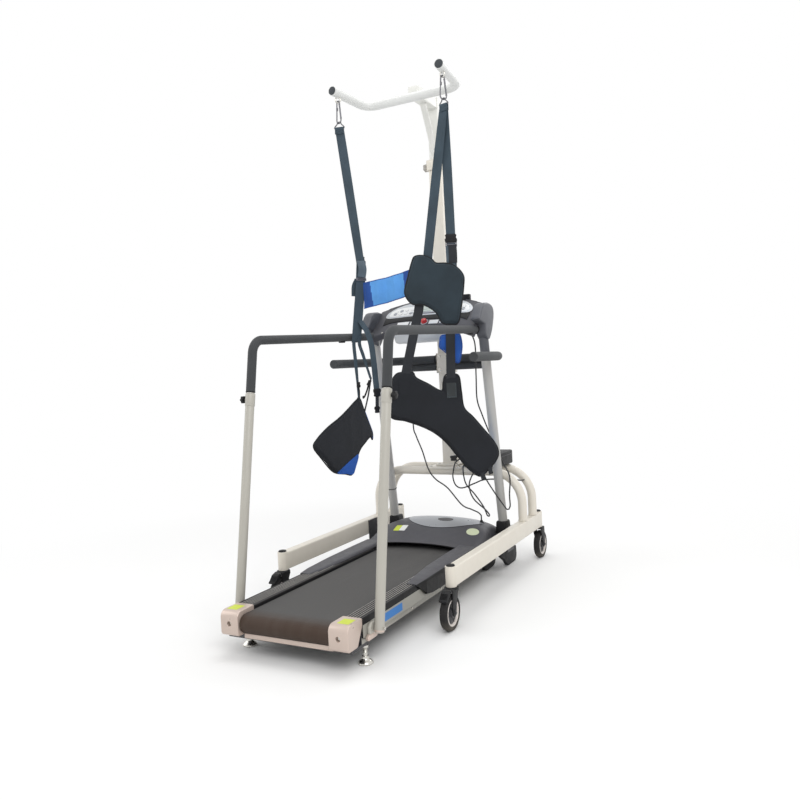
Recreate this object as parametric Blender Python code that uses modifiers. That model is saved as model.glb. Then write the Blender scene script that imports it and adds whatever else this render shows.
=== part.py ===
# Gait trainer: a slim treadmill with long handrails, straddled by a wheeled
# suspension frame that carries a lifting column, a spreader bar and a walking harness.
# Metres, +X to the walker's right, +Y in the walking direction, +Z up, floor at z = 0.
import math

import bmesh
import bpy
from mathutils import Matrix, Vector

# Shared clearances
seat_gap = 0.0003
slide_gap = 0.0003

# Treadmill deck
roller_radius = 0.028
roller_height = 0.110
rear_roller_y = -0.750
front_roller_y = 0.385
belt_width = 0.340
belt_thickness = 0.0025
deck_thickness = 0.018
axle_radius = 0.007
side_rail_inner = 0.190
side_rail_width = 0.046
side_rail_bottom = 0.070
side_rail_rise = 0.0052
side_rail_front = 0.560
crossbar_depth = 0.030
foot_rail_inner = 0.177
foot_rail_wall = 0.0035
foot_rail_plate = 0.005
foot_rail_rib = 0.0025
foot_rail_ribs = 5
foot_rail_front = 0.100
foot_skirt_drop = 0.062
cap_rear_y = rear_roller_y - 0.036
cap_length = 0.088
cap_bottom = 0.074
cap_top_round = 0.024
foot_stem_radius = 0.0075
foot_disc_radius = 0.025
foot_y = -0.666
foot_x = 0.2275

# Drive under the hood
drive_pulley_radius = 0.036
motor_pulley_radius = 0.016
drive_belt_thickness = 0.0024
drive_belt_width = 0.010
motor_y = 0.480
motor_radius = 0.036
motor_length = 0.180

# Hood
hood_rear_y = 0.190
hood_rear_sweep = 0.045
hood_crest_y = 0.410
hood_front_y = 0.585
hood_crest = 0.232
hood_rear_height = 0.165
hood_wall = 0.003
hood_half_width = 0.262
hood_waist = 0.2335
hood_waist_y = 0.440
wing_rear_y = -0.330
wing_rise = 0.014

# Posts and handrails
post_radius = 0.016
post_x = 0.2755
post_foot_y = -0.654
post_foot_z = 0.100
post_top_y = -0.525
post_top_z = 0.849
post_bore_depth = 0.070
rail_grip_radius = 0.0165
rail_bend_z = 1.036
rail_front_x = 0.2395
rail_front_z = 1.056
rail_bend_radius = 0.055
knob_drop = 0.022

# Uprights and console
upright_radius = 0.020
upright_foot_x = 0.2712
upright_foot_y = 0.4985
upright_foot_z = 0.104
upright_top_x = 0.2625
upright_top_y = 0.367
upright_top_z = 1.045
boot_height = 0.232
boot_half_length = 0.042
console_tilt = math.radians(41.0)
console_lower_y = 0.330
console_lower_z = 1.092
console_depth = 0.187
console_lower_droop = 0.055
console_upper_droop = 0.050
console_half_width = 0.220
console_thickness = 0.034
cheek_inner = 0.214
cheek_outer = 0.2875
cheek_rear_face_y = 0.338
panel_thickness = 0.002
stop_button_radius = 0.013
stop_button_travel = 0.004
stop_button_spot = (0.0, 0.020)

# Suspension frame
leg_x = 0.3585
leg_width = 0.040
leg_bottom = 0.149
leg_height = 0.068
rear_socket_y = -0.286
front_socket_y = 0.701
socket_radius = 0.0195
arch_tube_radius = 0.019
arch_rear_y = 0.4955
arch_front_y = 0.631
arch_height = 0.430
arch_bend_radius = 0.135
column_y = 0.561
column_width = 0.060
column_wall = 0.004
column_top = 1.850
column_flange = 0.110
flange_thickness = 0.008
inner_foot = 1.300
inner_top = 2.122
boom_height = 0.050
brace_radius = 0.014
spreader_radius = 0.019
spreader_end_x = 0.244
spreader_end_y = 0.080
spreader_bend_x = 0.222
spreader_bend_y = 0.330
spreader_z = inner_top - 0.055
spreader_end_z = spreader_z + 0.006
spreader_bend_radius = 0.060

# Support handle on the column
handle_radius = 0.019
handle_z = 0.940
handle_half_width = 0.323
handle_rear_y = 0.100
crossbar_z = 0.905
crossbar_half_length = 0.190
crossbar_radius = 0.0165
collar_wall = 0.006

# Control box on the arch
box_inner_x = 0.094
box_length = 0.176
box_depth = 0.110
box_height = 0.062

# Casters
wheel_radius = 0.0625
wheel_width = 0.030
caster_trail = 0.022
caster_bore = 0.006
fork_gap = 0.0015
fork_wall = 0.003
fork_top = 0.1455
pedal_reach = 0.080
pedal_width = 0.030
pedal_barrel = 0.0038
pedal_axis_z = fork_top - 0.0045
crown_reach = 0.012

# Harness
webbing_width = 0.038
webbing_thickness = 0.0025
ring_wire = 0.0025
hook_wire = 0.0028
eye_wire = 0.003
eye_radius = 0.011
hook_top_radius = 0.008
hook_bottom_radius = 0.014
hook_length = 0.092
ring_azimuth = math.radians(-15.0)
hook_azimuth = math.radians(55.0)
pad_thickness = 0.018
thin_pad = 0.012

cable_radius = 0.003
gland_radius = 0.007
gland_length = 0.012
hood_gland = (0.190, 0.430)

# Derived levels that several pieces share
belt_top = roller_height + roller_radius + belt_thickness
belt_bottom = roller_height - roller_radius - belt_thickness
deck_top = belt_top - belt_thickness - seat_gap
deck_bottom = deck_top - deck_thickness
side_rail_top = belt_top + side_rail_rise
side_rail_outer = side_rail_inner + side_rail_width
foot_plate_bottom = side_rail_top + seat_gap
foot_rail_top = foot_plate_bottom + foot_rail_plate + foot_rail_rib
foot_rail_outer = side_rail_outer + foot_rail_wall + 0.004
leg_top = leg_bottom + leg_height
arch_crown = arch_height + arch_tube_radius
column_foot = arch_crown + flange_thickness
inner_width = column_width - 2 * column_wall - 2 * slide_gap
boom_z = inner_top - boom_height / 2
tail_rear_y = rear_roller_y - 0.006
tail_top = belt_bottom - 3 * seat_gap
tail_bottom = tail_top - 0.018


def start_scene():
    for ob in list(bpy.data.objects):
        bpy.data.objects.remove(ob, do_unlink=True)
    parts = bpy.data.collections.new("gait_trainer")
    bpy.context.scene.collection.children.link(parts)
    return parts


parts = start_scene()


def make_material(name, colour, roughness, metallic=0.0):
    material = bpy.data.materials.new(name)
    material.use_nodes = True
    shader = material.node_tree.nodes["Principled BSDF"]
    shader.inputs["Base Color"].default_value = (*colour, 1.0)
    shader.inputs["Roughness"].default_value = roughness
    shader.inputs["Metallic"].default_value = metallic
    material.diffuse_color = (*colour, 1.0)
    return material


cream_paint = make_material("cream_paint", (0.80, 0.78, 0.70), 0.35)
warm_grey_paint = make_material("warm_grey_paint", (0.56, 0.54, 0.48), 0.38)
light_grey_paint = make_material("light_grey_paint", (0.62, 0.62, 0.60), 0.35)
steel_paint = make_material("dark_steel_paint", (0.10, 0.10, 0.11), 0.45)
bright_zinc = make_material("bright_zinc", (0.62, 0.61, 0.58), 0.30, 0.9)
belt_rubber = make_material("belt_rubber", (0.085, 0.08, 0.075), 0.75)
black_plastic = make_material("black_plastic", (0.02, 0.02, 0.022), 0.45)
hood_plastic = make_material("hood_plastic", (0.075, 0.075, 0.085), 0.48)
rail_plastic = make_material("rail_plastic", (0.13, 0.13, 0.135), 0.55)
cap_silver = make_material("cap_silver", (0.60, 0.60, 0.58), 0.30, 0.6)
grip_foam = make_material("grip_foam", (0.055, 0.058, 0.058), 0.85)
board_laminate = make_material("board_laminate", (0.16, 0.11, 0.07), 0.5)
console_silver = make_material("console_silver", (0.60, 0.62, 0.64), 0.35, 0.5)
stop_red = make_material("stop_red", (0.65, 0.03, 0.03), 0.4)
tyre_rubber = make_material("tyre_rubber", (0.025, 0.025, 0.025), 0.7)
strap_slate = make_material("strap_slate", (0.035, 0.06, 0.075), 0.85)
pad_slate = make_material("pad_slate", (0.03, 0.048, 0.062), 0.9)
pad_black = make_material("pad_black", (0.014, 0.016, 0.020), 0.9)
lining_blue = make_material("lining_blue", (0.06, 0.22, 0.60), 0.8)
cable_black = make_material("cable_black", (0.03, 0.03, 0.03), 0.55)


def settle(ob, name, material, smooth_angle=35.0):
    """Name a finished piece, give it its material and shade its round faces."""
    ob.name = name
    ob.data.name = name
    ob.data.materials.clear()
    ob.data.materials.append(material)
    for face in ob.data.polygons:
        face.use_smooth = True
    ob.data.set_sharp_from_angle(angle=math.radians(smooth_angle))
    return ob


def link_mesh(mesh, location=(0, 0, 0)):
    ob = bpy.data.objects.new("piece", mesh)
    ob.location = location
    parts.objects.link(ob)
    return ob


def from_bmesh(bm, location=(0, 0, 0)):
    mesh = bpy.data.meshes.new("piece")
    bm.to_mesh(mesh)
    bm.free()
    return link_mesh(mesh, location)


def bake(ob):
    """Replace an object by the mesh its modifiers or curve make."""
    graph = bpy.context.evaluated_depsgraph_get()
    graph.update()
    mesh = bpy.data.meshes.new_from_object(ob.evaluated_get(graph))
    bm = bmesh.new()
    bm.from_mesh(mesh)
    bmesh.ops.remove_doubles(bm, verts=bm.verts, dist=0.00001)
    bm.to_mesh(mesh)
    bm.free()
    baked = link_mesh(mesh)
    baked.matrix_world = ob.matrix_world.copy()
    bpy.data.objects.remove(ob, do_unlink=True)
    return baked


def bevel(ob, width, segments=2, angle=40.0):
    modifier = ob.modifiers.new("edge", "BEVEL")
    modifier.width = width
    modifier.segments = segments
    modifier.limit_method = "ANGLE"
    modifier.angle_limit = math.radians(angle)
    return bake(ob)


def combine(base, tool, operation):
    modifier = base.modifiers.new("combine", "BOOLEAN")
    modifier.operation = operation
    modifier.object = tool
    graph = bpy.context.evaluated_depsgraph_get()
    graph.update()
    mesh = bpy.data.meshes.new_from_object(base.evaluated_get(graph))
    result = link_mesh(mesh)
    result.matrix_world = base.matrix_world.copy()
    bpy.data.objects.remove(base, do_unlink=True)
    bpy.data.objects.remove(tool, do_unlink=True)
    return result


def join(base, *others):
    for other in others:
        base = combine(base, other, "UNION")
    return base


def cut(base, *cutters):
    for cutter in cutters:
        base = combine(base, cutter, "DIFFERENCE")
    return base


def box(low, high):
    low = Vector(low)
    high = Vector(high)
    bm = bmesh.new()
    bmesh.ops.create_cube(bm, size=1.0)
    bmesh.ops.scale(bm, vec=high - low, verts=bm.verts)
    return from_bmesh(bm, (low + high) / 2)


def mirrored_box(side, low, high):
    """A box given for the right-hand side, placed on either side."""
    xs = sorted((side * low[0], side * high[0]))
    return box((xs[0], low[1], low[2]), (xs[1], high[1], high[2]))


def cylinder(radius, start, end, sides=24, end_radius=None):
    start = Vector(start)
    end = Vector(end)
    bm = bmesh.new()
    bmesh.ops.create_cone(bm, cap_ends=True, segments=sides, radius1=radius,
                          radius2=radius if end_radius is None else end_radius,
                          depth=(end - start).length)
    ob = from_bmesh(bm, (start + end) / 2)
    ob.rotation_mode = "QUATERNION"
    ob.rotation_quaternion = (end - start).to_track_quat("Z", "Y")
    bpy.context.view_layer.update()
    return ob


def tube(points, radius, resolution=6, cyclic=False):
    """A round bar along a polyline, as a bevelled curve made a mesh."""
    curve = bpy.data.curves.new("bar", "CURVE")
    curve.dimensions = "3D"
    curve.bevel_depth = radius
    curve.bevel_resolution = resolution
    curve.use_fill_caps = not cyclic
    curve.twist_mode = "MINIMUM"
    spline = curve.splines.new("POLY")
    spline.points.add(len(points) - 1)
    for spot, point in zip(spline.points, points):
        spot.co = (*point, 1.0)
    spline.use_cyclic_u = cyclic
    ob = bpy.data.objects.new("bar", curve)
    parts.objects.link(ob)
    return bake(ob)


def rounded_path(corners, radius, steps=6):
    """The corners of a bent bar with each inner corner replaced by an arc."""
    corners = [Vector(corner) for corner in corners]
    path = [corners[0]]
    for before, corner, after in zip(corners, corners[1:], corners[2:]):
        towards = (before - corner).normalized()
        away = (after - corner).normalized()
        half = towards.angle(away) / 2
        setback = radius / math.tan(half)
        centre = corner + (towards + away).normalized() * (radius / math.sin(half))
        first = corner + towards * setback - centre
        last = corner + away * setback - centre
        sweep = first.angle(last)
        for step in range(steps + 1):
            share = step / steps
            arm = (first * math.sin((1 - share) * sweep) + last * math.sin(share * sweep)) / math.sin(sweep)
            path.append(centre + arm)
    path.append(corners[-1])
    return path


def smooth_path(points, spacing):
    """Points about a spacing apart, on a smooth curve through the given ones."""
    points = [Vector(point) for point in points]
    padded = [2 * points[0] - points[1]] + points + [2 * points[-1] - points[-2]]
    path = []
    for a, b, c, d in zip(padded, padded[1:], padded[2:], padded[3:]):
        steps = max(1, round((c - b).length / spacing))
        for step in range(steps):
            t = step / steps
            path.append(0.5 * (2 * b + (c - a) * t + (2 * a - 5 * b + 4 * c - d) * t * t
                               + (3 * b - a - 3 * c + d) * t ** 3))
    path.append(points[-1])
    return path


def prism(outline, thickness, matrix):
    """A flat outline with a thickness, laid in the plane of a matrix."""
    curve = bpy.data.curves.new("outline", "CURVE")
    curve.dimensions = "2D"
    curve.fill_mode = "BOTH"
    curve.extrude = thickness / 2
    spline = curve.splines.new("POLY")
    spline.points.add(len(outline) - 1)
    for spot, (across, along) in zip(spline.points, outline):
        spot.co = (across, along, 0.0, 1.0)
    spline.use_cyclic_u = True
    ob = bpy.data.objects.new("outline", curve)
    parts.objects.link(ob)
    ob.matrix_world = matrix
    bpy.context.view_layer.update()
    return bake(ob)


def plane_matrix(origin, across, along):
    across = Vector(across).normalized()
    along = Vector(along).normalized()
    normal = across.cross(along)
    frame = Matrix((across, along, normal)).transposed().to_4x4()
    frame.translation = Vector(origin)
    return frame


def turned(profile, centre, axis, sides=24):
    """A closed profile of (radius, height), outer side first, spun about an axis."""
    bm = bmesh.new()
    spots = [bm.verts.new((radius, 0.0, height)) for radius, height in profile]
    for first, second in zip(spots, spots[1:]):
        bm.edges.new((first, second))
    if profile[0][0] > 0 and profile[-1][0] > 0:
        bm.edges.new((spots[-1], spots[0]))
    ob = from_bmesh(bm, centre)
    ob.rotation_mode = "QUATERNION"
    ob.rotation_quaternion = Vector(axis).to_track_quat("Z", "Y")
    screw = ob.modifiers.new("turn", "SCREW")
    screw.angle = math.tau
    screw.steps = sides
    screw.render_steps = sides
    screw.use_merge_vertices = True
    screw.merge_threshold = 0.00005
    screw.use_smooth_shade = True
    bpy.context.view_layer.update()
    return bake(ob)


def loft(rings):
    """A closed solid through rings that have the same number of points."""
    bm = bmesh.new()
    loops = [[bm.verts.new(point) for point in ring] for ring in rings]
    count = len(loops[0])
    for near, far in zip(loops, loops[1:]):
        for step in range(count):
            after = (step + 1) % count
            bm.faces.new((near[step], near[after], far[after], far[step]))
    bm.faces.new(list(reversed(loops[0])))
    bm.faces.new(loops[-1])
    bmesh.ops.recalc_face_normals(bm, faces=bm.faces)
    bmesh.ops.triangulate(bm, faces=[face for face in bm.faces if len(face.verts) > 4])
    return from_bmesh(bm)


def strap(points, widths, width, thickness=webbing_thickness):
    """Flat webbing along points, with the direction of its width at each of them."""
    points = [Vector(point) for point in points]
    rings = []
    for index, (point, across) in enumerate(zip(points, widths)):
        before = points[max(index - 1, 0)]
        after = points[min(index + 1, len(points) - 1)]
        along = (after - before).normalized()
        across = Vector(across)
        across = (across - along * across.dot(along)).normalized()
        normal = along.cross(across)
        half = across * width / 2
        face = normal * thickness / 2
        rings.append([point - half - face, point + half - face, point + half + face, point - half + face])
    return loft(rings)


def pad(start, heading, stations, thickness, crown=0.25):
    """An upholstered panel: at each station along its heading a low and a high edge.

    Its sides draw in to a rim, and its faces swell between the rims. A station is
    (distance, low, high, bulge), where bulge moves the panel along its normal.
    """
    start = Vector((*start, 0.0))
    heading = Vector((*heading, 0.0)).normalized()
    normal = Vector((heading.y, -heading.x, 0.0))
    up = Vector((0, 0, 1))
    rings = []
    for index, (distance, low, high, bulge) in enumerate(stations):
        edge = index in (0, len(stations) - 1)
        half = thickness / 2 * (0.35 if edge else 1.0)
        rim = min(0.012, (high - low) * 0.2)
        middle = (low + high) / 2
        swell = half * (1 + crown)
        centre = start + heading * distance + normal * bulge
        section = [(0.0, low), (half * 0.7, low + rim * 0.3), (half, low + rim), (swell, middle),
                   (half, high - rim), (half * 0.7, high - rim * 0.3), (0.0, high),
                   (-half * 0.7, high - rim * 0.3), (-half, high - rim), (-swell, middle),
                   (-half, low + rim), (-half * 0.7, low + rim * 0.3)]
        rings.append([centre + normal * out + up * height for out, height in section])
    return loft(rings)


# Treadmill deck

def treadmill_frame():
    bars = []
    for side in (-1, 1):
        bars.append(mirrored_box(side, (side_rail_inner, cap_rear_y + cap_length - 0.002, side_rail_bottom),
                                 (side_rail_outer, side_rail_front, side_rail_top)))
    frame = bars[0]
    tail = box((-side_rail_outer, tail_rear_y, tail_bottom),
               (side_rail_outer, tail_rear_y + crossbar_depth, tail_top))
    tail_ends = [mirrored_box(side, (side_rail_inner, tail_rear_y, tail_bottom),
                              (side_rail_outer, foot_y + 0.014, side_rail_bottom + 0.001))
                 for side in (-1, 1)]
    crossbars = [box((-side_rail_inner - 0.01, y, belt_bottom + belt_thickness + 0.004),
                     (side_rail_inner + 0.01, y + crossbar_depth, deck_bottom - seat_gap))
                 for y in (-0.45, -0.10, 0.25)]
    nose = box((-side_rail_inner - 0.01, side_rail_front - crossbar_depth, side_rail_bottom + 0.001),
               (side_rail_inner + 0.01, side_rail_front - 0.001, side_rail_bottom + 0.034))
    frame = join(frame, bars[1], tail, *tail_ends, *crossbars, nose)
    motor_plate = box((-0.095, motor_y - 0.040, side_rail_bottom + 0.0005),
                      (0.110, side_rail_front - crossbar_depth + 0.005, roller_height - motor_radius - seat_gap))
    frame = join(frame, motor_plate)
    for side in (-1, 1):
        frame = join(frame, leg_clamp(side))
        journal = cylinder(axle_radius + slide_gap,
                           (side * (side_rail_inner - 0.01), front_roller_y, roller_height),
                           (side * (side_rail_inner + 0.014), front_roller_y, roller_height), 16)
        frame = cut(frame, journal)
    return settle(frame, "treadmill_frame", steel_paint)


def leg_clamp(side):
    """The arm and upright plate that bolt the treadmill to a leg of the suspension frame."""
    clamp_y = 0.352
    clamp_length = 0.040
    leg_face = leg_x - leg_width / 2 - seat_gap
    arm = mirrored_box(side, (side_rail_outer - 0.006, clamp_y, side_rail_bottom + 0.040),
                       (leg_face - 0.003, clamp_y + clamp_length, side_rail_bottom + 0.064))
    plate = mirrored_box(side, (leg_face - 0.005, clamp_y - 0.006, side_rail_bottom + 0.040),
                         (leg_face, clamp_y + clamp_length + 0.028, leg_top - 0.004))
    return join(arm, plate)


def deck_board():
    board = box((-belt_width / 2 - 0.008, rear_roller_y + roller_radius + 0.026, deck_bottom),
                (belt_width / 2 + 0.008, front_roller_y - roller_radius - 0.014, deck_top))
    return settle(bevel(board, 0.003), "deck_board", board_laminate)


def loop_outline(centre_a, radius_a, centre_b, radius_b, steps=10):
    """The outline of a belt round two pulleys, in the plane of their axes' normals."""
    a = Vector(centre_a)
    b = Vector(centre_b)
    span = b - a
    tilt = math.asin((radius_a - radius_b) / span.length)
    heading = math.atan2(span.y, span.x)
    outline = []
    for centre, radius, start, stop in (
            (b, radius_b, heading - math.pi / 2 + tilt, heading + math.pi / 2 - tilt),
            (a, radius_a, heading + math.pi / 2 - tilt, heading + 3 * math.pi / 2 + tilt)):
        for step in range(steps + 1):
            angle = start + (stop - start) * step / steps
            outline.append(centre + radius * Vector((math.cos(angle), math.sin(angle))))
    return outline


def belt_loop(y_a, radius_a, y_b, radius_b, thickness, middle_x, width, steps):
    """A closed belt round two rollers whose axes run along X at the roller height."""
    curve = bpy.data.curves.new("loop", "CURVE")
    curve.dimensions = "2D"
    curve.fill_mode = "NONE"
    curve.extrude = width / 2
    spots = loop_outline((y_a, 0.0), radius_a + thickness / 2, (y_b, 0.0), radius_b + thickness / 2, steps)
    spline = curve.splines.new("POLY")
    spline.points.add(len(spots) - 1)
    for spot, (across, along) in zip(spline.points, spots):
        spot.co = (across, along, 0.0, 1.0)
    spline.use_cyclic_u = True
    ob = bpy.data.objects.new("loop", curve)
    parts.objects.link(ob)
    ob.matrix_world = plane_matrix((middle_x, 0.0, roller_height), (0, 1, 0), (0, 0, 1))
    bpy.context.view_layer.update()
    band = bake(ob)
    wall = band.modifiers.new("wall", "SOLIDIFY")
    wall.thickness = thickness
    wall.offset = 0.0
    wall.use_even_offset = True
    return bake(band)


def running_belt():
    belt = belt_loop(rear_roller_y, roller_radius + seat_gap, front_roller_y, roller_radius + seat_gap,
                     belt_thickness - seat_gap, 0.0, belt_width, 14)
    return settle(belt, "running_belt", belt_rubber, 25)


def roller(name, y, pulley):
    body = cylinder(roller_radius, (-belt_width / 2 + 0.002, y, roller_height),
                    (belt_width / 2 - 0.002, y, roller_height), 28)
    axle = cylinder(axle_radius, (-side_rail_inner - 0.012, y, roller_height),
                    (side_rail_inner + 0.012, y, roller_height), 16)
    body = join(body, axle)
    if pulley:
        start = -belt_width / 2 - drive_belt_width - 0.004
        wheel = cylinder(drive_pulley_radius, (start, y, roller_height),
                         (start + drive_belt_width + 0.002, y, roller_height), 28)
        body = join(body, wheel)
    return settle(body, name, bright_zinc)


def drive_belt():
    middle = -belt_width / 2 - drive_belt_width / 2 - 0.003
    belt = belt_loop(front_roller_y, drive_pulley_radius + seat_gap, motor_y, motor_pulley_radius + seat_gap,
                     drive_belt_thickness, middle, drive_belt_width, 16)
    return settle(belt, "drive_belt", tyre_rubber, 25)


def motor_pulley():
    outer = -belt_width / 2 - drive_belt_width - 0.004
    wheel = cylinder(motor_pulley_radius, (outer, motor_y, roller_height),
                     (outer + drive_belt_width + 0.004, motor_y, roller_height), 24)
    flywheel = cylinder(motor_pulley_radius + 0.018, (outer + drive_belt_width + 0.003, motor_y, roller_height),
                        (outer + drive_belt_width + 0.018, motor_y, roller_height), 28)
    shaft = cylinder(axle_radius, (outer + 0.01, motor_y, roller_height),
                     (-motor_length / 2 + 0.012, motor_y, roller_height), 16)
    return settle(join(wheel, flywheel, shaft), "motor_pulley", bright_zinc)


def drive_motor():
    half = motor_length / 2
    body = cylinder(motor_radius, (-half, motor_y, roller_height), (half, motor_y, roller_height), 24)
    bell = cylinder(motor_radius - 0.008, (half - 0.002, motor_y, roller_height),
                    (half + 0.012, motor_y, roller_height), 24)
    bearing = cylinder(axle_radius + slide_gap, (-half - 0.01, motor_y, roller_height),
                       (-half + 0.014, motor_y, roller_height), 16)
    return settle(cut(join(body, bell), bearing), "drive_motor", steel_paint)


def foot_rail(side, name):
    """The ribbed aluminium-look step beside the belt, an inverted L over the side rail."""
    plate_top = foot_plate_bottom + foot_rail_plate
    outer = foot_rail_outer
    ribs_from = foot_rail_inner + 0.006
    pitch = (outer - 0.010 - ribs_from) / foot_rail_ribs
    outline = [(foot_rail_inner, foot_plate_bottom), (foot_rail_inner, plate_top)]
    for rib in range(foot_rail_ribs):
        start = ribs_from + rib * pitch
        outline += [(start, plate_top), (start + pitch * 0.18, foot_rail_top),
                    (start + pitch * 0.62, foot_rail_top), (start + pitch * 0.80, plate_top)]
    outline += [(outer - 0.004, foot_rail_top), (outer, foot_rail_top - 0.004),
                (outer, foot_rail_top - 0.016), (outer - 0.0012, foot_rail_top - 0.018),
                (outer - 0.0012, foot_rail_top - foot_skirt_drop + 0.030),
                (outer, foot_rail_top - foot_skirt_drop + 0.028),
                (outer, foot_rail_top - foot_skirt_drop), (outer - foot_rail_wall, foot_rail_top - foot_skirt_drop),
                (outer - foot_rail_wall, foot_plate_bottom)]
    outline = [(side * across, height) for across, height in outline]
    start_y = cap_rear_y + cap_length + seat_gap
    middle = (start_y + foot_rail_front) / 2
    rail = prism(outline, foot_rail_front - start_y,
                 plane_matrix((0.0, middle, 0.0), (1, 0, 0), (0, 0, 1)))
    return settle(rail, name, rail_plastic, 20)


def end_cap(side, name):
    """The moulded block that closes a side rail and holds the rear roller's axle."""
    top = foot_rail_top + 0.0015
    front = cap_rear_y + cap_length
    round_steps = 6
    outline = [(cap_rear_y, cap_bottom + 0.004), (cap_rear_y, top - cap_top_round)]
    for step in range(1, round_steps + 1):
        angle = math.pi / 2 * step / round_steps
        outline.append((cap_rear_y + cap_top_round * (1 - math.cos(angle)),
                        top - cap_top_round * (1 - math.sin(angle))))
    outline += [(front - 0.003, top), (front, top - 0.003), (front, side_rail_bottom + 0.060),
                (front - 0.038, cap_bottom + 0.003), (front - 0.041, cap_bottom), (cap_rear_y + 0.004, cap_bottom)]
    inner = belt_width / 2 + 0.003
    outer = foot_rail_outer
    block = prism(outline, outer - inner,
                  plane_matrix((side * (inner + outer) / 2, 0.0, 0.0), (0, 1, 0), (0, 0, 1)))
    hole = cylinder(0.009, (side * 0.208, cap_rear_y - 0.005, roller_height + 0.004),
                    (side * 0.208, cap_rear_y + 0.012, roller_height + 0.004), 20)
    journal = cylinder(axle_radius + slide_gap, (side * (inner - 0.01), rear_roller_y, roller_height),
                       (side * (side_rail_inner + 0.016), rear_roller_y, roller_height), 16)
    rail_pocket = mirrored_box(side, (side_rail_inner - seat_gap, cap_rear_y + cap_length - 0.004, 0.0),
                               (side_rail_outer + seat_gap, front + 0.02, side_rail_top + seat_gap))
    tail_relief = mirrored_box(side, (0.10, tail_rear_y - seat_gap, 0.0),
                               (side_rail_outer + seat_gap, front + 0.02, tail_top + seat_gap))
    return settle(cut(block, hole, journal, rail_pocket, tail_relief), name, cap_silver, 25)


def levelling_foot(side, name):
    top = tail_bottom - seat_gap
    profile = [(0.0, top), (foot_stem_radius, top), (foot_stem_radius, 0.020), (0.013, 0.014),
               (foot_disc_radius - 0.002, 0.007), (foot_disc_radius, 0.004), (foot_disc_radius, 0.0), (0.0, 0.0)]
    foot = turned(profile, (side * foot_x, foot_y, 0.0), (0, 0, 1), 16)
    return settle(foot, name, bright_zinc)


# Hood over the drive

def ease(value):
    """A smooth climb from 0 to 1 while the value goes from 0 to 1."""
    value = min(max(value, 0.0), 1.0)
    return value * value * (3 - 2 * value)


def hood_section(y):
    """Half width, crest height, lower edge and squareness of the hood at a place along it."""
    if y < hood_crest_y:
        climb = (y - hood_rear_y) / (hood_crest_y - hood_rear_y)
        crest = hood_rear_height + (hood_crest - hood_rear_height) * math.sin(climb * math.pi / 2) ** 1.15
    else:
        fall = (y - hood_crest_y) / (hood_front_y - hood_crest_y)
        crest = hood_crest - (hood_crest - 0.135) * fall ** 2.2
    width = hood_half_width + (hood_waist - hood_half_width) * ease((y - 0.30) / (hood_waist_y - 0.30))
    low = 0.094
    clear = side_rail_top + 2 * seat_gap
    edge = low + (clear - low) * ease((y - 0.24) / 0.10)
    if y > side_rail_front + 0.001:
        edge = low + 0.012
    return width, crest, edge, 0.20 + 0.22 * ease((y - hood_rear_y) / 0.20)


def hood_top(x, y):
    width, crest, edge, square = hood_section(y)
    return edge + (crest - edge) * math.sqrt(1 - (x / width) ** 2) ** square


def hood_skin(places, inset):
    """One skin of the hood as a closed solid, drawn in by the inset."""
    steps_across = 14
    rings = []
    for y, run in places:
        width, crest, edge, square = hood_section(y)
        width -= inset
        crest -= inset
        edge -= inset * 4
        ring = []
        for step in range(steps_across + 1):
            across = -1 + 2 * step / steps_across
            side = math.sin(across * math.pi / 2)
            fullness = math.cos(across * math.pi / 2) ** square if 0 < step < steps_across else 0.0
            sweep = hood_rear_sweep * side * side * (1 - ease((y - hood_rear_y) / 0.20))
            ring.append((width * side, y + run - sweep, edge + (crest - edge) * fullness))
        rings.append(ring)
    return loft(rings)


def hood():
    """A shell open below and behind, so that the belt runs in under its rear edge."""
    nose_y = side_rail_front + 0.004
    places = [hood_rear_y + (hood_crest_y - hood_rear_y) * step / 5 for step in range(6)]
    places += [hood_crest_y + (side_rail_front - hood_crest_y) * step / 3 for step in range(1, 4)]
    places += [nose_y, (nose_y + hood_front_y) / 2]
    outer = hood_skin([(y, 0.0) for y in places] + [(hood_front_y, 0.0)], 0.0)
    inner = hood_skin([(hood_rear_y, -0.020)] + [(y, 0.0) for y in places]
                      + [(hood_front_y - hood_wall, 0.0)], hood_wall)
    shell = cut(outer, inner)
    gland_x, gland_y = hood_gland
    surface = hood_top(gland_x, gland_y)
    gland = cylinder(gland_radius, (gland_x, gland_y, surface - 0.003), (gland_x, gland_y, surface + gland_length), 12)
    shell = join(shell, *[hood_wing(side) for side in (-1, 1)], gland)
    return settle(shell, "hood", hood_plastic, 40)


def hood_wing(side):
    """The flared cover that runs back from the hood over the foot rail."""
    inner = foot_rail_outer + 0.0010
    over_rail = foot_rail_top + seat_gap
    end_y = hood_rear_y - hood_rear_sweep + 0.042
    stations = [(wing_rear_y, foot_rail_inner + 0.030, 0.0015, 0.003, 0.004),
                (wing_rear_y + 0.06, foot_rail_inner + 0.016, 0.006, 0.012, 0.044),
                (wing_rear_y + 0.20, foot_rail_inner + 0.004, 0.011, 0.0155, 0.050),
                (foot_rail_front - 0.02, foot_rail_inner, wing_rise, hood_half_width - 0.0014 - inner, 0.052),
                (end_y, foot_rail_inner, wing_rise, hood_half_width - 0.0014 - inner, 0.052)]
    rings = []
    for y, inside, rise, flare, skirt in stations:
        outside = inner + flare
        section = [(inside, over_rail), (inside + 0.006, over_rail + rise), (outside - flare * 0.6, over_rail + rise),
                   (outside, over_rail + rise * 0.35), (outside, over_rail - skirt), (inner, over_rail - skirt),
                   (inner, over_rail)]
        rings.append([(side * across, y, height) for across, height in section])
    return loft(rings)


# Posts, handrails and uprights

def post_axis(height):
    share = (height - post_foot_z) / (post_top_z - post_foot_z)
    return post_foot_y + (post_top_y - post_foot_y) * share


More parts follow.
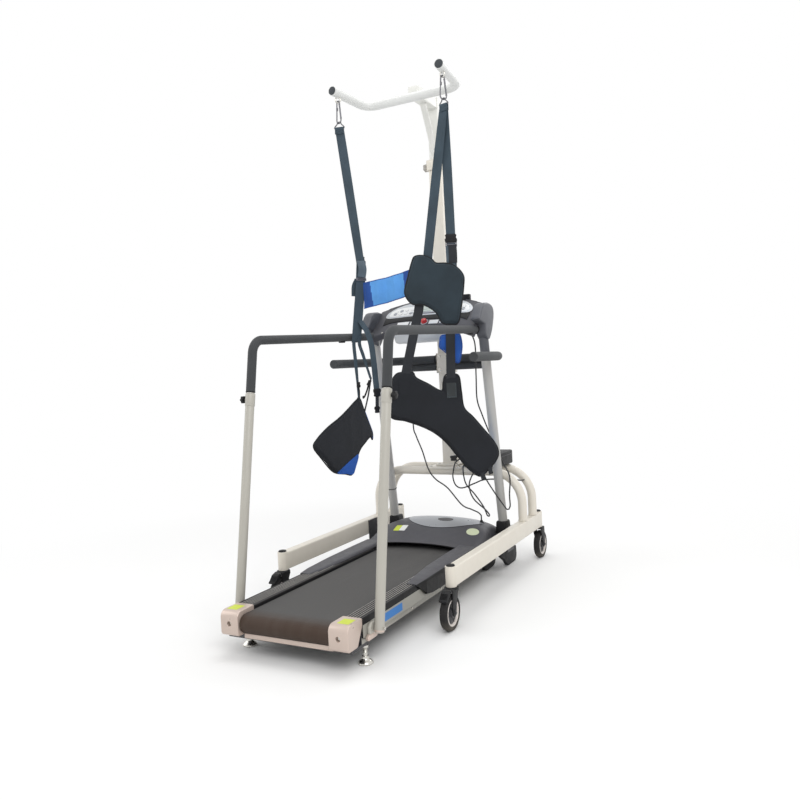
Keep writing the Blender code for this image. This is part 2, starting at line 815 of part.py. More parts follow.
def post(side, name):
    x = side * post_x
    shaft = cylinder(post_radius, (x, post_foot_y, post_foot_z), (x, post_top_y, post_top_z), 16)
    lug = mirrored_box(side, (foot_rail_outer + seat_gap, post_foot_y - 0.020, post_foot_z - 0.004),
                       (post_x, post_foot_y + 0.024, post_foot_z + 0.030))
    bolt = cylinder(0.006, (x, post_foot_y + 0.002, post_foot_z + 0.013),
                    (side * (post_x + post_radius + 0.004), post_foot_y + 0.002, post_foot_z + 0.013), 6)
    sleeve = cylinder(post_radius + 0.0015, (x, post_axis(post_top_z - 0.045), post_top_z - 0.045),
                      (x, post_axis(post_top_z - 0.002), post_top_z - 0.002), 16)
    bore = cylinder(post_radius - 0.0035, (x, post_axis(post_top_z - post_bore_depth), post_top_z - post_bore_depth),
                    (x, post_axis(post_top_z + 0.02), post_top_z + 0.02), 16)
    return settle(cut(join(shaft, lug, bolt, sleeve), bore), name, warm_grey_paint)


def handrail(side, name):
    """The foam-covered rail and the inner tube that slips into the post."""
    lean = (post_top_y - post_foot_y) / (post_top_z - post_foot_z)
    x = side * post_x
    start_z = post_top_z + seat_gap
    bend = (x, post_axis(post_top_z) + lean * (rail_bend_z - post_top_z), rail_bend_z)
    front = (side * rail_front_x, cheek_rear_face_y - seat_gap * 3, rail_front_z)
    path = rounded_path([(x, post_axis(start_z), start_z), bend, front], rail_bend_radius, 7)
    rail = tube(path, rail_grip_radius, 4)
    stub_z = post_top_z - post_bore_depth + 0.006
    stub = cylinder(post_radius - 0.0035 - slide_gap, (x, post_axis(stub_z), stub_z),
                    (x, post_axis(post_top_z + 0.01), post_top_z + 0.01), 16)
    return settle(join(rail, stub), name, grip_foam)


def post_knob(side, name):
    """A lobed clamp knob whose axis crosses the post below its mouth."""
    height = post_top_z - knob_drop
    start = post_x + post_radius + 0.0015 + seat_gap
    hub = (side * start, post_axis(height), height)
    lobes = 6
    outline = []
    for step in range(24):
        angle = math.tau * step / 24
        reach = 0.0125 + 0.0015 * math.cos(lobes * angle)
        outline.append((reach * math.cos(angle), reach * math.sin(angle)))
    grip = prism(outline, 0.012, plane_matrix((side * (start + 0.012), hub[1], height), (0, 1, 0), (0, 0, 1)))
    stem = cylinder(0.006, hub, (side * (start + 0.008), hub[1], height), 16)
    return settle(join(grip, stem), name, black_plastic)


def upright_axis(height):
    share = (height - upright_foot_z) / (upright_top_z - upright_foot_z)
    return (upright_foot_x + (upright_top_x - upright_foot_x) * share,
            upright_foot_y + (upright_top_y - upright_foot_y) * share)


def upright(side, name):
    foot = (side * upright_foot_x, upright_foot_y, upright_foot_z)
    top = (side * upright_top_x, upright_top_y, upright_top_z)
    return settle(cylinder(upright_radius, foot, top, 28), name, light_grey_paint)


def upright_boot(side, name):
    """The moulded socket that holds an upright against the treadmill's side rail."""
    inner = side_rail_outer + seat_gap
    outer = upright_foot_x + upright_radius + 0.006
    foot_z = upright_foot_z - 0.006
    block = mirrored_box(side, (inner, upright_foot_y - boot_half_length, foot_z),
                         (outer, upright_foot_y + boot_half_length - 0.012, boot_height))
    block = bevel(block, 0.007, 2)
    x_low, y_low = upright_axis(upright_foot_z)
    x_high, y_high = upright_axis(boot_height + 0.02)
    socket = cylinder(upright_radius + seat_gap, (side * x_low, y_low, upright_foot_z - seat_gap),
                      (side * x_high, y_high, boot_height + 0.02), 28)
    return settle(cut(block, socket), name, black_plastic)


def front_stand():
    """The black feet under the front of the deck, on a bar below the side rails."""
    bar_top = side_rail_bottom - seat_gap
    bar = box((-0.254, side_rail_front - 0.060, bar_top - 0.022), (0.254, side_rail_front - 0.030, bar_top))
    feet = []
    for side in (-1, 1):
        outline = [(0.440, bar_top - 0.004), (0.470, bar_top), (0.600, bar_top), (0.646, bar_top - 0.002),
                   (0.650, 0.030), (0.638, 0.006), (0.600, 0.0), (0.545, 0.0), (0.500, 0.030)]
        feet.append(prism(outline, 0.016, plane_matrix((side * 0.2600, 0.0, 0.0), (0, 1, 0), (0, 0, 1))))
        wheel_cheek = [(0.392, 0.030), (0.410, 0.045), (0.500, bar_top), (0.538, 0.024), (0.530, 0.010),
                       (0.470, 0.0), (0.430, 0.0)]
        feet.append(prism(wheel_cheek, 0.014, plane_matrix((side * 0.200, 0.0, 0.0), (0, 1, 0), (0, 0, 1))))
        feet.append(mirrored_box(side, (0.194, 0.470, bar_top - 0.020), (0.206, 0.505, bar_top - 0.004)))
    return settle(join(bar, *feet), "front_stand", black_plastic)


# Console

def console_point(across, along, out=0.0):
    """A point on the console's sloping face: across, up the slope, and out of it."""
    slope = Vector((0.0, math.cos(console_tilt), math.sin(console_tilt)))
    normal = Vector((0.0, -math.sin(console_tilt), math.cos(console_tilt)))
    foot = Vector((0.0, console_lower_y, console_lower_z))
    return foot + Vector((across, 0, 0)) + slope * along + normal * out


def console_outline(half_width, low, high, droop, upper_droop, steps=8):
    """A crescent: both edges sag towards the sides, the lower one more."""
    lower = []
    upper = []
    for step in range(steps + 1):
        across = half_width * (-1 + 2 * step / steps)
        share = (across / half_width) ** 2
        lower.append((across, low - droop * share))
        upper.append((across, high - upper_droop * share))
    return lower + list(reversed(upper))


def console_body():
    lay = plane_matrix(console_point(0, 0, -console_thickness / 2), (1, 0, 0),
                       (0, math.cos(console_tilt), math.sin(console_tilt)))
    slab = prism(console_outline(console_half_width, 0.0, console_depth, console_lower_droop, console_upper_droop),
                 console_thickness, lay)
    body = bevel(slab, 0.004, 1, 50)
    for side in (-1, 1):
        body = join(body, console_cheek(side))
    belly = box((-0.160, -0.045, -0.030), (0.160, 0.045, 0.030))
    belly.matrix_world = plane_matrix(console_point(0.0, 0.060, -console_thickness - 0.022), (1, 0, 0),
                                      (0, math.cos(console_tilt * 0.5), math.sin(console_tilt * 0.5)))
    bpy.context.view_layer.update()
    body = join(body, bevel(belly, 0.014, 1))
    for x, y, z in console_glands():
        body = join(body, cylinder(gland_radius, (x, y, z), (x, y, z + 0.030), 12))
    cap = box((-0.020, -0.011, -0.024), (0.020, 0.011, 0.016))
    cap.matrix_world = plane_matrix(console_point(0.155, console_depth - 0.018), (1, 0, 0), (0, 1, 0))
    bpy.context.view_layer.update()
    body = join(body, bevel(cap, 0.003, 1))
    button_bore = cylinder(stop_button_radius + slide_gap, console_point(*stop_button_spot, 0.010),
                           console_point(*stop_button_spot, -0.014), 24)
    body = cut(body, button_bore)
    socket_mouth = upright_top_z - 0.095
    for side in (-1, 1):
        x_low, y_low = upright_axis(socket_mouth)
        socket = cylinder(upright_radius + seat_gap, (side * x_low, y_low, socket_mouth),
                          (side * upright_top_x, upright_top_y, upright_top_z + seat_gap), 28)
        body = cut(body, socket)
    return settle(body, "console_body", hood_plastic)


def console_glands():
    """The cable outlets below the console, by the centre of their lower ends."""
    return [(-0.100, 0.415, 1.048), (0.180, 0.405, 1.084)]


def console_cheek(side):
    """The horn at each end of the console, seated over the top of an upright."""
    outline = [(0.276, 1.092), (cheek_rear_face_y, 1.078), (cheek_rear_face_y, 1.036), (0.360, 1.012),
               (0.384, 1.014), (0.415, 1.050), (0.440, 1.105), (0.443, 1.135), (0.425, 1.158), (0.375, 1.168),
               (0.330, 1.160), (0.300, 1.125), (0.280, 1.106)]
    cheek = prism(outline, cheek_outer - cheek_inner,
                  plane_matrix((side * (cheek_inner + cheek_outer) / 2, 0.0, 0.0), (0, 1, 0), (0, 0, 1)))
    return bevel(cheek, 0.005, 1, 60)


def console_panel():
    lay = plane_matrix(console_point(0, 0, seat_gap + panel_thickness / 2), (1, 0, 0),
                       (0, math.cos(console_tilt), math.sin(console_tilt)))
    crescent = [(0.0, 0.067), (0.100, 0.065), (0.150, 0.062), (0.190, 0.061), (0.209, 0.070), (0.211, 0.086),
                (0.205, 0.102), (0.190, 0.121), (0.170, 0.137), (0.140, 0.152), (0.100, 0.163), (0.050, 0.170)]
    mirrored = [(-across, along) for across, along in reversed(crescent[1:])]
    face = prism(crescent + [(0.0, 0.172)] + mirrored, panel_thickness, lay)
    bezel_low = -0.052
    frame_points = [(bezel_low, 0.078), (-bezel_low, 0.078), (-bezel_low, 0.146), (bezel_low, 0.146)]
    bezel = prism(frame_points, 0.006, plane_matrix(
        console_point(0, 0, seat_gap + 0.004), (1, 0, 0), (0, math.cos(console_tilt), math.sin(console_tilt))))
    window = prism([(across * 0.88, 0.112 + (along - 0.112) * 0.80) for across, along in frame_points], 0.006,
                   plane_matrix(console_point(0, 0, seat_gap + 0.0085), (1, 0, 0),
                                (0, math.cos(console_tilt), math.sin(console_tilt))))
    keys = []
    for side in (-1, 1):
        for row in range(2):
            for column in range(2):
                spot = (side * (0.095 + 0.030 * column), 0.090 + 0.026 * row)
                keys.append(cylinder(0.008, console_point(*spot, seat_gap + panel_thickness / 2),
                                     console_point(*spot, seat_gap + panel_thickness + 0.0015), 6))
    return settle(join(cut(join(face, bezel), window), *keys), "console_panel", console_silver)


def stop_button():
    low = console_point(*stop_button_spot, -0.014 + stop_button_travel + seat_gap)
    cap_start = console_point(*stop_button_spot, 0.006)
    cap_end = console_point(*stop_button_spot, 0.014)
    stem = cylinder(stop_button_radius, low, cap_start, 24)
    cap = cylinder(stop_button_radius, console_point(*stop_button_spot, 0.005), cap_end, 24,
                   stop_button_radius * 0.8)
    return settle(join(stem, cap), "stop_button", stop_red)


# Suspension frame

def frame_leg(side, name):
    beam = mirrored_box(side, (leg_x - leg_width / 2, rear_socket_y, leg_bottom),
                        (leg_x + leg_width / 2, front_socket_y, leg_top))
    beam = bevel(beam, 0.005, 1)
    sockets = []
    plugs = []
    for y in (rear_socket_y, front_socket_y):
        x = side * leg_x
        sockets.append(cylinder(socket_radius, (x, y, leg_bottom - 0.002), (x, y, leg_top + 0.002), 20))
        plugs.append(cylinder(socket_radius - 0.005, (x, y, leg_top), (x, y, leg_top + 0.006), 12))
    beam = join(beam, *sockets, *plugs)
    stem_bores = [cylinder(caster_bore + slide_gap, (side * leg_x, y, 0.0), (side * leg_x, y, leg_top - 0.030), 12)
                  for y in (rear_socket_y, front_socket_y)]
    beam = cut(beam, *stem_bores)
    return settle(beam, name, cream_paint)


def arch_frame():
    arches = []
    for y in (arch_rear_y, arch_front_y):
        corners = [(-leg_x, y, leg_top + seat_gap), (-leg_x, y, arch_height), (leg_x, y, arch_height),
                   (leg_x, y, leg_top + seat_gap)]
        arches.append(tube(rounded_path(corners, arch_bend_radius, 5), arch_tube_radius, 4))
    deck = box((-0.085, arch_rear_y - 0.024, arch_height + arch_tube_radius * 0.35),
               (0.085, arch_front_y + 0.024, arch_crown - seat_gap))
    bolts = []
    for x in (-0.070, 0.070):
        for y in (arch_rear_y - 0.010, arch_front_y + 0.010):
            bolts.append(cylinder(0.007, (x, y, arch_height), (x, y, arch_crown + 0.005), 6))
    return settle(join(arches[0], deck, arches[1], *bolts), "arch_frame", cream_paint)


def square_tube(width, wall, low, high):
    half = width / 2
    solid = box((-half, column_y - half, low), (half, column_y + half, high))
    solid = bevel(solid, 0.004, 2)
    inner = half - wall
    return solid, box((-inner, column_y - inner, low - 0.02), (inner, column_y + inner, high + 0.02))


def outer_column():
    shaft, hollow = square_tube(column_width, column_wall, arch_crown + 0.001, column_top)
    half = column_flange / 2
    flange = box((-half, column_y - half, arch_crown), (half, column_y + half, column_foot))
    collar_half = column_width / 2 + 0.004
    collar = box((-collar_half, column_y - collar_half, column_top - 0.050),
                 (collar_half, column_y + collar_half, column_top - 0.004))
    nut = cylinder(0.010, (collar_half - 0.001, column_y, column_top - 0.027),
                   (collar_half + 0.008, column_y, column_top - 0.027), 6)
    bolts = [cylinder(0.006, (x, column_y + y, column_foot - 0.002), (x, column_y + y, column_foot + 0.005), 6)
             for x in (-0.042, 0.042) for y in (-0.042, 0.042)]
    column = cut(join(shaft, flange, bevel(collar, 0.003, 2), *bolts), hollow)
    return settle(join(column, nut), "outer_column", cream_paint)


def lift_column():
    """The inner column that rises, with its boom and brace welded on."""
    half = inner_width / 2
    shaft = box((-half, column_y - half, inner_foot), (half, column_y + half, inner_top))
    boom_half = boom_height / 2
    boom = box((-boom_half, spreader_bend_y, inner_top - boom_height),
               (boom_half, column_y - half + 0.004, inner_top - 0.001))
    brace = cylinder(brace_radius, (0.0, spreader_bend_y + 0.098, boom_z),
                     (0.0, column_y - half + 0.010, column_top + 0.020), 20)
    column = bevel(join(shaft, boom), 0.004, 2)
    column = join(column, brace)
    saddle = tube([(-0.1, spreader_bend_y, spreader_z), (0.1, spreader_bend_y, spreader_z)],
                  spreader_radius + seat_gap, 4)
    behind = box((-0.1, spreader_bend_y - 0.1, spreader_z - 0.05), (0.1, spreader_bend_y, spreader_z + 0.1))
    return settle(cut(column, saddle, behind), "lift_column", cream_paint)


def eye_height():
    return spreader_end_z - spreader_radius - eye_radius + 0.002


def eye_place(side):
    share = 0.150
    return (side * (spreader_end_x + (spreader_bend_x - spreader_end_x) * share),
            spreader_end_y + (spreader_bend_y - spreader_end_y) * share)


def ring_direction(side, azimuth):
    return Vector((math.cos(azimuth), side * math.sin(azimuth), 0.0))


def spreader_bar():
    corners = [(-spreader_end_x, spreader_end_y, spreader_end_z), (-spreader_bend_x, spreader_bend_y, spreader_z),
               (spreader_bend_x, spreader_bend_y, spreader_z), (spreader_end_x, spreader_end_y, spreader_end_z)]
    bar = tube(rounded_path(corners, spreader_bend_radius, 5), spreader_radius, 4)
    for side in (-1, 1):
        x, y = eye_place(side)
        across = ring_direction(side, ring_azimuth)
        centre = Vector((x, y, eye_height()))
        spots = []
        for step in range(10):
            angle = math.tau * step / 10
            spots.append(centre + across * eye_radius * math.cos(angle)
                         + Vector((0, 0, eye_radius * math.sin(angle))))
        bar = join(bar, tube(spots, eye_wire, 1, cyclic=True))
    return settle(bar, "spreader_bar", cream_paint)


def hook_top():
    return eye_height() - eye_radius + eye_wire + hook_wire + seat_gap


def pear_loop(centre, across, top, top_radius, bottom, bottom_radius, steps=7):
    """A closed loop in an upright plane, narrow at the top and wide at the bottom."""
    spots = []
    up = Vector((0, 0, 1))
    upper = Vector((*centre, top - top_radius))
    lower = Vector((*centre, bottom + bottom_radius))
    for step in range(steps + 1):
        angle = math.pi * step / steps
        spots.append(upper + across * top_radius * math.cos(angle) + up * top_radius * math.sin(angle))
    for step in range(steps + 1):
        angle = math.pi + math.pi * step / steps
        spots.append(lower + across * bottom_radius * math.cos(angle) + up * bottom_radius * math.sin(angle))
    return spots


def hook_bottom():
    return hook_top() - hook_length


def snap_hook(side, name):
    across = ring_direction(side, hook_azimuth)
    loop = pear_loop(eye_place(side), across, hook_top(), hook_top_radius, hook_bottom(), hook_bottom_radius)
    return settle(tube(loop, hook_wire, 1, cyclic=True), name, bright_zinc)


def ring_bar_height():
    """Height of the straight bar of the D ring that the webbing wraps."""
    return hook_bottom() + hook_wire + ring_wire + seat_gap - 0.026


def dee_ring(side):
    x, y = eye_place(side)
    across = ring_direction(side, ring_azimuth)
    half = webbing_width / 2 + 0.001
    bar = ring_bar_height()
    crown = bar + 0.026
    arch_radius = 0.009
    centre = Vector((x, y, 0.0))
    spots = [centre - across * half + Vector((0, 0, bar)), centre + across * half + Vector((0, 0, bar))]
    spots.append(centre + across * half + Vector((0, 0, bar + 0.006)))
    for step in range(7):
        angle = math.pi * step / 6
        spots.append(centre + across * arch_radius * math.cos(angle)
                     + Vector((0, 0, crown - arch_radius + arch_radius * math.sin(angle))))
    spots.append(centre - across * half + Vector((0, 0, bar + 0.006)))
    return tube(spots, ring_wire, 1, cyclic=True)


def buckle(point, across, along, width=0.050, height=0.026, depth=0.009):
    across = Vector(across).normalized()
    along = Vector(along).normalized()
    block = box((-width / 2, -height / 2, -depth / 2), (width / 2, height / 2, depth / 2))
    block.matrix_world = plane_matrix(point, across, along)
    bpy.context.view_layer.update()
    return bevel(block, 0.002, 1)


# Harness: the places where its straps and pads hang
chest_start = (0.155, 0.200)
chest_heading = (0.884, 0.468)
hip_start = (0.152, 0.243)
hip_heading = (0.856, 0.516)
flap_start = (0.149, 0.2115)
thigh_start = (-0.200, 0.100)
thigh_heading = (0.06, 0.998)
left_strap_mid = (-0.179, 0.133, 1.330)
left_strap_foot = (-0.211, 0.113, 1.030)
left_strap_facing = (0.451, 0.892, 0.0)
left_strap_thickness = 0.004
lower_strap_width = 0.045
band_start_z = 1.222
band_end_z = 1.262
band_crown = 0.1
sewn_lap = 0.030


def on_panel(start, heading, distance, height, out=0.0):
    """A point by its distance along a hanging panel, its height, and out of its face."""
    heading = Vector((*heading, 0.0)).normalized()
    normal = Vector((heading.y, -heading.x, 0.0))
    return Vector((*start, height)) + heading * distance + normal * out


def behind_pad(start, heading, distance, height):
    """Where webbing lies against the far face of a pad."""
    lap = pad_thickness / 2 * 1.16 + webbing_thickness / 2 + seat_gap
    return on_panel(start, heading, distance, height, -lap)


def sling_right():
    x, y = eye_place(1)
    top = Vector((x, y, ring_bar_height()))
    across = ring_direction(1, ring_azimuth)
    facing = Vector((*chest_heading, 0.0))
    straps = []
    for distance, edge, drift in ((-0.047, 1.358, -0.0015), (0.050, 1.309, 0.0015)):
        mouth = behind_pad(chest_start, chest_heading, distance, edge + 0.012)
        foot = behind_pad(chest_start, chest_heading, distance - 0.004, edge - sewn_lap)
        points = []
        widths = []
        for step in range(6):
            share = step / 5
            points.append(top.lerp(mouth, share) + Vector((0, drift, 0.006)) * (1 - share))
            widths.append(across.lerp(facing, min(share * 1.5, 1.0)))
        straps.append(strap(points + [foot], widths + [facing], webbing_width))
        right_foot = mouth
    collar_block = box((-webbing_width / 2, -0.005, -0.018), (webbing_width / 2, 0.005, 0.006))
    collar_block.matrix_world = plane_matrix(top, across, (0, 0, 1)) @ Matrix.Rotation(math.pi / 2, 4, "X")
    bpy.context.view_layer.update()
    clasp_at = top.lerp(right_foot, 0.83)
    clasp = buckle(clasp_at, facing, right_foot - top)
    return settle(join(straps[0], straps[1], bevel(collar_block, 0.002, 1), dee_ring(1), clasp),
                  "sling_right", strap_slate)


def sling_left():
    x, y = eye_place(-1)
    top = Vector((x, y, ring_bar_height()))
    across = ring_direction(-1, ring_azimuth)
    facing = Vector(left_strap_facing)
    mid = Vector(left_strap_mid)
    foot = Vector(left_strap_foot)
    points = [top + Vector((0, 0, 0.006))]
    widths = [across]
    for step in range(1, 6):
        points.append(top.lerp(mid, step / 5))
        widths.append(across.lerp(facing, step / 5))
    upper = strap(points, widths, webbing_width)
    lower = strap([mid + Vector((0, 0, 0.03)), mid.lerp(foot, 0.33), mid.lerp(foot, 0.66), foot],
                  [facing] * 4, lower_strap_width, left_strap_thickness)
    collar_block = box((-webbing_width / 2, -0.005, -0.018), (webbing_width / 2, 0.005, 0.006))
    collar_block.matrix_world = plane_matrix(top, across, (0, 0, 1)) @ Matrix.Rotation(math.pi / 2, 4, "X")
    bpy.context.view_layer.update()
    clasp = buckle(top.lerp(mid, 0.93), facing, mid - top)
    return settle(join(upper, lower, bevel(collar_block, 0.002, 1), dee_ring(-1), clasp),
                  "sling_left", strap_slate)


def chest_pad():
    """The shaped pad with two shoulder lobes and an arched lower edge."""
    stations = [(-0.148, 1.185, 1.215, 0.004), (-0.138, 1.176, 1.280, 0.002), (-0.122, 1.168, 1.334, 0.001),
                (-0.106, 1.166, 1.360, 0.0), (-0.060, 1.160, 1.362, -0.001), (-0.034, 1.140, 1.345, -0.001),
                (-0.018, 1.120, 1.325, -0.001), (0.000, 1.090, 1.322, -0.001), (0.030, 1.080, 1.322, 0.0),
                (0.060, 1.080, 1.308, 0.001), (0.076, 1.130, 1.294, 0.002), (0.088, 1.180, 1.262, 0.004),
                (0.094, 1.215, 1.235, 0.006)]
    return settle(pad(chest_start, chest_heading, stations, pad_thickness), "chest_pad", pad_slate, 60)


def chest_band():
    """The blue lined band between the left strap and the chest pad."""
    share = (left_strap_mid[2] - band_start_z) / (left_strap_mid[2] - left_strap_foot[2])
    facing = Vector(left_strap_facing)
    beside = Vector((facing.y, -facing.x, 0.0))
    start = Vector(left_strap_mid).lerp(Vector(left_strap_foot), share) + facing * 0.010 + beside * 0.0076
    end = on_panel(chest_start, chest_heading, -0.138, band_end_z, -0.0108)
    heading = Vector((end.x - start.x, end.y - start.y, 0.0))
    length = heading.length
    stations = []
    for step in range(9):
        share = step / 8
        middle = start.z + (end.z - start.z) * share
        half = 0.053 - 0.003 * share
        bow = 0.030 * math.sin(math.pi * share)
        stations.append((length * share, middle - half, middle + half, -bow))
    return settle(pad((start.x, start.y), (heading.x, heading.y), stations, 0.008, band_crown), "chest_band", lining_blue, 60)


def hip_pad():
    """The curved belt that hangs from two straps below the chest pad."""
    stations = [(-0.252, 0.715, 0.800, 0.004), (-0.240, 0.708, 0.856, 0.002), (-0.217, 0.700, 0.884, 0.0),
                (-0.160, 0.678, 0.886, -0.004), (-0.140, 0.668, 0.868, -0.005), (-0.077, 0.636, 0.832, -0.006),
                (-0.034, 0.600, 0.804, -0.006), (-0.020, 0.586, 0.864, -0.005), (0.034, 0.512, 0.866, -0.003),
                (0.050, 0.492, 0.745, -0.002), (0.069, 0.468, 0.718, 0.0), (0.105, 0.444, 0.672, 0.004),
                (0.150, 0.476, 0.610, 0.010), (0.176, 0.502, 0.574, 0.014), (0.188, 0.525, 0.545, 0.017)]
    body = pad(hip_start, hip_heading, stations, pad_thickness)
    facing = Vector((*chest_heading, 0.0))
    pieces = []
    for distance, pad_top, lift_at, lift_z in ((-0.190, 0.880, -0.095, 1.164), (0.006, 0.860, 0.030, 1.080)):
        foot = on_panel(hip_start, hip_heading, distance, pad_top - 0.030)
        mouth = behind_pad(chest_start, chest_heading, lift_at, lift_z - 0.012)
        end = behind_pad(chest_start, chest_heading, lift_at + 0.002, lift_z + sewn_lap)
        points = [foot.lerp(mouth, step / 3) for step in range(4)] + [end]
        pieces.append(strap(points, [facing] * 5, webbing_width))
    flap = [(-0.018, 0.985, 1.020, 0.0), (-0.006, 0.978, 1.037, 0.0), (0.024, 0.952, 1.038, 0.0),
            (0.045, 0.926, 1.038, 0.0), (0.060, 0.918, 1.038, 0.0), (0.070, 0.936, 1.034, 0.0),
            (0.077, 0.955, 0.990, 0.0)]
    pieces.append(pad(flap_start, chest_heading, flap, 0.008, band_crown))
    return settle(join(body, *pieces), "hip_pad", pad_black, 60)


def thigh_pad():
    """The open cuff on the left, hung from two narrow straps with clips."""
    stations = [(-0.328, 0.612, 0.632, -0.004), (-0.312, 0.590, 0.648, -0.003), (-0.270, 0.556, 0.672, 0.0),
                (-0.225, 0.515, 0.692, 0.002), (-0.180, 0.502, 0.712, 0.004), (-0.130, 0.498, 0.734, 0.004),
                (-0.090, 0.494, 0.756, 0.003), (-0.040, 0.534, 0.780, 0.0), (0.000, 0.566, 0.785, -0.004),
                (0.030, 0.586, 0.752, -0.008), (0.075, 0.600, 0.692, -0.014), (0.105, 0.606, 0.650, -0.020)]
    body = pad(thigh_start, thigh_heading, stations, thin_pad)
    heading = Vector((*thigh_heading, 0.0)).normalized()
    facing = Vector(left_strap_facing)
    lap = left_strap_thickness / 2 + 0.0015 + seat_gap
    beside = Vector((facing.y, -facing.x, 0.0)) * lap
    foot = Vector(left_strap_foot)
    rise = (Vector(left_strap_mid) - foot).normalized()
    pieces = []
    for low_at, along in ((-0.028, -0.014), (0.010, 0.014)):
        low = on_panel(thigh_start, thigh_heading, low_at, 0.760)
        mouth = foot + facing * along + beside - rise * 0.010
        end = foot + facing * along + beside + rise * 0.024
        points = [low, low.lerp(mouth, 0.5), mouth, end]
        pieces.append(strap(points, [heading, heading, facing, facing], 0.020, 0.003))
        pieces.append(buckle(low.lerp(mouth, 0.30), heading, (0, 0, 1), 0.026, 0.040, 0.009))
    return settle(join(body, *pieces), "thigh_pad", pad_black, 60)


# Support handle, control box and clamp knob

def handle_frame():
    """A collar on the column with a swept arm on each side and a crossbar below."""
    inner = column_width / 2 + seat_gap
    outer = inner + collar_wall
    collar = box((-outer, column_y - outer, crossbar_z - 0.028), (outer, column_y + outer, handle_z + 0.028))
    passage = box((-inner, column_y - inner, crossbar_z - 0.1), (inner, column_y + inner, handle_z + 0.1))
    arms = []
    for side in (-1, 1):
        route = [(outer - 0.004, column_y, handle_z), (0.12, column_y - 0.003, handle_z),
                 (0.20, column_y - 0.024, handle_z), (0.268, column_y - 0.078, handle_z),
                 (0.313, column_y - 0.165, handle_z), (handle_half_width, column_y - 0.265, handle_z),
                 (handle_half_width + 0.002, column_y - 0.350, handle_z), (handle_half_width, handle_rear_y, handle_z)]
        path = smooth_path([(side * x, y, z) for x, y, z in route], 0.078)
        arms.append(tube(path, handle_radius, 4))
        arms.append(cylinder(crossbar_radius, (side * (outer - 0.004), column_y, crossbar_z),
                             (side * crossbar_half_length, column_y, crossbar_z), 20))
    return settle(cut(join(bevel(collar, 0.003, 2), *arms), passage), "handle_frame", grip_foam)


def column_knob():
    reach = column_width / 2 + 0.004 + seat_gap
    height = column_top - 0.027
    outline = []
    for step in range(30):
        angle = math.tau * step / 30
        radius = 0.0165 + 0.002 * math.cos(5 * angle)
        outline.append((radius * math.cos(angle), radius * math.sin(angle)))
    grip = prism(outline, 0.016, plane_matrix((-reach - 0.022, column_y, height), (0, 1, 0), (0, 0, 1)))
    stem = cylinder(0.007, (-reach, column_y, height), (-reach - 0.018, column_y, height), 16)
    return settle(join(grip, stem), "column_knob", black_plastic)


def control_box():
    base = arch_crown + seat_gap
    case = box((box_inner_x, arch_rear_y - 0.012, base),
               (box_inner_x + box_length, arch_rear_y - 0.012 + box_depth + 0.055, base + box_height))
    case = bevel(case, 0.006, 2)
    glands = []
    for x, y in gland_places():
        glands.append(cylinder(gland_radius, (x, y + 0.004, gland_height()), (x, y - gland_length, gland_height()), 12))
    x, y, z = plug_face()
    plug = box((x, y - 0.015, z - 0.013), (box_inner_x + 0.004, y + 0.015, z + 0.013))
    return settle(join(case, plug, *glands), "control_box", black_plastic)


def gland_places():
    """Where the cables leave the rear face of the control box."""
    rear_face = arch_rear_y - 0.012
    return [(box_inner_x + offset, rear_face) for offset in (0.016, 0.081, 0.113)]


def gland_height():
    return arch_crown + seat_gap + 0.022


def plug_face():
    return box_inner_x - 0.022, arch_rear_y + 0.025, arch_crown + seat_gap + 0.031


# Casters

def caster_centre(side, socket_y, towards):
    return Vector((side * leg_x, socket_y + towards * caster_trail, wheel_radius))


def caster_fork(side, socket_y, towards, name):
    """A pressed fork with two cheeks, a round bearing head and a stem."""
    x = side * leg_x
    inner = wheel_width / 2 + fork_gap
    outer = inner + fork_wall
    top_plate = cylinder(0.026, (x, socket_y, fork_top - 0.007), (x, socket_y, fork_top), 14)
    head = cylinder(0.019, (x, socket_y, fork_top - 0.002), (x, socket_y, leg_bottom - 0.002 - seat_gap), 12)
    stem = cylinder(caster_bore, (x, socket_y, fork_top), (x, socket_y, leg_top - 0.034), 12)
    reach = sorted((socket_y - towards * 0.018, socket_y + towards * (caster_trail + crown_reach)))
    crown = box((x - outer, reach[0], fork_top - 0.007), (x + outer, reach[1], fork_top - 0.001))
    hub_y = socket_y + towards * caster_trail
    outline = [(socket_y - towards * 0.018, fork_top - 0.003), (hub_y + towards * crown_reach, fork_top - 0.003),
               (hub_y + towards * 0.014, wheel_radius), (hub_y + towards * 0.008, wheel_radius - 0.013),
               (hub_y - towards * 0.008, wheel_radius - 0.013), (hub_y - towards * 0.014, wheel_radius)]
    cheeks = []
    for cheek in (-1, 1):
        middle = x + cheek * (inner + outer) / 2
        cheeks.append(prism(outline, fork_wall, plane_matrix((middle, 0.0, 0.0), (0, 1, 0), (0, 0, 1))))
    axle = cylinder(0.005, (x - outer - 0.004, hub_y, wheel_radius), (x + outer + 0.004, hub_y, wheel_radius), 10)
    return settle(join(top_plate, head, stem, crown, *cheeks, axle), name, black_plastic)


def caster_wheel(side, socket_y, towards, name):
    """A tyre and rim turned in one, with a bore that runs on the fork's axle."""
    half = wheel_width / 2
    rim = wheel_radius - 0.016
    profile = [(wheel_radius - 0.005, half * 0.75), (wheel_radius, half * 0.35), (wheel_radius, -half * 0.35),
               (wheel_radius - 0.005, -half * 0.75), (rim, -half * 0.50), (0.0055, -half), (0.0055, half),
               (rim, half * 0.50)]
    wheel = turned(profile, caster_centre(side, socket_y, towards), (1, 0, 0), 20)
    return settle(wheel, name, tyre_rubber)


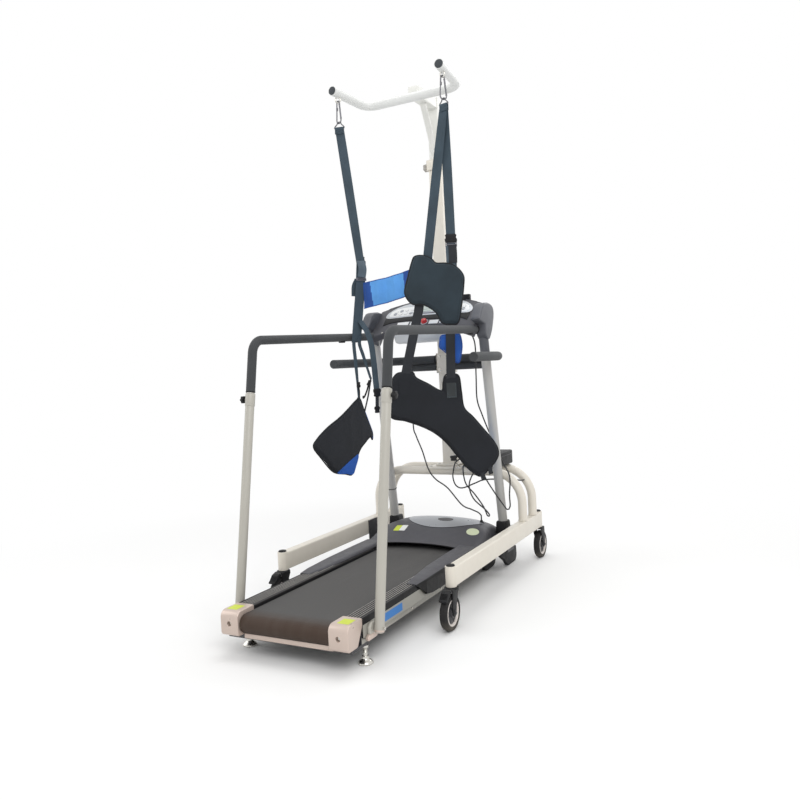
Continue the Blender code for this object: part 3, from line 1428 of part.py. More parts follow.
def brake_pedal(side, socket_y, towards, name):
    """The foot lever on a barrel at the crown's edge, over the back of the wheel."""
    x = side * leg_x
    hub_y = socket_y + towards * caster_trail
    barrel_at = crown_reach + 0.0008 + pedal_barrel
    clear = wheel_radius + 0.004

    def over_wheel(distance):
        return wheel_radius + math.sqrt(clear * clear - distance * distance)

    under = [barrel_at + 0.002, barrel_at + 0.014, barrel_at + 0.026]
    tip = pedal_reach - caster_trail
    outline = [(under[0], over_wheel(under[0]) + 0.001), (under[1], over_wheel(under[1]) + 0.002),
               (under[2], over_wheel(under[2]) + 0.003), (tip - 0.002, 0.111), (tip, 0.115), (tip - 0.003, 0.119),
               (under[1] + 0.002, pedal_axis_z + 0.0025), (under[0], pedal_axis_z + pedal_barrel)]
    outline = [(hub_y + towards * along, height) for along, height in outline]
    lever = prism(outline, pedal_width, plane_matrix((x, 0.0, 0.0), (0, 1, 0), (0, 0, 1)))
    barrel = cylinder(pedal_barrel, (x - pedal_width / 2, hub_y + towards * barrel_at, pedal_axis_z),
                      (x + pedal_width / 2, hub_y + towards * barrel_at, pedal_axis_z), 16)
    return settle(join(lever, barrel), name, black_plastic)


# Cables, along points chosen by hand

def cable(name, route):
    """A round cable whose ends run straight into what holds them."""
    path = [Vector(route[0])] + smooth_path(route[1:-1], 10.5 * cable_radius) + [Vector(route[-1])]
    return settle(tube(path, cable_radius, 2), name, cable_black)


def cables():
    box_glands = [(x, y - gland_length - seat_gap, gland_height()) for x, y in gland_places()]
    first, second, third = box_glands
    console_left, console_right = [(x, y, z - seat_gap) for x, y, z in console_glands()]
    hood_x, hood_y = hood_gland
    into_hood = (hood_x, hood_y, hood_top(hood_x, hood_y) + gland_length + seat_gap)
    above_hood = (hood_x, hood_y, into_hood[2] + 0.018)
    cable("cable_console_left", [
        console_left, (console_left[0], console_left[1], 1.026), (-0.112, 0.422, 0.850), (-0.120, 0.425, 0.650), (-0.108, 0.425, 0.597),
        (-0.083, 0.430, 0.528), (-0.057, 0.430, 0.446), (-0.024, 0.430, 0.401), (0.034, 0.430, 0.362),
        (0.100, 0.430, into_hood[2] + 0.062), (0.146, 0.430, into_hood[2] + 0.043),
        (0.178, 0.430, into_hood[2] + 0.030), above_hood, into_hood])
    cable("cable_box_loop", [
        first, (first[0], 0.458, first[2]), (0.109, 0.440, 0.444), (0.125, 0.428, 0.384), (0.165, 0.428, 0.338),
        (0.204, 0.428, 0.284), (0.222, 0.424, 0.246), (0.236, 0.412, 0.252), (0.222, 0.404, 0.276),
        (0.168, 0.402, 0.325), (0.150, 0.406, 0.385), (0.166, 0.436, 0.443), (second[0], 0.458, second[2]),
        second])
    plug_x, plug_y, plug_z = plug_face()
    onto_arch = (0.331, arch_front_y - arch_tube_radius - seat_gap, 0.378)
    cable("cable_arch", [
        (plug_x - seat_gap, plug_y, plug_z), (plug_x - 0.010, plug_y, plug_z), (0.057, 0.500, 0.476),
        (0.056, 0.475, 0.466), (0.055, 0.458, 0.440), (0.054, 0.450, 0.406), (0.068, 0.448, 0.371),
        (0.100, 0.447, 0.361), (0.158, 0.447, 0.383), (0.195, 0.450, 0.398), (0.228, 0.462, 0.401),
        (0.252, 0.486, 0.398), (0.282, 0.520, 0.396), (0.312, 0.556, 0.386), (0.328, 0.580, 0.380),
        (onto_arch[0], onto_arch[1] - 0.014, onto_arch[2]), onto_arch])
    cable("cable_console_right", [
        console_right, (console_right[0], console_right[1], 1.062), (0.200, 0.424, 1.000), (0.194, 0.436, 0.860), (0.192, 0.440, 0.757),
        (0.208, 0.448, 0.690), (0.233, 0.460, 0.610), (0.262, 0.4700, 0.530), (0.290, 0.468, 0.471),
        (0.318, 0.462, 0.415), (0.318, 0.450, 0.336), (0.322, 0.440, 0.288), (0.312, 0.431, 0.276),
        (0.294, 0.427, 0.300), (0.258, 0.424, 0.352), (0.220, 0.426, 0.412), (0.208, 0.440, 0.446),
        (third[0], 0.458, third[2]), third])


def build():
    treadmill_frame()
    deck_board()
    running_belt()
    roller("rear_roller", rear_roller_y, False)
    roller("front_roller", front_roller_y, True)
    drive_belt()
    motor_pulley()
    drive_motor()
    hood()
    front_stand()
    for side, word in ((-1, "left"), (1, "right")):
        foot_rail(side, f"foot_rail_{word}")
        end_cap(side, f"end_cap_{word}")
        levelling_foot(side, f"levelling_foot_{word}")
        post(side, f"post_{word}")
        handrail(side, f"handrail_{word}")
        post_knob(side, f"post_knob_{word}")
        upright(side, f"upright_{word}")
        upright_boot(side, f"upright_boot_{word}")
        frame_leg(side, f"frame_leg_{word}")
        snap_hook(side, f"snap_hook_{word}")
        for place, socket_y, towards in (("rear", rear_socket_y, -1), ("front", front_socket_y, 1)):
            caster_fork(side, socket_y, towards, f"caster_fork_{place}_{word}")
            caster_wheel(side, socket_y, towards, f"caster_wheel_{place}_{word}")
        brake_pedal(side, rear_socket_y, -1, f"brake_pedal_{word}")
    console_body()
    console_panel()
    stop_button()
    arch_frame()
    outer_column()
    lift_column()
    spreader_bar()
    handle_frame()
    column_knob()
    control_box()
    sling_left()
    sling_right()
    chest_pad()
    chest_band()
    hip_pad()
    thigh_pad()
    cables()


build()
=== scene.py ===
from math import asin, cos, exp, hypot, pi, radians, sin, sqrt, tau

import bmesh
import bpy
from mathutils import Matrix, Vector
from mathutils.bvhtree import BVHTree


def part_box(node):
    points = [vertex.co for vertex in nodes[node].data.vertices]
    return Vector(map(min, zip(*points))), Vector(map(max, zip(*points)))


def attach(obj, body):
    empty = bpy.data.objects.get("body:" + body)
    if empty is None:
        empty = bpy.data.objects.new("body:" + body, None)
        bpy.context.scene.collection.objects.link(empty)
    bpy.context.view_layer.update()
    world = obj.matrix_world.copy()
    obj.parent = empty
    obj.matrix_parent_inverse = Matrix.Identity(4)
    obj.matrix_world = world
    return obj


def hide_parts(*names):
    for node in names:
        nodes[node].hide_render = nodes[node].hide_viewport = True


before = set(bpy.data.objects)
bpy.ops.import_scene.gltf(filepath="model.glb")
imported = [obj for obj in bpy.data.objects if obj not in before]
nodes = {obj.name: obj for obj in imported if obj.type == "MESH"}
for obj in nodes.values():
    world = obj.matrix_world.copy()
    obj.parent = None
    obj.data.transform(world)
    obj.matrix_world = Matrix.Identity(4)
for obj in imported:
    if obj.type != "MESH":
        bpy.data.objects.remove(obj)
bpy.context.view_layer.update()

scene = bpy.context.scene
bothSides = ((-1, "left"), (1, "right"))
upward = Vector((0, 0, 1))

# ---- camera, floor and light

camera = {"place": (1.444, -2.648, 0.917), "yaw": 0.4866, "pitch": -0.0443, "roll": -0.0512, "lens": 34.1}
stage = {"floorHalf": 9.0, "floorColour": (0.93, 0.93, 0.925), "whiteFrom": 1.1, "whiteTo": 2.6, "worldLight": 0.62}
lamps = [("windowLamp", (2.6, -2.8, 3.2), 2.4, 70), ("fillLamp", (-3.4, -1.6, 2.6), 2.8, 34),
         ("topLamp", (0.2, 0.4, 4.4), 2.4, 46), ("backLamp", (0.8, 3.6, 2.8), 2.0, 26)]


def addObject(name, data):
    item = bpy.data.objects.new(name, data)
    scene.collection.objects.link(item)
    return item


def feed(tree, node, inputs):
    # inputs go from a socket's name or number to a value, or to the output that feeds it
    for socket, value in inputs.items():
        if isinstance(value, bpy.types.NodeSocket):
            tree.links.new(value, node.inputs[socket])
        else:
            node.inputs[socket].default_value = value


def addNode(tree, kind, inputs=None, **settings):
    node = tree.nodes.new(kind)
    for name, value in settings.items():
        setattr(node, name, value)
    feed(tree, node, inputs or {})
    return node


def calculate(tree, operation, *values):
    return addNode(tree, "ShaderNodeMath", dict(enumerate(values)), operation=operation).outputs[0]


def emptyTree(owner):
    owner.use_nodes = True
    owner.node_tree.nodes.clear()
    return owner.node_tree


def placeCamera():
    sinYaw, cosYaw, sinPitch, cosPitch, sinRoll, cosRoll = [
        part(camera[turn]) for turn in ("yaw", "pitch", "roll") for part in (sin, cos)]
    ahead = Vector((-sinYaw * cosPitch, cosYaw * cosPitch, sinPitch))
    level = Vector((cosYaw, sinYaw, 0.0))
    above = level.cross(ahead)
    turn = Matrix((level * cosRoll + above * sinRoll, above * cosRoll - level * sinRoll, -ahead)).transposed().to_4x4()
    turn.translation = Vector(camera["place"])
    data = bpy.data.cameras.new("photoCamera")
    data.lens, data.sensor_width, data.clip_start = camera["lens"], 36.0, 0.05
    scene.camera = addObject("photoCamera", data)
    scene.camera.matrix_world = turn
    scene.view_settings.view_transform = "Standard"


def layFloor():
    half = stage["floorHalf"]
    mesh = bpy.data.meshes.new("floor")
    mesh.from_pydata([(-half, -half, 0), (half, -half, 0), (half, half, 0), (-half, half, 0)], [], [(0, 1, 2, 3)])
    paint = bpy.data.materials.new("paleFloor")
    tree = emptyTree(paint)
    soft = addNode(tree, "ShaderNodeBsdfDiffuse", {"Color": (*stage["floorColour"], 1)})
    white = addNode(tree, "ShaderNodeEmission")
    away = addNode(tree, "ShaderNodeVectorMath", {0: addNode(tree, "ShaderNodeTexCoord").outputs["Object"]},
                   operation="LENGTH")
    share = addNode(tree, "ShaderNodeMapRange", {
        "Value": away.outputs["Value"], "From Min": stage["whiteFrom"], "From Max": stage["whiteTo"]},
        interpolation_type="SMOOTHSTEP")
    mix = addNode(tree, "ShaderNodeMixShader", {0: share.outputs["Result"], 1: soft.outputs[0], 2: white.outputs[0]})
    addNode(tree, "ShaderNodeOutputMaterial", {"Surface": mix.outputs[0]})
    mesh.materials.append(paint)
    addObject("floor", mesh)


def lightStudio():
    # the world lights the object softly, and is white where the camera, gloss or glass sees it
    scene.world = bpy.data.worlds.new("studio")
    tree = emptyTree(scene.world)
    dim = addNode(tree, "ShaderNodeBackground", {"Color": (1, 1, 1, 1), "Strength": stage["worldLight"]})
    bright = addNode(tree, "ShaderNodeBackground", {"Color": (1, 1, 1, 1)})
    rays = addNode(tree, "ShaderNodeLightPath").outputs
    seen = calculate(tree, "MAXIMUM", rays["Is Camera Ray"], rays["Is Glossy Ray"])
    seen = calculate(tree, "MAXIMUM", seen, rays["Is Transmission Ray"])
    mix = addNode(tree, "ShaderNodeMixShader", {0: seen, 1: dim.outputs[0], 2: bright.outputs[0]})
    addNode(tree, "ShaderNodeOutputWorld", {"Surface": mix.outputs[0]})
    for name, spot, size, power in lamps:
        data = bpy.data.lights.new(name, "AREA")
        data.size, data.energy = size, power
        lamp = addObject(name, data)
        lamp.location = spot
        lamp.rotation_mode = "QUATERNION"
        lamp.rotation_quaternion = (Vector((0, 0, 0.9)) - Vector(spot)).to_track_quat("-Z", "Y")


placeCamera()
layFloor()
lightStudio()
print("camera, floor and lamps are set")

# ---- materials, on Object coordinates unless a pattern follows a strip's own map


def tone(red, green, blue):
    # a colour as a screen shows it, 0 to 255, made linear
    return tuple(((c / 255 + 0.055) / 1.055) ** 2.4 if c > 10 else c / 255 / 12.92 for c in (red, green, blue))


def scaled(colour, factor):
    return tuple(min(c * factor, 1.0) for c in colour)


def startMaterial(name, colour, roughness, metallic=0.0, **extra):
    material = bpy.data.materials.new(name)
    material.use_nodes = True
    tree = material.node_tree
    shader = tree.nodes["Principled BSDF"]
    feed(tree, shader, {"Base Color": (*colour, 1), "Roughness": roughness, "Metallic": metallic})
    feed(tree, shader, {socket.replace("_", " "): value for socket, value in extra.items()})
    return material, tree, shader, addNode(tree, "ShaderNodeTexCoord").outputs["Object"]


def noiseField(tree, vector, scale, detail, rough=0.55):
    return addNode(tree, "ShaderNodeTexNoise", {
        "Vector": vector, "Scale": scale, "Detail": detail, "Roughness": rough}).outputs["Fac"]


def spread(tree, value, low, high, fromLow=0.3, fromHigh=0.7):
    return addNode(tree, "ShaderNodeMapRange", {
        "Value": value, "From Min": fromLow, "From Max": fromHigh, "To Min": low, "To Max": high}).outputs["Result"]


def blendColour(tree, share, first, second):
    first, second = [(*colour, 1) if isinstance(colour, tuple) else colour for colour in (first, second)]
    return addNode(tree, "ShaderNodeMix", {"Factor": share, "A": first, "B": second},
                   data_type="RGBA").outputs["Result"]


def addBump(tree, shader, height, strength, distance, before=None):
    bump = addNode(tree, "ShaderNodeBump", {"Height": height, "Strength": strength, "Distance": distance})
    if before is not None:
        feed(tree, bump, {"Normal": before})
    feed(tree, shader, {"Normal": bump.outputs["Normal"]})
    return bump.outputs["Normal"]


def splitAxes(tree, vector):
    return addNode(tree, "ShaderNodeSeparateXYZ", {0: vector}).outputs


def paintLike(name, colour, roughness, cloud, cloudScale, grainScale, grain, grainDepth, roughSwing=0.06, metallic=0.0,
              dust=None, **extra):
    # paint or moulded plastic: cloudy tone, uneven gloss, fine grain, and dust that gathers low down
    colour = tone(*colour)
    material, tree, shader, place = startMaterial(name, colour, roughness, metallic, **extra)
    cloudy = noiseField(tree, place, cloudScale, 4)
    shown = blendColour(tree, spread(tree, cloudy, 0, 1), scaled(colour, 1 - cloud), scaled(colour, 1 + cloud))
    if dust:
        low = spread(tree, splitAxes(tree, place)["Z"], dust["most"], 0.0, dust["from"], dust["to"])
        patch = calculate(tree, "MULTIPLY", low, spread(tree, noiseField(tree, place, 26, 5), 0.2, 1.0))
        shown = blendColour(tree, patch, shown, tone(*dust["colour"]))
    uneven = noiseField(tree, place, cloudScale * 4.5, 5)
    feed(tree, shader, {"Base Color": shown,
                        "Roughness": spread(tree, uneven, roughness - roughSwing, roughness + roughSwing)})
    addBump(tree, shader, noiseField(tree, place, grainScale, 2), grain, grainDepth)
    return material


# how a coat varies: cloud, cloud scale, grain scale, grain, grain depth
thinEnamel = (0.018, 5, 420, 0.1, 0.0003)
enamel = (0.02, 6, 420, 0.1, 0.0003)
metalGrain = (0.05, 40, 700, 0.1, 0.0001)
printedFilm = (0.03, 30, 1500, 0.08, 0.0001)
floorDust = {"most": 0.25, "from": 0.0, "to": 0.07, "colour": (150, 140, 125)}
creamPaint = paintLike("creamPaint", (225, 219, 207), 0.34, *thinEnamel,
                       dust={"most": 0.22, "from": 0.05, "to": 0.30, "colour": (176, 164, 146)})
mastPaint = paintLike("mastPaint", (226, 226, 221), 0.34, *thinEnamel)
warmGreyPaint = paintLike("warmGreyPaint", (180, 177, 168), 0.36, *enamel)
lightGreyPaint = paintLike("lightGreyPaint", (177, 176, 173), 0.34, *enamel)
spreaderPaint = paintLike("spreaderPaint", (220, 221, 219), 0.36, *enamel)
darkSteelPaint = paintLike("darkSteelPaint", (58, 58, 61), 0.42, 0.10, 9, 380, 0.12, 0.0003)
blackPlastic = paintLike("blackPlastic", (22, 22, 24), 0.52, 0.12, 12, 1500, 0.25, 0.0003, Specular_IOR_Level=0.28)
hoodPlastic = paintLike("hoodPlastic", (74, 74, 79), 0.46, 0.05, 8, 1700, 0.30, 0.0003, Specular_IOR_Level=0.38)
hornPlastic = paintLike("hornPlastic", (84, 86, 92), 0.42, 0.05, 8, 1700, 0.28, 0.0003)
railPlastic = paintLike("railPlastic", (52, 51, 51), 0.52, 0.06, 10, 1300, 0.30, 0.0003, Specular_IOR_Level=0.35)
railCrown = paintLike("railCrown", (172, 168, 162), 0.42, 0.05, 10, 900, 0.2, 0.0002)
railSilver = paintLike("railSilver", (160, 158, 150), 0.36, 0.04, 9, 900, 0.12, 0.0002, metallic=0.10)
capSilver = paintLike("capSilver", (203, 186, 175), 0.33, 0.03, 9, 900, 0.14, 0.0002, metallic=0.35)
insetSilver = paintLike("insetSilver", (160, 163, 168), 0.32, 0.03, 9, 1200, 0.12, 0.0002, metallic=0.30)
consoleSilver = paintLike("consoleSilver", (198, 201, 204), 0.33, 0.02, 9, 1200, 0.10, 0.0002, metallic=0.25)
hookSteel = paintLike("hookSteel", (112, 112, 116), 0.42, *metalGrain, 0.10, 0.5)
brightZinc = paintLike("brightZinc", (206, 204, 198), 0.24, *metalGrain, 0.10, 1.0)
plugGrey = paintLike("plugGrey", (62, 66, 70), 0.55, 0.08, 14, 1500, 0.2, 0.0002, Specular_IOR_Level=0.25)
whiteKeys = paintLike("whiteKeys", (236, 236, 234), 0.38, 0.01, 12, 1500, 0.10, 0.0002)
stopRed = paintLike("stopRed", (204, 28, 30), 0.30, 0.04, 12, 1500, 0.10, 0.0002, Coat_Weight=0.35)
labelLime = paintLike("labelLime", (203, 217, 62), 0.42, *printedFilm)
labelPale = paintLike("labelPale", (212, 220, 186), 0.42, *printedFilm)
labelBlue = paintLike("labelBlue", (58, 122, 190), 0.42, *printedFilm)
rimPlastic = paintLike("rimPlastic", (222, 214, 208), 0.40, 0.03, 14, 1500, 0.15, 0.0002, dust=floorDust)
greyNylon = paintLike("greyNylon", (118, 116, 124), 0.5, 0.06, 20, 1500, 0.2, 0.0002)
screenField = paintLike("screenField", (196, 206, 196), 0.30, 0.02, 12, 1500, 0.0, 0.0001)
screenGlass = paintLike("screenGlass", (164, 176, 170), 0.10, 0.02, 12, 1500, 0.0, 0.0001, Coat_Weight=1.0)
tyreRubber = paintLike("tyreRubber", (22, 20, 20), 0.78, 0.10, 30, 900, 0.25, 0.0003,
                       dust={**floorDust, "most": 0.35, "to": 0.05})
cableBlack = paintLike("cableBlack", (30, 30, 32), 0.48, 0.10, 40, 900, 0.10, 0.0002)
boardLaminate = paintLike("boardLaminate", (104, 84, 62), 0.45, 0.12, 30, 500, 0.10, 0.0003)


def makeFoam(name, colour):
    # closed-cell foam grip: pores, slight bloom where hands rub
    material, tree, shader, place = startMaterial(name, colour, 0.86, Sheen_Weight=0.10, Sheen_Roughness=0.5,
                                                  Specular_IOR_Level=0.25)
    rubbed = noiseField(tree, place, 6, 5)
    shown = blendColour(tree, spread(tree, rubbed, 0, 1), scaled(colour, 0.85), scaled(colour, 1.22))
    feed(tree, shader, {"Base Color": shown, "Roughness": spread(tree, rubbed, 0.68, 0.90)})
    pores = addNode(tree, "ShaderNodeTexVoronoi", {"Vector": place, "Scale": 620})
    addBump(tree, shader, pores.outputs["Distance"], 0.35, 0.0006)
    return material


def makeBelt(name, colour):
    # the treadmill belt: a fine woven diamond face, worn lighter along the walking line
    material, tree, shader, place = startMaterial(name, colour, 0.74)
    heights = []
    for turn in (radians(45), radians(-45)):
        turned = addNode(tree, "ShaderNodeMapping", {"Vector": place, "Rotation": (0, 0, turn)})
        heights.append(addNode(tree, "ShaderNodeTexWave", {"Vector": turned.outputs[0], "Scale": 95}).outputs["Fac"])
    lattice = calculate(tree, "MULTIPLY", *heights)
    stretch = addNode(tree, "ShaderNodeMapping", {"Vector": place, "Scale": (16, 2.0, 1)})
    streak = noiseField(tree, stretch.outputs[0], 1.4, 5, 0.6)
    shown = blendColour(tree, spread(tree, streak, 0, 1, 0.35, 0.7), scaled(colour, 0.80), scaled(colour, 1.35))
    shown = blendColour(tree, spread(tree, lattice, 0, 0.35, 0, 1), shown, scaled(colour, 1.6))
    # painted shade, tinted by a painted reflection of the floor's colour, makes the turn over the rear roller darker
    # and browner
    paintedRollShade = spread(tree, splitAxes(tree, place)["Y"], 1.0, 0.0, -0.770, -0.700)
    feed(tree, shader, {"Base Color": blendColour(tree, paintedRollShade, shown, tone(58, 42, 31)),
                        "Roughness": spread(tree, streak, 0.62, 0.84)})
    addBump(tree, shader, lattice, 0.5, 0.0006)
    return material


def makeCloth(name, colour, threads, sheen, warm=1.25, roughness=0.88, fuzz=0.4):
    # knitted or woven cover cloth on Object coordinates: crossing threads on all three planes
    colour = tone(*colour)
    material, tree, shader, place = startMaterial(name, colour, roughness, Sheen_Weight=sheen, Sheen_Roughness=0.45)
    axes = splitAxes(tree, place)
    waves = [calculate(tree, "SINE", calculate(tree, "MULTIPLY", source, threads))
             for source in (calculate(tree, "ADD", axes["X"], axes["Y"]), axes["Z"])]
    cloudy = noiseField(tree, place, 9, 5)
    shown = blendColour(tree, spread(tree, cloudy, 0, 1), scaled(colour, 0.82), scaled(colour, warm))
    lint = spread(tree, noiseField(tree, place, 520, 2), 0, fuzz, 0.62, 0.80)
    feed(tree, shader, {"Base Color": blendColour(tree, lint, shown, scaled(colour, 2.4)),
                        "Sheen Tint": (*scaled(colour, 3.0), 1)})
    first = addBump(tree, shader, calculate(tree, "MULTIPLY", *waves), 0.35, 0.0004)
    addBump(tree, shader, noiseField(tree, place, 60, 4), 0.25, 0.0016, first)
    return material


def makeWebbing(name, colour):
    # woven strap on its own map: x across in metres, y along in metres, in small herringbone ribs
    colour = tone(*colour)
    material, tree, shader, place = startMaterial(name, colour, 0.78, Sheen_Weight=0.3, Sheen_Roughness=0.4)
    strip = splitAxes(tree, addNode(tree, "ShaderNodeUVMap", uv_map="strip").outputs["UV"])
    fold = calculate(tree, "PINGPONG", strip["X"], 0.0048)
    slant = calculate(tree, "MULTIPLY_ADD", fold, 0.9, strip["Y"])
    rib = calculate(tree, "SINE", calculate(tree, "MULTIPLY", slant, tau / 0.0021))
    cloudy = noiseField(tree, place, 14, 4)
    shown = blendColour(tree, spread(tree, cloudy, 0, 1), scaled(colour, 0.80), scaled(colour, 1.25))
    feed(tree, shader, {"Base Color": blendColour(tree, spread(tree, rib, 0, 0.30, -1, 1), shown, scaled(colour, 1.9)),
                        "Sheen Tint": (*scaled(colour, 2.6), 1)})
    addBump(tree, shader, rib, 0.40, 0.0004)
    return material


gripFoam = makeFoam("gripFoam", tone(64, 66, 68))
beltRubber = makeBelt("beltRubber", tone(69, 68, 67))
padSlate = makeCloth("padSlate", (36, 48, 56), 2600, 0.22)
padBlack = makeCloth("padBlack", (22, 25, 31), 2600, 0.15)
liningBlue = makeCloth("liningBlue", (64, 138, 222), 1500, 0.55, 1.12, 0.9, 0.25)
liningBand = makeCloth("liningBand", (92, 156, 224), 1500, 0.45, 1.12, 0.9, 0.25)
liningRoyal = makeCloth("liningRoyal", (34, 84, 168), 1500, 0.45, 1.12, 0.9, 0.2)
liningNavy = makeCloth("liningNavy", (40, 78, 150), 1800, 0.35, 1.12, 0.9, 0.2)
patchCloth = makeCloth("patchCloth", (50, 54, 56), 2600, 0.30)
bindingBlack = makeCloth("bindingBlack", (24, 26, 29), 3600, 0.20)
threadBlue = makeCloth("threadBlue", (96, 116, 128), 5200, 0.1)
threadDark = makeCloth("threadDark", (16, 17, 19), 5200, 0.1)
strapSlate = makeWebbing("strapSlate", (50, 64, 74))
strapGrey = makeWebbing("strapGrey", (74, 86, 96))
strapBlack = makeWebbing("strapBlack", (30, 33, 38))
print("materials are ready")

# ---- mesh and node-tree helpers


def newPiece(name, mesh, body=None, material=None):
    piece = addObject(name, mesh)
    if material is not None:
        mesh.materials.clear()
        mesh.materials.append(material)
    if body:
        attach(piece, body)
    return piece


def shadeRound(mesh, angle):
    mesh.shade_smooth()
    mesh.set_sharp_from_angle(angle=radians(angle))


def meshOf(name, points, faces, smooth=0):
    mesh = bpy.data.meshes.new(name)
    mesh.from_pydata([tuple(p) for p in points], [], faces)
    mesh.update()
    if smooth:
        shadeRound(mesh, smooth)
    return mesh


def bmeshMesh(name, bm, smooth=40):
    mesh = bpy.data.meshes.new(name)
    bm.to_mesh(mesh)
    bm.free()
    if smooth:
        shadeRound(mesh, smooth)
    return mesh


def evaluatedMesh(piece):
    graph = bpy.context.evaluated_depsgraph_get()
    graph.update()
    return bpy.data.meshes.new_from_object(piece.evaluated_get(graph), preserve_all_data_layers=True, depsgraph=graph)


def takeMesh(piece):
    # the piece's mesh with its modifiers applied; the piece itself goes
    mesh = evaluatedMesh(piece)
    bpy.data.objects.remove(piece)
    return mesh


def gather(name, pieces, body, smooth=40):
    # several pieces made one mesh, with their modifiers applied and their materials kept
    bm = bmesh.new()
    materials = []
    for piece in pieces:
        mesh = evaluatedMesh(piece)
        mesh.transform(piece.matrix_world)
        places = []
        for material in mesh.materials:
            if material not in materials:
                materials.append(material)
            places.append(materials.index(material))
        for face in mesh.polygons:
            face.material_index = places[face.material_index] if places else 0
        bm.from_mesh(mesh)
        bpy.data.meshes.remove(mesh)
        bpy.data.objects.remove(piece)
    mesh = bmeshMesh(name, bm, smooth)
    for material in materials:
        mesh.materials.append(material)
    return newPiece(name, mesh, body)


def standFor(name, pieces, body, node, smooth=40):
    # the gathered pieces take the place of the CAD node
    piece = gather(name, pieces, body, smooth)
    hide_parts(node)
    return piece


def softenEdges(piece, width, segments, angle=35):
    edge = piece.modifiers.new("softEdge", "BEVEL")
    edge.width, edge.segments = width, segments
    edge.limit_method, edge.angle_limit = "ANGLE", radians(angle)
    edge.harden_normals = False
    return piece


def thicken(piece, thickness, offset=-1.0):
    wall = piece.modifiers.new("wall", "SOLIDIFY")
    wall.thickness, wall.offset = thickness, offset
    return piece


def subdivide(piece):
    fine = piece.modifiers.new("fine", "SUBSURF")
    fine.levels = fine.render_levels = 1
    return piece


def outwardFaces(mesh):
    bm = bmesh.new()
    bm.from_mesh(mesh)
    bmesh.ops.recalc_face_normals(bm, faces=bm.faces)
    bm.to_mesh(mesh)
    bm.free()


def cutWith(piece, tool, smooth=40):
    # the tool's form taken out of the piece, which keeps its own material
    cut = piece.modifiers.new("cut", "BOOLEAN")
    cut.object, cut.operation, cut.solver = tool, "DIFFERENCE", "EXACT"
    material = piece.data.materials[0]
    mesh = takeMesh(piece)
    bpy.data.objects.remove(tool)
    shadeRound(mesh, smooth)
    cutPiece = newPiece("cutPiece", mesh, None, material)
    for polygon in mesh.polygons:
        polygon.material_index = 0
    return cutPiece


def unit(vector):
    return Vector(vector).normalized()


def planeMatrix(origin, across, along):
    across, along = unit(across), unit(along)
    turn = Matrix((across, along, across.cross(along))).transposed().to_4x4()
    turn.translation = Vector(origin)
    return turn


def sidePlane(x, y=0.0, z=0.0):
    # a plane across the machine: its own x runs forwards and its y up
    return planeMatrix((x, y, z), (0, 1, 0), upward)


def alongAxis(axis, centre):
    turn = Vector(axis).to_track_quat("Z", "Y").to_matrix().to_4x4()
    turn.translation = Vector(centre)
    return turn


def roundPoints(radius, steps, swing=0.0, lobes=0):
    # a circle about the origin, or a knob's lobed outline
    turns = [tau * step / steps for step in range(steps)]
    return [((radius + swing * cos(lobes * turn)) * cos(turn), (radius + swing * cos(lobes * turn)) * sin(turn))
            for turn in turns]


def boxPiece(name, low, high, material, edge=0.0, segments=3):
    bm = bmesh.new()
    bmesh.ops.create_cube(bm, size=1.0)
    low, high = Vector(low), Vector(high)
    bmesh.ops.scale(bm, vec=high - low, verts=bm.verts)
    bmesh.ops.translate(bm, vec=(low + high) / 2, verts=bm.verts)
    piece = newPiece(name, bmeshMesh(name, bm), None, material)
    return softenEdges(piece, edge, segments) if edge else piece


def rodPiece(name, radius, start, end, material, steps, edge=0.0):
    start, end = Vector(start), Vector(end)
    bm = bmesh.new()
    bmesh.ops.create_cone(bm, cap_ends=True, segments=steps, radius1=radius, radius2=radius, depth=(end - start).length)
    bmesh.ops.transform(bm, matrix=alongAxis(end - start, (start + end) / 2), verts=bm.verts)
    piece = newPiece(name, bmeshMesh(name, bm), None, material)
    return softenEdges(piece, edge, 3, 50) if edge else piece


def loftPiece(name, rings, material, smooth=40):
    # a closed solid through rings that have the same number of points
    bm = bmesh.new()
    loops = [[bm.verts.new(point) for point in ring] for ring in rings]
    count = len(loops[0])
    for near, far in zip(loops, loops[1:]):
        for step in range(count):
            after = (step + 1) % count
            bm.faces.new((near[step], near[after], far[after], far[step]))
    bm.faces.new(list(reversed(loops[0])))
    bm.faces.new(loops[-1])
    bmesh.ops.recalc_face_normals(bm, faces=bm.faces)
    return newPiece(name, bmeshMesh(name, bm, smooth), None, material)


def prismPiece(name, outline, thickness, matrix, material, edge=0.0, segments=3, angle=35):
    # a flat outline with a thickness, laid in the plane of a matrix
    rings = [[matrix @ Vector((x, y, z)) for x, y in outline] for z in (-thickness / 2, thickness / 2)]
    piece = loftPiece(name, rings, material)
    return softenEdges(piece, edge, segments, angle) if edge else piece


def turnedPiece(name, profile, centre, axis, material, steps):
    # a closed profile of (radius, height) spun about an axis
    bm = bmesh.new()
    rings = [[bm.verts.new((x, y, height)) for x, y in (roundPoints(radius, steps) if radius > 1e-6 else [(0, 0)])]
             for radius, height in profile]
    ends = rings[1:] + ([rings[0]] if profile[0][0] > 1e-6 else [])
    for near, far in zip(rings, ends):
        for s in range(steps):
            after = (s + 1) % steps
            if len(near) == 1:
                bm.faces.new((near[0], far[s], far[after]))
            elif len(far) == 1:
                bm.faces.new((near[s], near[after], far[0]))
            else:
                bm.faces.new((near[s], near[after], far[after], far[s]))
    bmesh.ops.recalc_face_normals(bm, faces=bm.faces)
    bmesh.ops.transform(bm, matrix=alongAxis(axis, centre), verts=bm.verts)
    return newPiece(name, bmeshMesh(name, bm, 35), None, material)


def gridFaces(rows, columns):
    return [(a, a + 1, a + columns + 2, a + columns + 1) for row in range(rows)
            for a in range(row * (columns + 1), row * (columns + 1) + columns)]


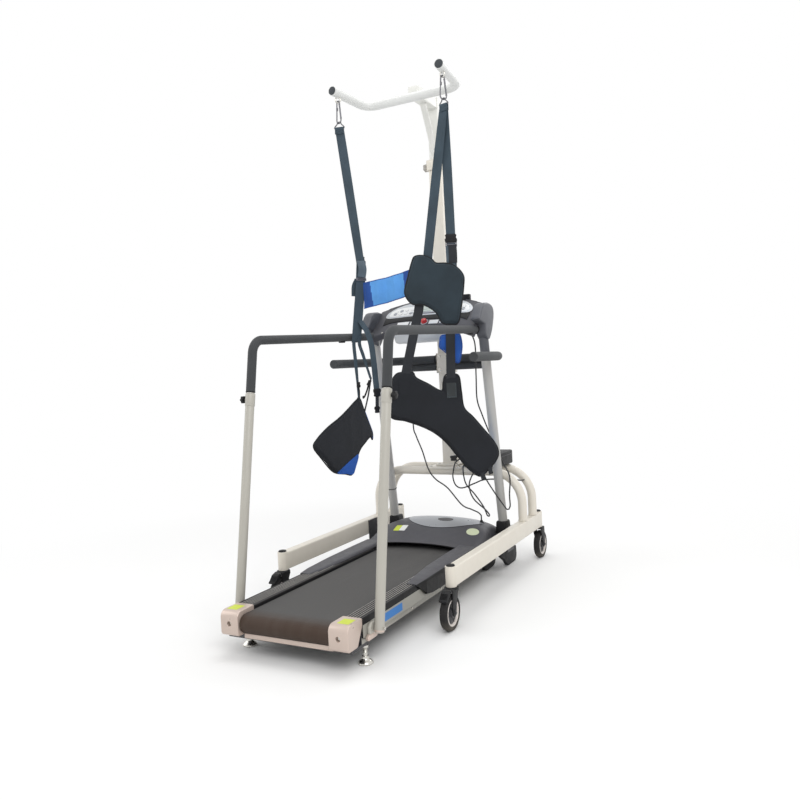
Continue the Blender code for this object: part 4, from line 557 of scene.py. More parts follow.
def fanFaces(count, rings):
    # a centre point, then rings about it
    faces = []
    for step in range(count):
        after = (step + 1) % count
        faces.append((0, 1 + step, 1 + after))
        for ring in range(rings - 1):
            near, far = 1 + ring * count, 1 + (ring + 1) * count
            faces.append((near + step, far + step, far + after, near + after))
    return faces


def smoothPath(points, spacing, cyclic=False):
    # points about a spacing apart, on a smooth curve through the given ones
    points = [Vector(p) for p in points]
    if cyclic:
        padded = [points[-1]] + points + points[:2]
    else:
        padded = [2 * points[0] - points[1]] + points + [2 * points[-1] - points[-2]]
    path = []
    for a, b, c, d in zip(padded, padded[1:], padded[2:], padded[3:]):
        steps = max(1, round((c - b).length / spacing))
        for step in range(steps):
            t = step / steps
            path.append(0.5 * (2 * b + (c - a) * t + (2 * a - 5 * b + 4 * c - d) * t * t
                               + (3 * b - a - 3 * c + d) * t ** 3))
    return path if cyclic else path + [points[-1]]


def startTree(name, sockets):
    tree = bpy.data.node_groups.new(name, "GeometryNodeTree")
    for label, kind, value in [("Geometry", "Geometry", None), *sockets, ("Material", "Material", None)]:
        socket = tree.interface.new_socket(label, in_out="INPUT", socket_type="NodeSocket" + kind)
        if value is not None:
            socket.default_value = value
    tree.interface.new_socket("Geometry", in_out="OUTPUT", socket_type="NodeSocketGeometry")
    return tree, addNode(tree, "NodeGroupInput").outputs


def endTree(tree, shape, given):
    real = addNode(tree, "GeometryNodeRealizeInstances", {0: shape})
    finish = addNode(tree, "GeometryNodeSetMaterial", {"Geometry": real.outputs[0], "Material": given["Material"]})
    addNode(tree, "NodeGroupOutput", {"Geometry": finish.outputs[0]})
    return tree


def runTree(name, seed, tree, values, smooth=40):
    recipe = seed.modifiers.new("recipe", "NODES")
    recipe.node_group = tree
    for item in tree.interface.items_tree:
        if item.in_out == "INPUT" and item.name in values:
            recipe[item.identifier] = values[item.name]
    mesh = takeMesh(seed)
    mesh.name = name
    shadeRound(mesh, smooth)
    return newPiece(name, mesh)


def pathSeed(points, cyclic=False):
    mesh = bpy.data.meshes.new("pathSeed")
    edges = [(i, i + 1) for i in range(len(points) - 1)] + ([(len(points) - 1, 0)] if cyclic else [])
    mesh.from_pydata([tuple(p) for p in points], edges, [])
    return newPiece("pathSeed", mesh)


def makeTubeTree():
    # a round bar along corners, each of them bent to an arc
    tree, given = startTree("bentTube", [("Bend Radius", "Float", 0.0), ("Bend Steps", "Int", 12),
                                         ("Tube Radius", "Float", 0.01), ("Sides", "Int", 32)])
    line = addNode(tree, "GeometryNodeMeshToCurve", {"Mesh": given["Geometry"]})
    bend = addNode(tree, "GeometryNodeFilletCurve", {
        "Curve": line.outputs[0], "Count": given["Bend Steps"], "Radius": given["Bend Radius"], "Limit Radius": True},
        mode="POLY")
    ring = addNode(tree, "GeometryNodeCurvePrimitiveCircle", {"Resolution": given["Sides"],
                                                              "Radius": given["Tube Radius"]})
    sweep = addNode(tree, "GeometryNodeCurveToMesh", {
        "Curve": bend.outputs[0], "Profile Curve": ring.outputs[0], "Fill Caps": True})
    return endTree(tree, sweep.outputs[0], given)


def makeStitchTree():
    # thread stitches at an even pitch along a line, each a small bead drawn out along it
    tree, given = startTree("stitchRow", [("Pitch", "Float", 0.004), ("Stitch", "Float", 0.0014),
                                          ("Thread", "Float", 0.0004)])
    line = addNode(tree, "GeometryNodeMeshToCurve", {"Mesh": given["Geometry"]})
    spots = addNode(tree, "GeometryNodeCurveToPoints", {"Curve": line.outputs[0], "Length": given["Pitch"]},
                    mode="LENGTH")
    bead = addNode(tree, "GeometryNodeMeshIcoSphere", {"Radius": 1.0, "Subdivisions": 1})
    turn = addNode(tree, "FunctionNodeAlignRotationToVector", {"Vector": spots.outputs["Tangent"]}, axis="Z")
    size = addNode(tree, "ShaderNodeCombineXYZ", {"X": given["Thread"], "Y": given["Thread"], "Z": given["Stitch"]})
    place = addNode(tree, "GeometryNodeInstanceOnPoints", {
        "Points": spots.outputs["Points"], "Instance": bead.outputs["Mesh"], "Rotation": turn.outputs[0],
        "Scale": size.outputs[0]})
    return endTree(tree, place.outputs[0], given)


def makeBoltTree():
    # bolt heads on washers at the seed's points, facing each point's own direction
    tree, given = startTree("boltHeads", [
        ("Head Radius", "Float", 0.006), ("Head Height", "Float", 0.004), ("Washer Radius", "Float", 0.008),
        ("Washer Height", "Float", 0.0012), ("Head Sides", "Int", 6)])
    parts = addNode(tree, "GeometryNodeJoinGeometry")
    lift = calculate(tree, "MULTIPLY_ADD", given["Head Height"], 0.5, given["Washer Height"])
    half = calculate(tree, "MULTIPLY", given["Washer Height"], 0.5)
    for part, rise, sides in (("Head ", lift, given["Head Sides"]), ("Washer ", half, 28)):
        disc = addNode(tree, "GeometryNodeMeshCylinder", {
            "Vertices": sides, "Radius": given[part + "Radius"], "Depth": given[part + "Height"]})
        offset = addNode(tree, "ShaderNodeCombineXYZ", {"Z": rise})
        move = addNode(tree, "GeometryNodeTransform", {"Geometry": disc.outputs["Mesh"],
                                                       "Translation": offset.outputs[0]})
        feed(tree, parts, {0: move.outputs[0]})
    facing = addNode(tree, "GeometryNodeInputNamedAttribute", {"Name": "facing"}, data_type="FLOAT_VECTOR")
    turn = addNode(tree, "FunctionNodeAlignRotationToVector", {"Vector": facing.outputs["Attribute"]}, axis="Z")
    place = addNode(tree, "GeometryNodeInstanceOnPoints", {
        "Points": given["Geometry"], "Instance": parts.outputs[0], "Rotation": turn.outputs[0]})
    return endTree(tree, place.outputs[0], given)


tubeTree = makeTubeTree()
stitchTree = makeStitchTree()
boltTree = makeBoltTree()


def bentTube(name, corners, radius, material, bendRadius, bendSteps, sides=32):
    return runTree(name, pathSeed(corners), tubeTree, {
        "Bend Radius": bendRadius, "Bend Steps": bendSteps, "Tube Radius": radius, "Sides": sides,
        "Material": material}, 50)


def stitches(name, line, material, pitch=0.0042, stitch=0.0015, thread=0.00045, cyclic=False):
    return runTree(name, pathSeed(line, cyclic), stitchTree, {
        "Pitch": pitch, "Stitch": stitch, "Thread": thread, "Material": material})


def boltHeads(name, spots, material, headRadius, headHeight, washerRadius, washerHeight, headSides=6):
    # spots are (point, facing)
    mesh = bpy.data.meshes.new("boltSeed")
    mesh.from_pydata([tuple(point) for point, facing in spots], [], [])
    facing = mesh.attributes.new("facing", "FLOAT_VECTOR", "POINT")
    for item, (point, direction) in zip(facing.data, spots):
        item.vector = unit(direction)
    return runTree(name, newPiece("boltSeed", mesh), boltTree, {
        "Head Radius": headRadius, "Head Height": headHeight, "Washer Radius": washerRadius,
        "Washer Height": washerHeight, "Head Sides": headSides, "Material": material}, 30)


def polyCurve(name, path, radius, sides, cyclic=False):
    curve = bpy.data.curves.new(name, "CURVE")
    curve.dimensions = "3D"
    curve.bevel_depth, curve.bevel_resolution, curve.use_fill_caps = radius, sides, True
    spline = curve.splines.new("POLY")
    spline.points.add(len(path) - 1)
    for spot, point in zip(spline.points, path):
        spot.co = (*point, 1.0)
    spline.use_cyclic_u = cyclic
    return curve


def pathTube(name, path, radius, material, cyclic, sides=5):
    # a round bar along a path that is already smooth
    mesh = takeMesh(newPiece(name, polyCurve(name, path, radius, sides, cyclic)))
    shadeRound(mesh, 50)
    return newPiece(name, mesh, None, material)


def circlePath(centre, across, up, radius, steps):
    return [Vector(centre) + unit(across) * x + unit(up) * y for x, y in roundPoints(radius, steps)]


def ringPiece(name, centre, axis, radius, wire, material, steps=40):
    # a round bead about an axis: a weld, an O ring or a wire eye
    axis = unit(axis)
    across = axis.orthogonal().normalized()
    return pathTube(name, circlePath(centre, across, axis.cross(across), radius, steps), wire, material, True, 3)

# ---- cables, on the points of the model's own routes

cableSizes = {"diameter": 0.006, "spacing": 0.008}
cableRoutes = {
    "cable_console_left": [
        (-0.100, 0.415, 1.0477), (-0.100, 0.415, 1.026), (-0.112, 0.422, 0.850), (-0.120, 0.425, 0.650),
        (-0.108, 0.425, 0.597), (-0.083, 0.430, 0.528), (-0.057, 0.430, 0.446), (-0.024, 0.430, 0.401),
        (0.034, 0.430, 0.362), (0.100, 0.430, 0.2883), (0.146, 0.430, 0.2693), (0.178, 0.430, 0.2563),
        (0.190, 0.430, 0.2443), (0.190, 0.430, 0.2263)],
    "cable_box_loop": [
        (0.110, 0.4712, 0.4713), (0.110, 0.458, 0.4713), (0.109, 0.440, 0.444), (0.125, 0.428, 0.384),
        (0.165, 0.428, 0.338), (0.204, 0.428, 0.284), (0.222, 0.424, 0.246), (0.236, 0.412, 0.252),
        (0.222, 0.404, 0.276), (0.168, 0.402, 0.325), (0.150, 0.406, 0.385), (0.166, 0.436, 0.443),
        (0.175, 0.458, 0.4713), (0.175, 0.4712, 0.4713)],
    "cable_arch": [
        (0.0717, 0.5205, 0.4803), (0.0620, 0.5205, 0.4803), (0.057, 0.500, 0.476), (0.056, 0.475, 0.466),
        (0.055, 0.458, 0.440), (0.054, 0.450, 0.406), (0.068, 0.448, 0.371), (0.100, 0.447, 0.361),
        (0.158, 0.447, 0.383), (0.195, 0.450, 0.398), (0.228, 0.462, 0.401), (0.252, 0.486, 0.398),
        (0.282, 0.520, 0.396), (0.312, 0.556, 0.386), (0.328, 0.580, 0.380), (0.331, 0.5977, 0.378),
        (0.331, 0.6117, 0.378)],
    "cable_console_right": [
        (0.180, 0.405, 1.0837), (0.180, 0.405, 1.062), (0.200, 0.424, 1.000), (0.194, 0.436, 0.860),
        (0.192, 0.440, 0.757), (0.208, 0.448, 0.690), (0.233, 0.460, 0.610), (0.262, 0.4700, 0.530),
        (0.290, 0.468, 0.471), (0.318, 0.462, 0.415), (0.318, 0.450, 0.336), (0.322, 0.440, 0.288),
        (0.312, 0.431, 0.276), (0.294, 0.427, 0.300), (0.258, 0.424, 0.352), (0.220, 0.426, 0.412),
        (0.208, 0.440, 0.446), (0.207, 0.458, 0.4713), (0.207, 0.4712, 0.4713)],
}


def layCable(node, route):
    path = [Vector(route[0])] + smoothPath(route[1:-1], cableSizes["spacing"]) + [Vector(route[-1])]
    curve = polyCurve(node, path, cableSizes["diameter"] / 2, 4)
    curve.splines[0].use_smooth = True
    cable = newPiece(node + "_cord", curve, "frame", cableBlack)
    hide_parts(node)


for cableNode, cableRoute in cableRoutes.items():
    layCable(cableNode, cableRoute)
print("cables are laid")

# ---- the arch: two bent tubes, the plate that carries the column, and its bolts

arch = {"legX": 0.3585, "foot": 0.2173, "crown": 0.430, "rearY": 0.4955, "frontY": 0.631, "radius": 0.019,
        "bend": 0.135, "plateHalf": 0.085, "plateTop": 0.4487}


def buildArch():
    legX, low, high, half = arch["legX"], arch["foot"], arch["crown"], arch["plateHalf"]
    pieces = []
    for y in (arch["rearY"], arch["frontY"]):
        corners = [(-legX, y, low), (-legX, y, high), (legX, y, high), (legX, y, low)]
        pieces.append(bentTube("archTube", corners, arch["radius"], creamPaint, arch["bend"], 18))
        pieces += [ringPiece("archWeld", (side * legX, y, low + 0.0016), upward, arch["radius"] + 0.0004, 0.0017,
                             creamPaint)
                   for side in (-1, 1)]
    pieces.append(boxPiece("archPlate", (-half, arch["rearY"] - 0.024, high + 0.0067),
                           (half, arch["frontY"] + 0.024, arch["plateTop"]), creamPaint, 0.003))
    spots = [((x, y, arch["plateTop"]), upward) for x in (-0.070, 0.070)
             for y in (arch["rearY"] - 0.010, arch["frontY"] + 0.010)]
    pieces.append(boltHeads("archBolts", spots, brightZinc, 0.0062, 0.0042, 0.0078, 0.0010))
    standFor("arch_frame_tubes", pieces, "frame", "arch_frame")


buildArch()

# ---- the two legs on the floor: rectangular tube between round sockets with black caps

legs = {"x": 0.3585, "half": 0.020, "low": 0.149, "high": 0.217, "rearY": -0.286, "frontY": 0.701,
        "socket": 0.0195, "cap": 0.0155, "edge": 0.0055}


def buildLeg(side, word):
    x, low, high, cap = side * legs["x"], legs["low"], legs["high"], legs["cap"]
    pieces = [boxPiece("legBeam", (x - legs["half"], legs["rearY"], low), (x + legs["half"], legs["frontY"], high),
                       creamPaint, legs["edge"], 4)]
    profile = [(0, 0.0078), (cap * 0.55, 0.0076), (cap * 0.88, 0.0062), (cap, 0.0035), (cap, 0.0), (0, 0.0)]
    for y in (legs["rearY"], legs["frontY"]):
        pieces += [rodPiece("legSocket", legs["socket"], (x, y, low - 0.002), (x, y, high + 0.002), creamPaint, 48,
                            0.0012),
                   turnedPiece("legCap", profile, (x, y, high + 0.0008), upward, blackPlastic, 40)]
    bolts = [((x - side * legs["half"], y, 0.186), (-side, 0, 0)) for y in (0.362, 0.402)]
    pieces.append(boltHeads("legBolts", bolts, brightZinc, 0.0055, 0.0034, 0.0074, 0.0009))
    standFor("frame_leg_tube_" + word, pieces, "frame", "frame_leg_" + word)


for side, word in bothSides:
    buildLeg(side, word)

# ---- column, collar, flange and clamp

column = {"y": 0.561, "half": 0.030, "low": 0.4495, "top": 1.850, "flangeHalf": 0.055, "flange": 0.008, "collar": 0.034}


def buildColumn():
    y, half, low, top = column["y"], column["half"], column["low"], column["top"]
    flange, collar, seat = column["flangeHalf"], column["collar"], column["low"] + column["flange"]
    outline = [(-half, -half), (half, -half), (half, half), (-half, half)]
    middle = (top + low) / 2
    shaft = prismPiece("columnShaft", outline, top - low, Matrix.Translation((0, y, middle)), creamPaint, 0.0045, 4)
    bore = prismPiece("columnBore", [(a * 0.875, b * 0.875) for a, b in outline], top - low + 0.02,
                      Matrix.Translation((0, y, middle + 0.03)), blackPlastic)
    pieces = [cutWith(shaft, bore, 35),
              boxPiece("columnFlange", (-flange, y - flange, low), (flange, y + flange, seat), creamPaint, 0.002)]
    foot, head = top - 0.050, top - 0.050 + 0.046
    for across in (-collar, collar):
        pieces += [boxPiece("collarCheek", (across - 0.0045, y - collar, foot), (across, y + collar, head), creamPaint,
                            0.002),
                   boxPiece("collarCheek", (-collar, y + across - 0.0045, foot), (collar, y + across, head), creamPaint,
                            0.002)]
    weld = [Vector((a, y + b, seat + 0.0008)) for a, b in outline]
    pieces.append(pathTube("flangeWeld", weld, 0.0022, creamPaint, True, 3))
    spots = [((a, y + b, seat), upward) for a in (-0.042, 0.042) for b in (-0.042, 0.042)]
    pieces += [boltHeads("flangeBolts", spots, brightZinc, 0.0055, 0.0042, 0.0075, 0.0009),
               boltHeads("collarNut", [((collar, y, top - 0.027), (1, 0, 0))], brightZinc, 0.0085, 0.0055, 0.0098,
                         0.0012)]
    standFor("outer_column_tube", pieces, "frame", "outer_column")


buildColumn()

# ---- the rising inner column with its boom and brace

lift = {"half": 0.0257, "low": 1.300, "top": 2.122, "boomHalf": 0.025, "boomTop": 2.121, "boomLow": 2.072,
        "boomFront": 0.347, "brace": 0.014, "braceY": 0.428, "braceZ": 2.097, "braceFoot": 1.870}


def buildLift():
    y, half, top, boom = column["y"], lift["half"], lift["top"], lift["boomHalf"]
    front = y - half
    head, foot = Vector((0, lift["braceY"], lift["braceZ"])), Vector((0, front + 0.010, lift["braceFoot"]))
    run = unit(foot - head)
    seam = [Vector((a, front - 0.0006, z)) for a, z in (
        (-half, lift["boomLow"]), (half, lift["boomLow"]), (half, lift["boomTop"]), (-half, lift["boomTop"]))]
    studs = [((half, y, z), (1, 0, 0)) for z in (1.93, 1.99, 2.05)]
    pieces = [boxPiece("innerColumn", (-half, front, lift["low"]), (half, y + half, top), mastPaint, 0.004, 4),
              boxPiece("boom", (-boom, lift["boomFront"], lift["boomLow"]), (boom, front + 0.004, lift["boomTop"]),
                       mastPaint,
                       0.004, 4),
              rodPiece("brace", lift["brace"], head, foot, mastPaint, 40),
              ringPiece("braceWeld", head + run * 0.031, run, lift["brace"] + 0.0004, 0.0018, mastPaint),
              pathTube("boomWeld", seam, 0.0020, mastPaint, True, 3),
              boltHeads("liftStuds", studs, brightZinc, 0.0045, 0.0022, 0.0060, 0.0006, 24),
              boxPiece("columnCap", (-half + 0.0015, front + 0.0015, top - 0.004),
                       (half - 0.0015, y + half - 0.0015, top - 0.0006), blackPlastic, 0.0012)]
    standFor("lift_column_tube", pieces, "lift", "lift_column")


buildLift()

# ---- spreader bar with black end plugs and wire eyes

spreader = {"endX": 0.244, "endY": 0.080, "endZ": 2.073, "bendX": 0.222, "bendY": 0.330, "z": 2.067,
            "radius": 0.019, "bend": 0.060, "eyeShare": 0.150, "eye": 0.011, "wire": 0.003, "eyeTurn": -15.0}


def eyePlace(side):
    share = spreader["eyeShare"]
    return Vector((side * (spreader["endX"] + (spreader["bendX"] - spreader["endX"]) * share),
                   spreader["endY"] + (spreader["bendY"] - spreader["endY"]) * share,
                   spreader["endZ"] - spreader["radius"] - spreader["eye"] + 0.002))


def ringFacing(side, degrees):
    return Vector((cos(radians(degrees)), side * sin(radians(degrees)), 0.0))


def buildSpreader():
    radius = spreader["radius"]
    ends, bends = [[Vector((side * spreader[x], spreader[y], spreader[z])) for side in (-1, 1)]
                   for x, y, z in (("endX", "endY", "endZ"), ("bendX", "bendY", "z"))]
    pieces = [bentTube("spreaderTube", [ends[0], *bends, ends[1]], radius, spreaderPaint, spreader["bend"], 16, 40)]
    profile = [(0, 0.0016), (radius * 0.80, 0.0014), (radius * 0.90, 0.0004), (radius * 0.90, -0.0185), (0, -0.0185)]
    for end, bend, side in zip(ends, bends, (-1, 1)):
        eye = circlePath(eyePlace(side), ringFacing(side, spreader["eyeTurn"]), upward, spreader["eye"], 36)
        pieces += [turnedPiece("spreaderPlug", profile, end, unit(end - bend), plugGrey, 48),
                   pathTube("spreaderEye", eye, spreader["wire"], brightZinc, True)]
    standFor("spreader_bar_tube", pieces, "lift", "spreader_bar")


buildSpreader()
print("arch, legs, column and spreader are made")

# ---- support handle: foam-covered arms swept back from a collar

handle = {"z": 0.940, "crossZ": 0.905, "radius": 0.019, "crossRadius": 0.0165, "crossHalf": 0.190, "collar": 0.0363,
          "wall": 0.006, "route": [(0.032, 0.561), (0.12, 0.558), (0.20, 0.537), (0.268, 0.483), (0.313, 0.396),
                                   (0.323, 0.296), (0.325, 0.211), (0.323, 0.100)]}


def buildHandle():
    y, z, crossZ, radius, collar = column["y"], handle["z"], handle["crossZ"], handle["radius"], handle["collar"]
    plug = [(0, 0.0006), (radius * 0.86, 0.0005), (radius * 0.97, -0.0006), (radius * 0.97, -0.0080), (0, -0.0080)]
    pieces = []
    for side in (-1, 1):
        path = smoothPath([(side * a, b, z) for a, b in handle["route"]], 0.010)
        pieces += [pathTube("handleArm", path, radius, gripFoam, False, 8),
                   turnedPiece("handlePlug", plug, path[-1] + Vector((0, 0.0008, 0)), (0, -1, 0), plugGrey, 44),
                   ringPiece("handleSeat", path[2], path[3] - path[1], radius + 0.0004, 0.0022, blackPlastic),
                   rodPiece("handleCross", handle["crossRadius"], (side * 0.032, y, crossZ),
                            (side * handle["crossHalf"], y, crossZ), gripFoam, 40, 0.003)]
        near, far = sorted((side * collar, side * (collar - handle["wall"])))
        pieces += [boxPiece("handleCollar", (*low, crossZ - 0.028), (*high, z + 0.028), creamPaint, 0.0022)
                   for low, high in (((near, y - collar), (far, y + collar)), ((-collar, y + near), (collar, y + far)))]
    spots = [((a, y - collar, height), (0, -1, 0)) for a in (-0.018, 0.018) for height in (crossZ - 0.014, z + 0.014)]
    pieces.append(boltHeads("collarScrews", spots, brightZinc, 0.0042, 0.0030, 0.0058, 0.0007))
    standFor("handle_frame_grips", pieces, "frame", "handle_frame")


buildHandle()

# ---- treadmill posts, foam handrails and clamp knobs

rails = {"x": 0.2755, "footY": -0.654, "footZ": 0.100, "topY": -0.525, "topZ": 0.849, "post": 0.016, "grip": 0.0165,
         "bendZ": 1.036, "frontX": 0.2395, "frontY": 0.3371, "frontZ": 1.056, "bend": 0.055}


def postAxis(height):
    share = (height - rails["footZ"]) / (rails["topZ"] - rails["footZ"])
    return rails["footY"] + (rails["topY"] - rails["footY"]) * share


def buildHandrail(side, word):
    x, top = side * rails["x"], rails["topZ"] + 0.0003
    start, bend = Vector((x, postAxis(top), top)), Vector((x, postAxis(rails["bendZ"]), rails["bendZ"]))
    front = Vector((side * rails["frontX"], rails["frontY"], rails["frontZ"]))
    rise = unit(bend - start)
    clip = front.lerp(bend, 0.075 if side > 0 else 0.33)     # the cord clip below the grip
    pieces = [bentTube("railGrip", [start + rise * 0.004, bend, front], rails["grip"], gripFoam, rails["bend"], 18, 40),
              rodPiece("railInner", rails["post"] - 0.0040, start - rise * 0.062, start + rise * 0.008, brightZinc, 32),
              ringPiece("railLip", start + rise * 0.0042, rise, rails["grip"] - 0.0012, 0.0022, blackPlastic),
              boxPiece("railClip", clip + Vector((-0.009, -0.014, -0.0215)), clip + Vector((0.009, 0.014, -0.0125)),
                       blackPlastic, 0.003)]
    standFor("handrail_grip_" + word, pieces, "frame", "handrail_" + word)


def buildPost(side, word):
    x, post = side * rails["x"], rails["post"]
    foot, top = Vector((x, rails["footY"], rails["footZ"])), Vector((x, rails["topY"], rails["topZ"]))
    rise = unit(top - foot)
    lug = [(-0.676, 0.094), (-0.630, 0.094), (-0.630, 0.118), (-0.645, 0.131), (-0.662, 0.131), (-0.676, 0.118)]
    plug = [(0, 0.0), (post * 0.80, 0.0004), (post * 0.98, 0.0024), (post + 0.0003, 0.0060), (post + 0.0003, 0.0100),
            (0, 0.0100)]
    heel = [(-0.688, 0.0800), (-0.636, 0.0800), (-0.630, 0.0860), (-0.630, 0.0980), (-0.676, 0.0980), (-0.688, 0.0900)]
    pieces = [rodPiece("postTube", post, foot, top, warmGreyPaint, 44, 0.0008),
              rodPiece("postMouth", post + 0.0015, top - rise * 0.046, top - rise * 0.0015, warmGreyPaint, 44, 0.0012),
              prismPiece("postLug", lug, 0.0115, sidePlane(side * 0.2500), warmGreyPaint, 0.004),
              turnedPiece("postPlug", plug, foot - rise * 0.0018, rise, capSilver, 44),
              prismPiece("postBracket", heel, 0.0135, sidePlane(side * 0.2505), capSilver, 0.003),
              boltHeads("postBolt", [((x + side * post, -0.652, 0.113), (side, 0, 0))], brightZinc, 0.0055, 0.0036,
                        0.0066,
                        0.0008)]
    standFor("post_tube_" + word, pieces, "frame", "post_" + word)


def buildKnob(side, word):
    height, start = rails["topZ"] - 0.022, rails["x"] + rails["post"] + 0.0018
    y = postAxis(height)
    cap = [(0, 0.0009), (0.0060, 0.0006), (0.0072, 0.0), (0.0072, -0.001), (0, -0.001)]
    pieces = [prismPiece("knobGrip", roundPoints(0.0125, 72, 0.0015, 6), 0.012,
                         sidePlane(side * (start + 0.012), y, height),
                         blackPlastic, 0.0016, 3, 50),
              rodPiece("knobStem", 0.006, (side * start, y, height), (side * (start + 0.008), y, height), blackPlastic,
                       28),
              turnedPiece("knobCap", cap, (side * (start + 0.0178), y, height), (side, 0, 0), blackPlastic, 32)]
    standFor("post_knob_grip_" + word, pieces, "post_knob_" + word, "post_knob_" + word)


for side, word in bothSides:
    buildHandrail(side, word)
    buildPost(side, word)
    buildKnob(side, word)
print("handle, posts and handrails are made")

# ---- casters: tyre on a pale rim, pressed fork, bearing head and foot lever

caster = {"x": 0.3585, "rearY": -0.286, "frontY": 0.701, "trail": 0.022, "wheel": 0.0625, "half": 0.015, "ribs": 8,
          "forkTop": 0.1455, "gap": 0.0015, "wall": 0.003, "reach": 0.012, "stemTop": 0.183,
          "pedalTip": 0.080, "pedalHalf": 0.015, "pedalAxis": 0.141, "barrel": 0.0038}


def casterHub(side, towards):
    socketY = caster["rearY"] if towards < 0 else caster["frontY"]
    return Vector((side * caster["x"], socketY + towards * caster["trail"], caster["wheel"]))


def mirroredProfile(half):
    return half + [(radius, -height) for radius, height in reversed(half) if height > 1e-6]


def buildWheel(side, towards, word):
    hub, radius, half = casterHub(side, towards), caster["wheel"], caster["half"]
    tyre = [(0.0462, 0.0112), (0.0478, 0.0128), (0.0520, 0.0139), (0.0568, 0.0138), (0.0596, 0.0122), (0.0614, 0.0092),
            (radius - 0.0002, 0.0048), (radius, 0.0)]
    web = [(0.0062, half - 0.0006), (0.0150, half - 0.0006), (0.0172, half - 0.0018), (0.0180, 0.0078),
           (0.0215, 0.0062),
           (0.0392, 0.0062), (0.0392, 0.0)]
    rim = [(0.0390, 0.0066), (0.0405, 0.0090), (0.0420, 0.0124), (0.0442, 0.0134), (0.0466, 0.0124), (0.0470, 0.0)]
    pieces = [turnedPiece("wheelRing", mirroredProfile(ring), hub, (1, 0, 0), material, 72)
              for ring, material in ((tyre, tyreRubber), (web, darkSteelPaint), (rim, rimPlastic))]
    for face in (-1, 1):
        for rib in range(caster["ribs"]):
            turn = tau * (rib + 0.5) / caster["ribs"]
            out = Vector((0, cos(turn), sin(turn)))
            start = hub + Vector((face * 0.0062, 0, 0)) + out * 0.0165
            pieces.append(rodPiece("wheelRib", 0.0018, start, start + out * 0.0235, darkSteelPaint, 10))
    standFor("caster_tyre_" + word, pieces, "wheel_" + word, "caster_wheel_" + word)


def buildFork(side, towards, word):
    hub, top, inner = casterHub(side, towards), caster["forkTop"], caster["half"] + caster["gap"]
    x, socketY, outer = hub.x, hub.y - towards * caster["trail"], inner + caster["wall"]
    plate = [(0, 0), (0.0245, 0), (0.0260, -0.0014), (0.0260, -0.0050), (0.0240, -0.0066), (0, -0.0066)]
    head = [(0, 0.0030), (0.0150, 0.0030), (0.0172, 0.0022), (0.0190, 0.0004), (0.0190, -0.0022), (0, -0.0022)]
    rear, far = sorted((socketY - towards * 0.018, socketY + towards * (caster["trail"] + caster["reach"])))
    back, front = -0.018 - caster["trail"], caster["reach"]
    outline = [(back, 0.080), (front, 0.080), (front + 0.0006, 0.066), (0.0158, 0.020), (0.0140, 0.004)]
    outline += [(0.0128 * cos(turn), 0.0128 * sin(turn) - 0.0005) for turn in [-pi * step / 10 for step in range(1,
                                                                                                                 10)]]
    outline += [(-0.0142, 0.004), (-0.0200, 0.030), (-0.0330, 0.058), (back, 0.070)]
    outline = [(hub.y + towards * along, hub.z + rise) for along, rise in outline]
    reach = Vector((outer, 0, 0))
    pieces = [turnedPiece("forkPlate", plate, (x, socketY, top), upward, blackPlastic, 56),
              turnedPiece("forkHead", head, (x, socketY, top), upward, darkSteelPaint, 56),
              rodPiece("forkStem", 0.006, (x, socketY, top), (x, socketY, caster["stemTop"]), darkSteelPaint, 24),
              boxPiece("forkCrown", (x - outer, rear, top - 0.0068), (x + outer, far, top - 0.0008), blackPlastic,
                       0.0022)]
    pieces += [prismPiece("forkCheek", outline, caster["wall"], sidePlane(x + cheek * (inner + outer) / 2),
                          blackPlastic,
                          0.0011, 2) for cheek in (-1, 1)]
    pieces += [boltHeads("forkAxle", [(hub + reach * cheek, (cheek, 0, 0)) for cheek in (-1, 1)], darkSteelPaint,
                         0.0062,
                         0.0038, 0.0085, 0.0010),
               rodPiece("forkPin", 0.005, hub - reach, hub + reach, brightZinc, 20)]
    standFor("caster_fork_frame_" + word, pieces, "caster_" + word, "caster_fork_" + word)


def buildPedal(side, word):
    hub, wheel, barrel, half = casterHub(side, -1), caster["wheel"], caster["barrel"], caster["pedalHalf"]
    barrelAt = caster["reach"] + 0.0008 + barrel
    tip = caster["pedalTip"] - caster["trail"]
    outline = [(barrelAt + step, wheel + sqrt((wheel + 0.0048) ** 2 - (barrelAt + step) ** 2) + 0.0006)
               for step in (0.002, 0.008, 0.014, 0.020, 0.026)]
    outline += [(tip - 0.010, 0.1105), (tip - 0.003, 0.1108), (tip, 0.1145), (tip - 0.002, 0.1188),
                (tip - 0.008, 0.1222),
                (barrelAt + 0.018, 0.1400), (barrelAt + 0.006, 0.1436), (barrelAt, caster["pedalAxis"] + barrel)]
    outline = [(hub.y - along, height) for along, height in outline]
    axis = Vector((hub.x, hub.y - barrelAt, caster["pedalAxis"]))
    pieces = [prismPiece("pedalLever", outline, 2 * half, sidePlane(hub.x), blackPlastic, 0.0022, 3, 40),
              rodPiece("pedalBarrel", barrel, axis - Vector((half, 0, 0)), axis + Vector((half, 0, 0)), darkSteelPaint,
                       32,
                       0.0006)]
    slope = unit((0, -(tip - 0.008 - barrelAt - 0.018), 0.1222 - 0.1400))
    across = Vector((half - 0.003, 0, 0))
    for rib in range(5):
        spot = Vector((hub.x, hub.y - barrelAt - 0.020, 0.1396)) + slope * (0.0035 + 0.0045 * rib)
        pieces.append(rodPiece("pedalRib", 0.0011, spot - across, spot + across, blackPlastic, 12))
    standFor("brake_pedal_lever_" + word, pieces, "brake_pedal_" + word, "brake_pedal_" + word)


for side, word in bothSides:
    for towards, place in ((-1, "rear"), (1, "front")):
        buildWheel(side, towards, place + "_" + word)
        buildFork(side, towards, place + "_" + word)
    buildPedal(side, word)
print("casters and brake pedals are made")

# ---- the hood: a shell that follows the model's own rule, with its wings, inset and patches

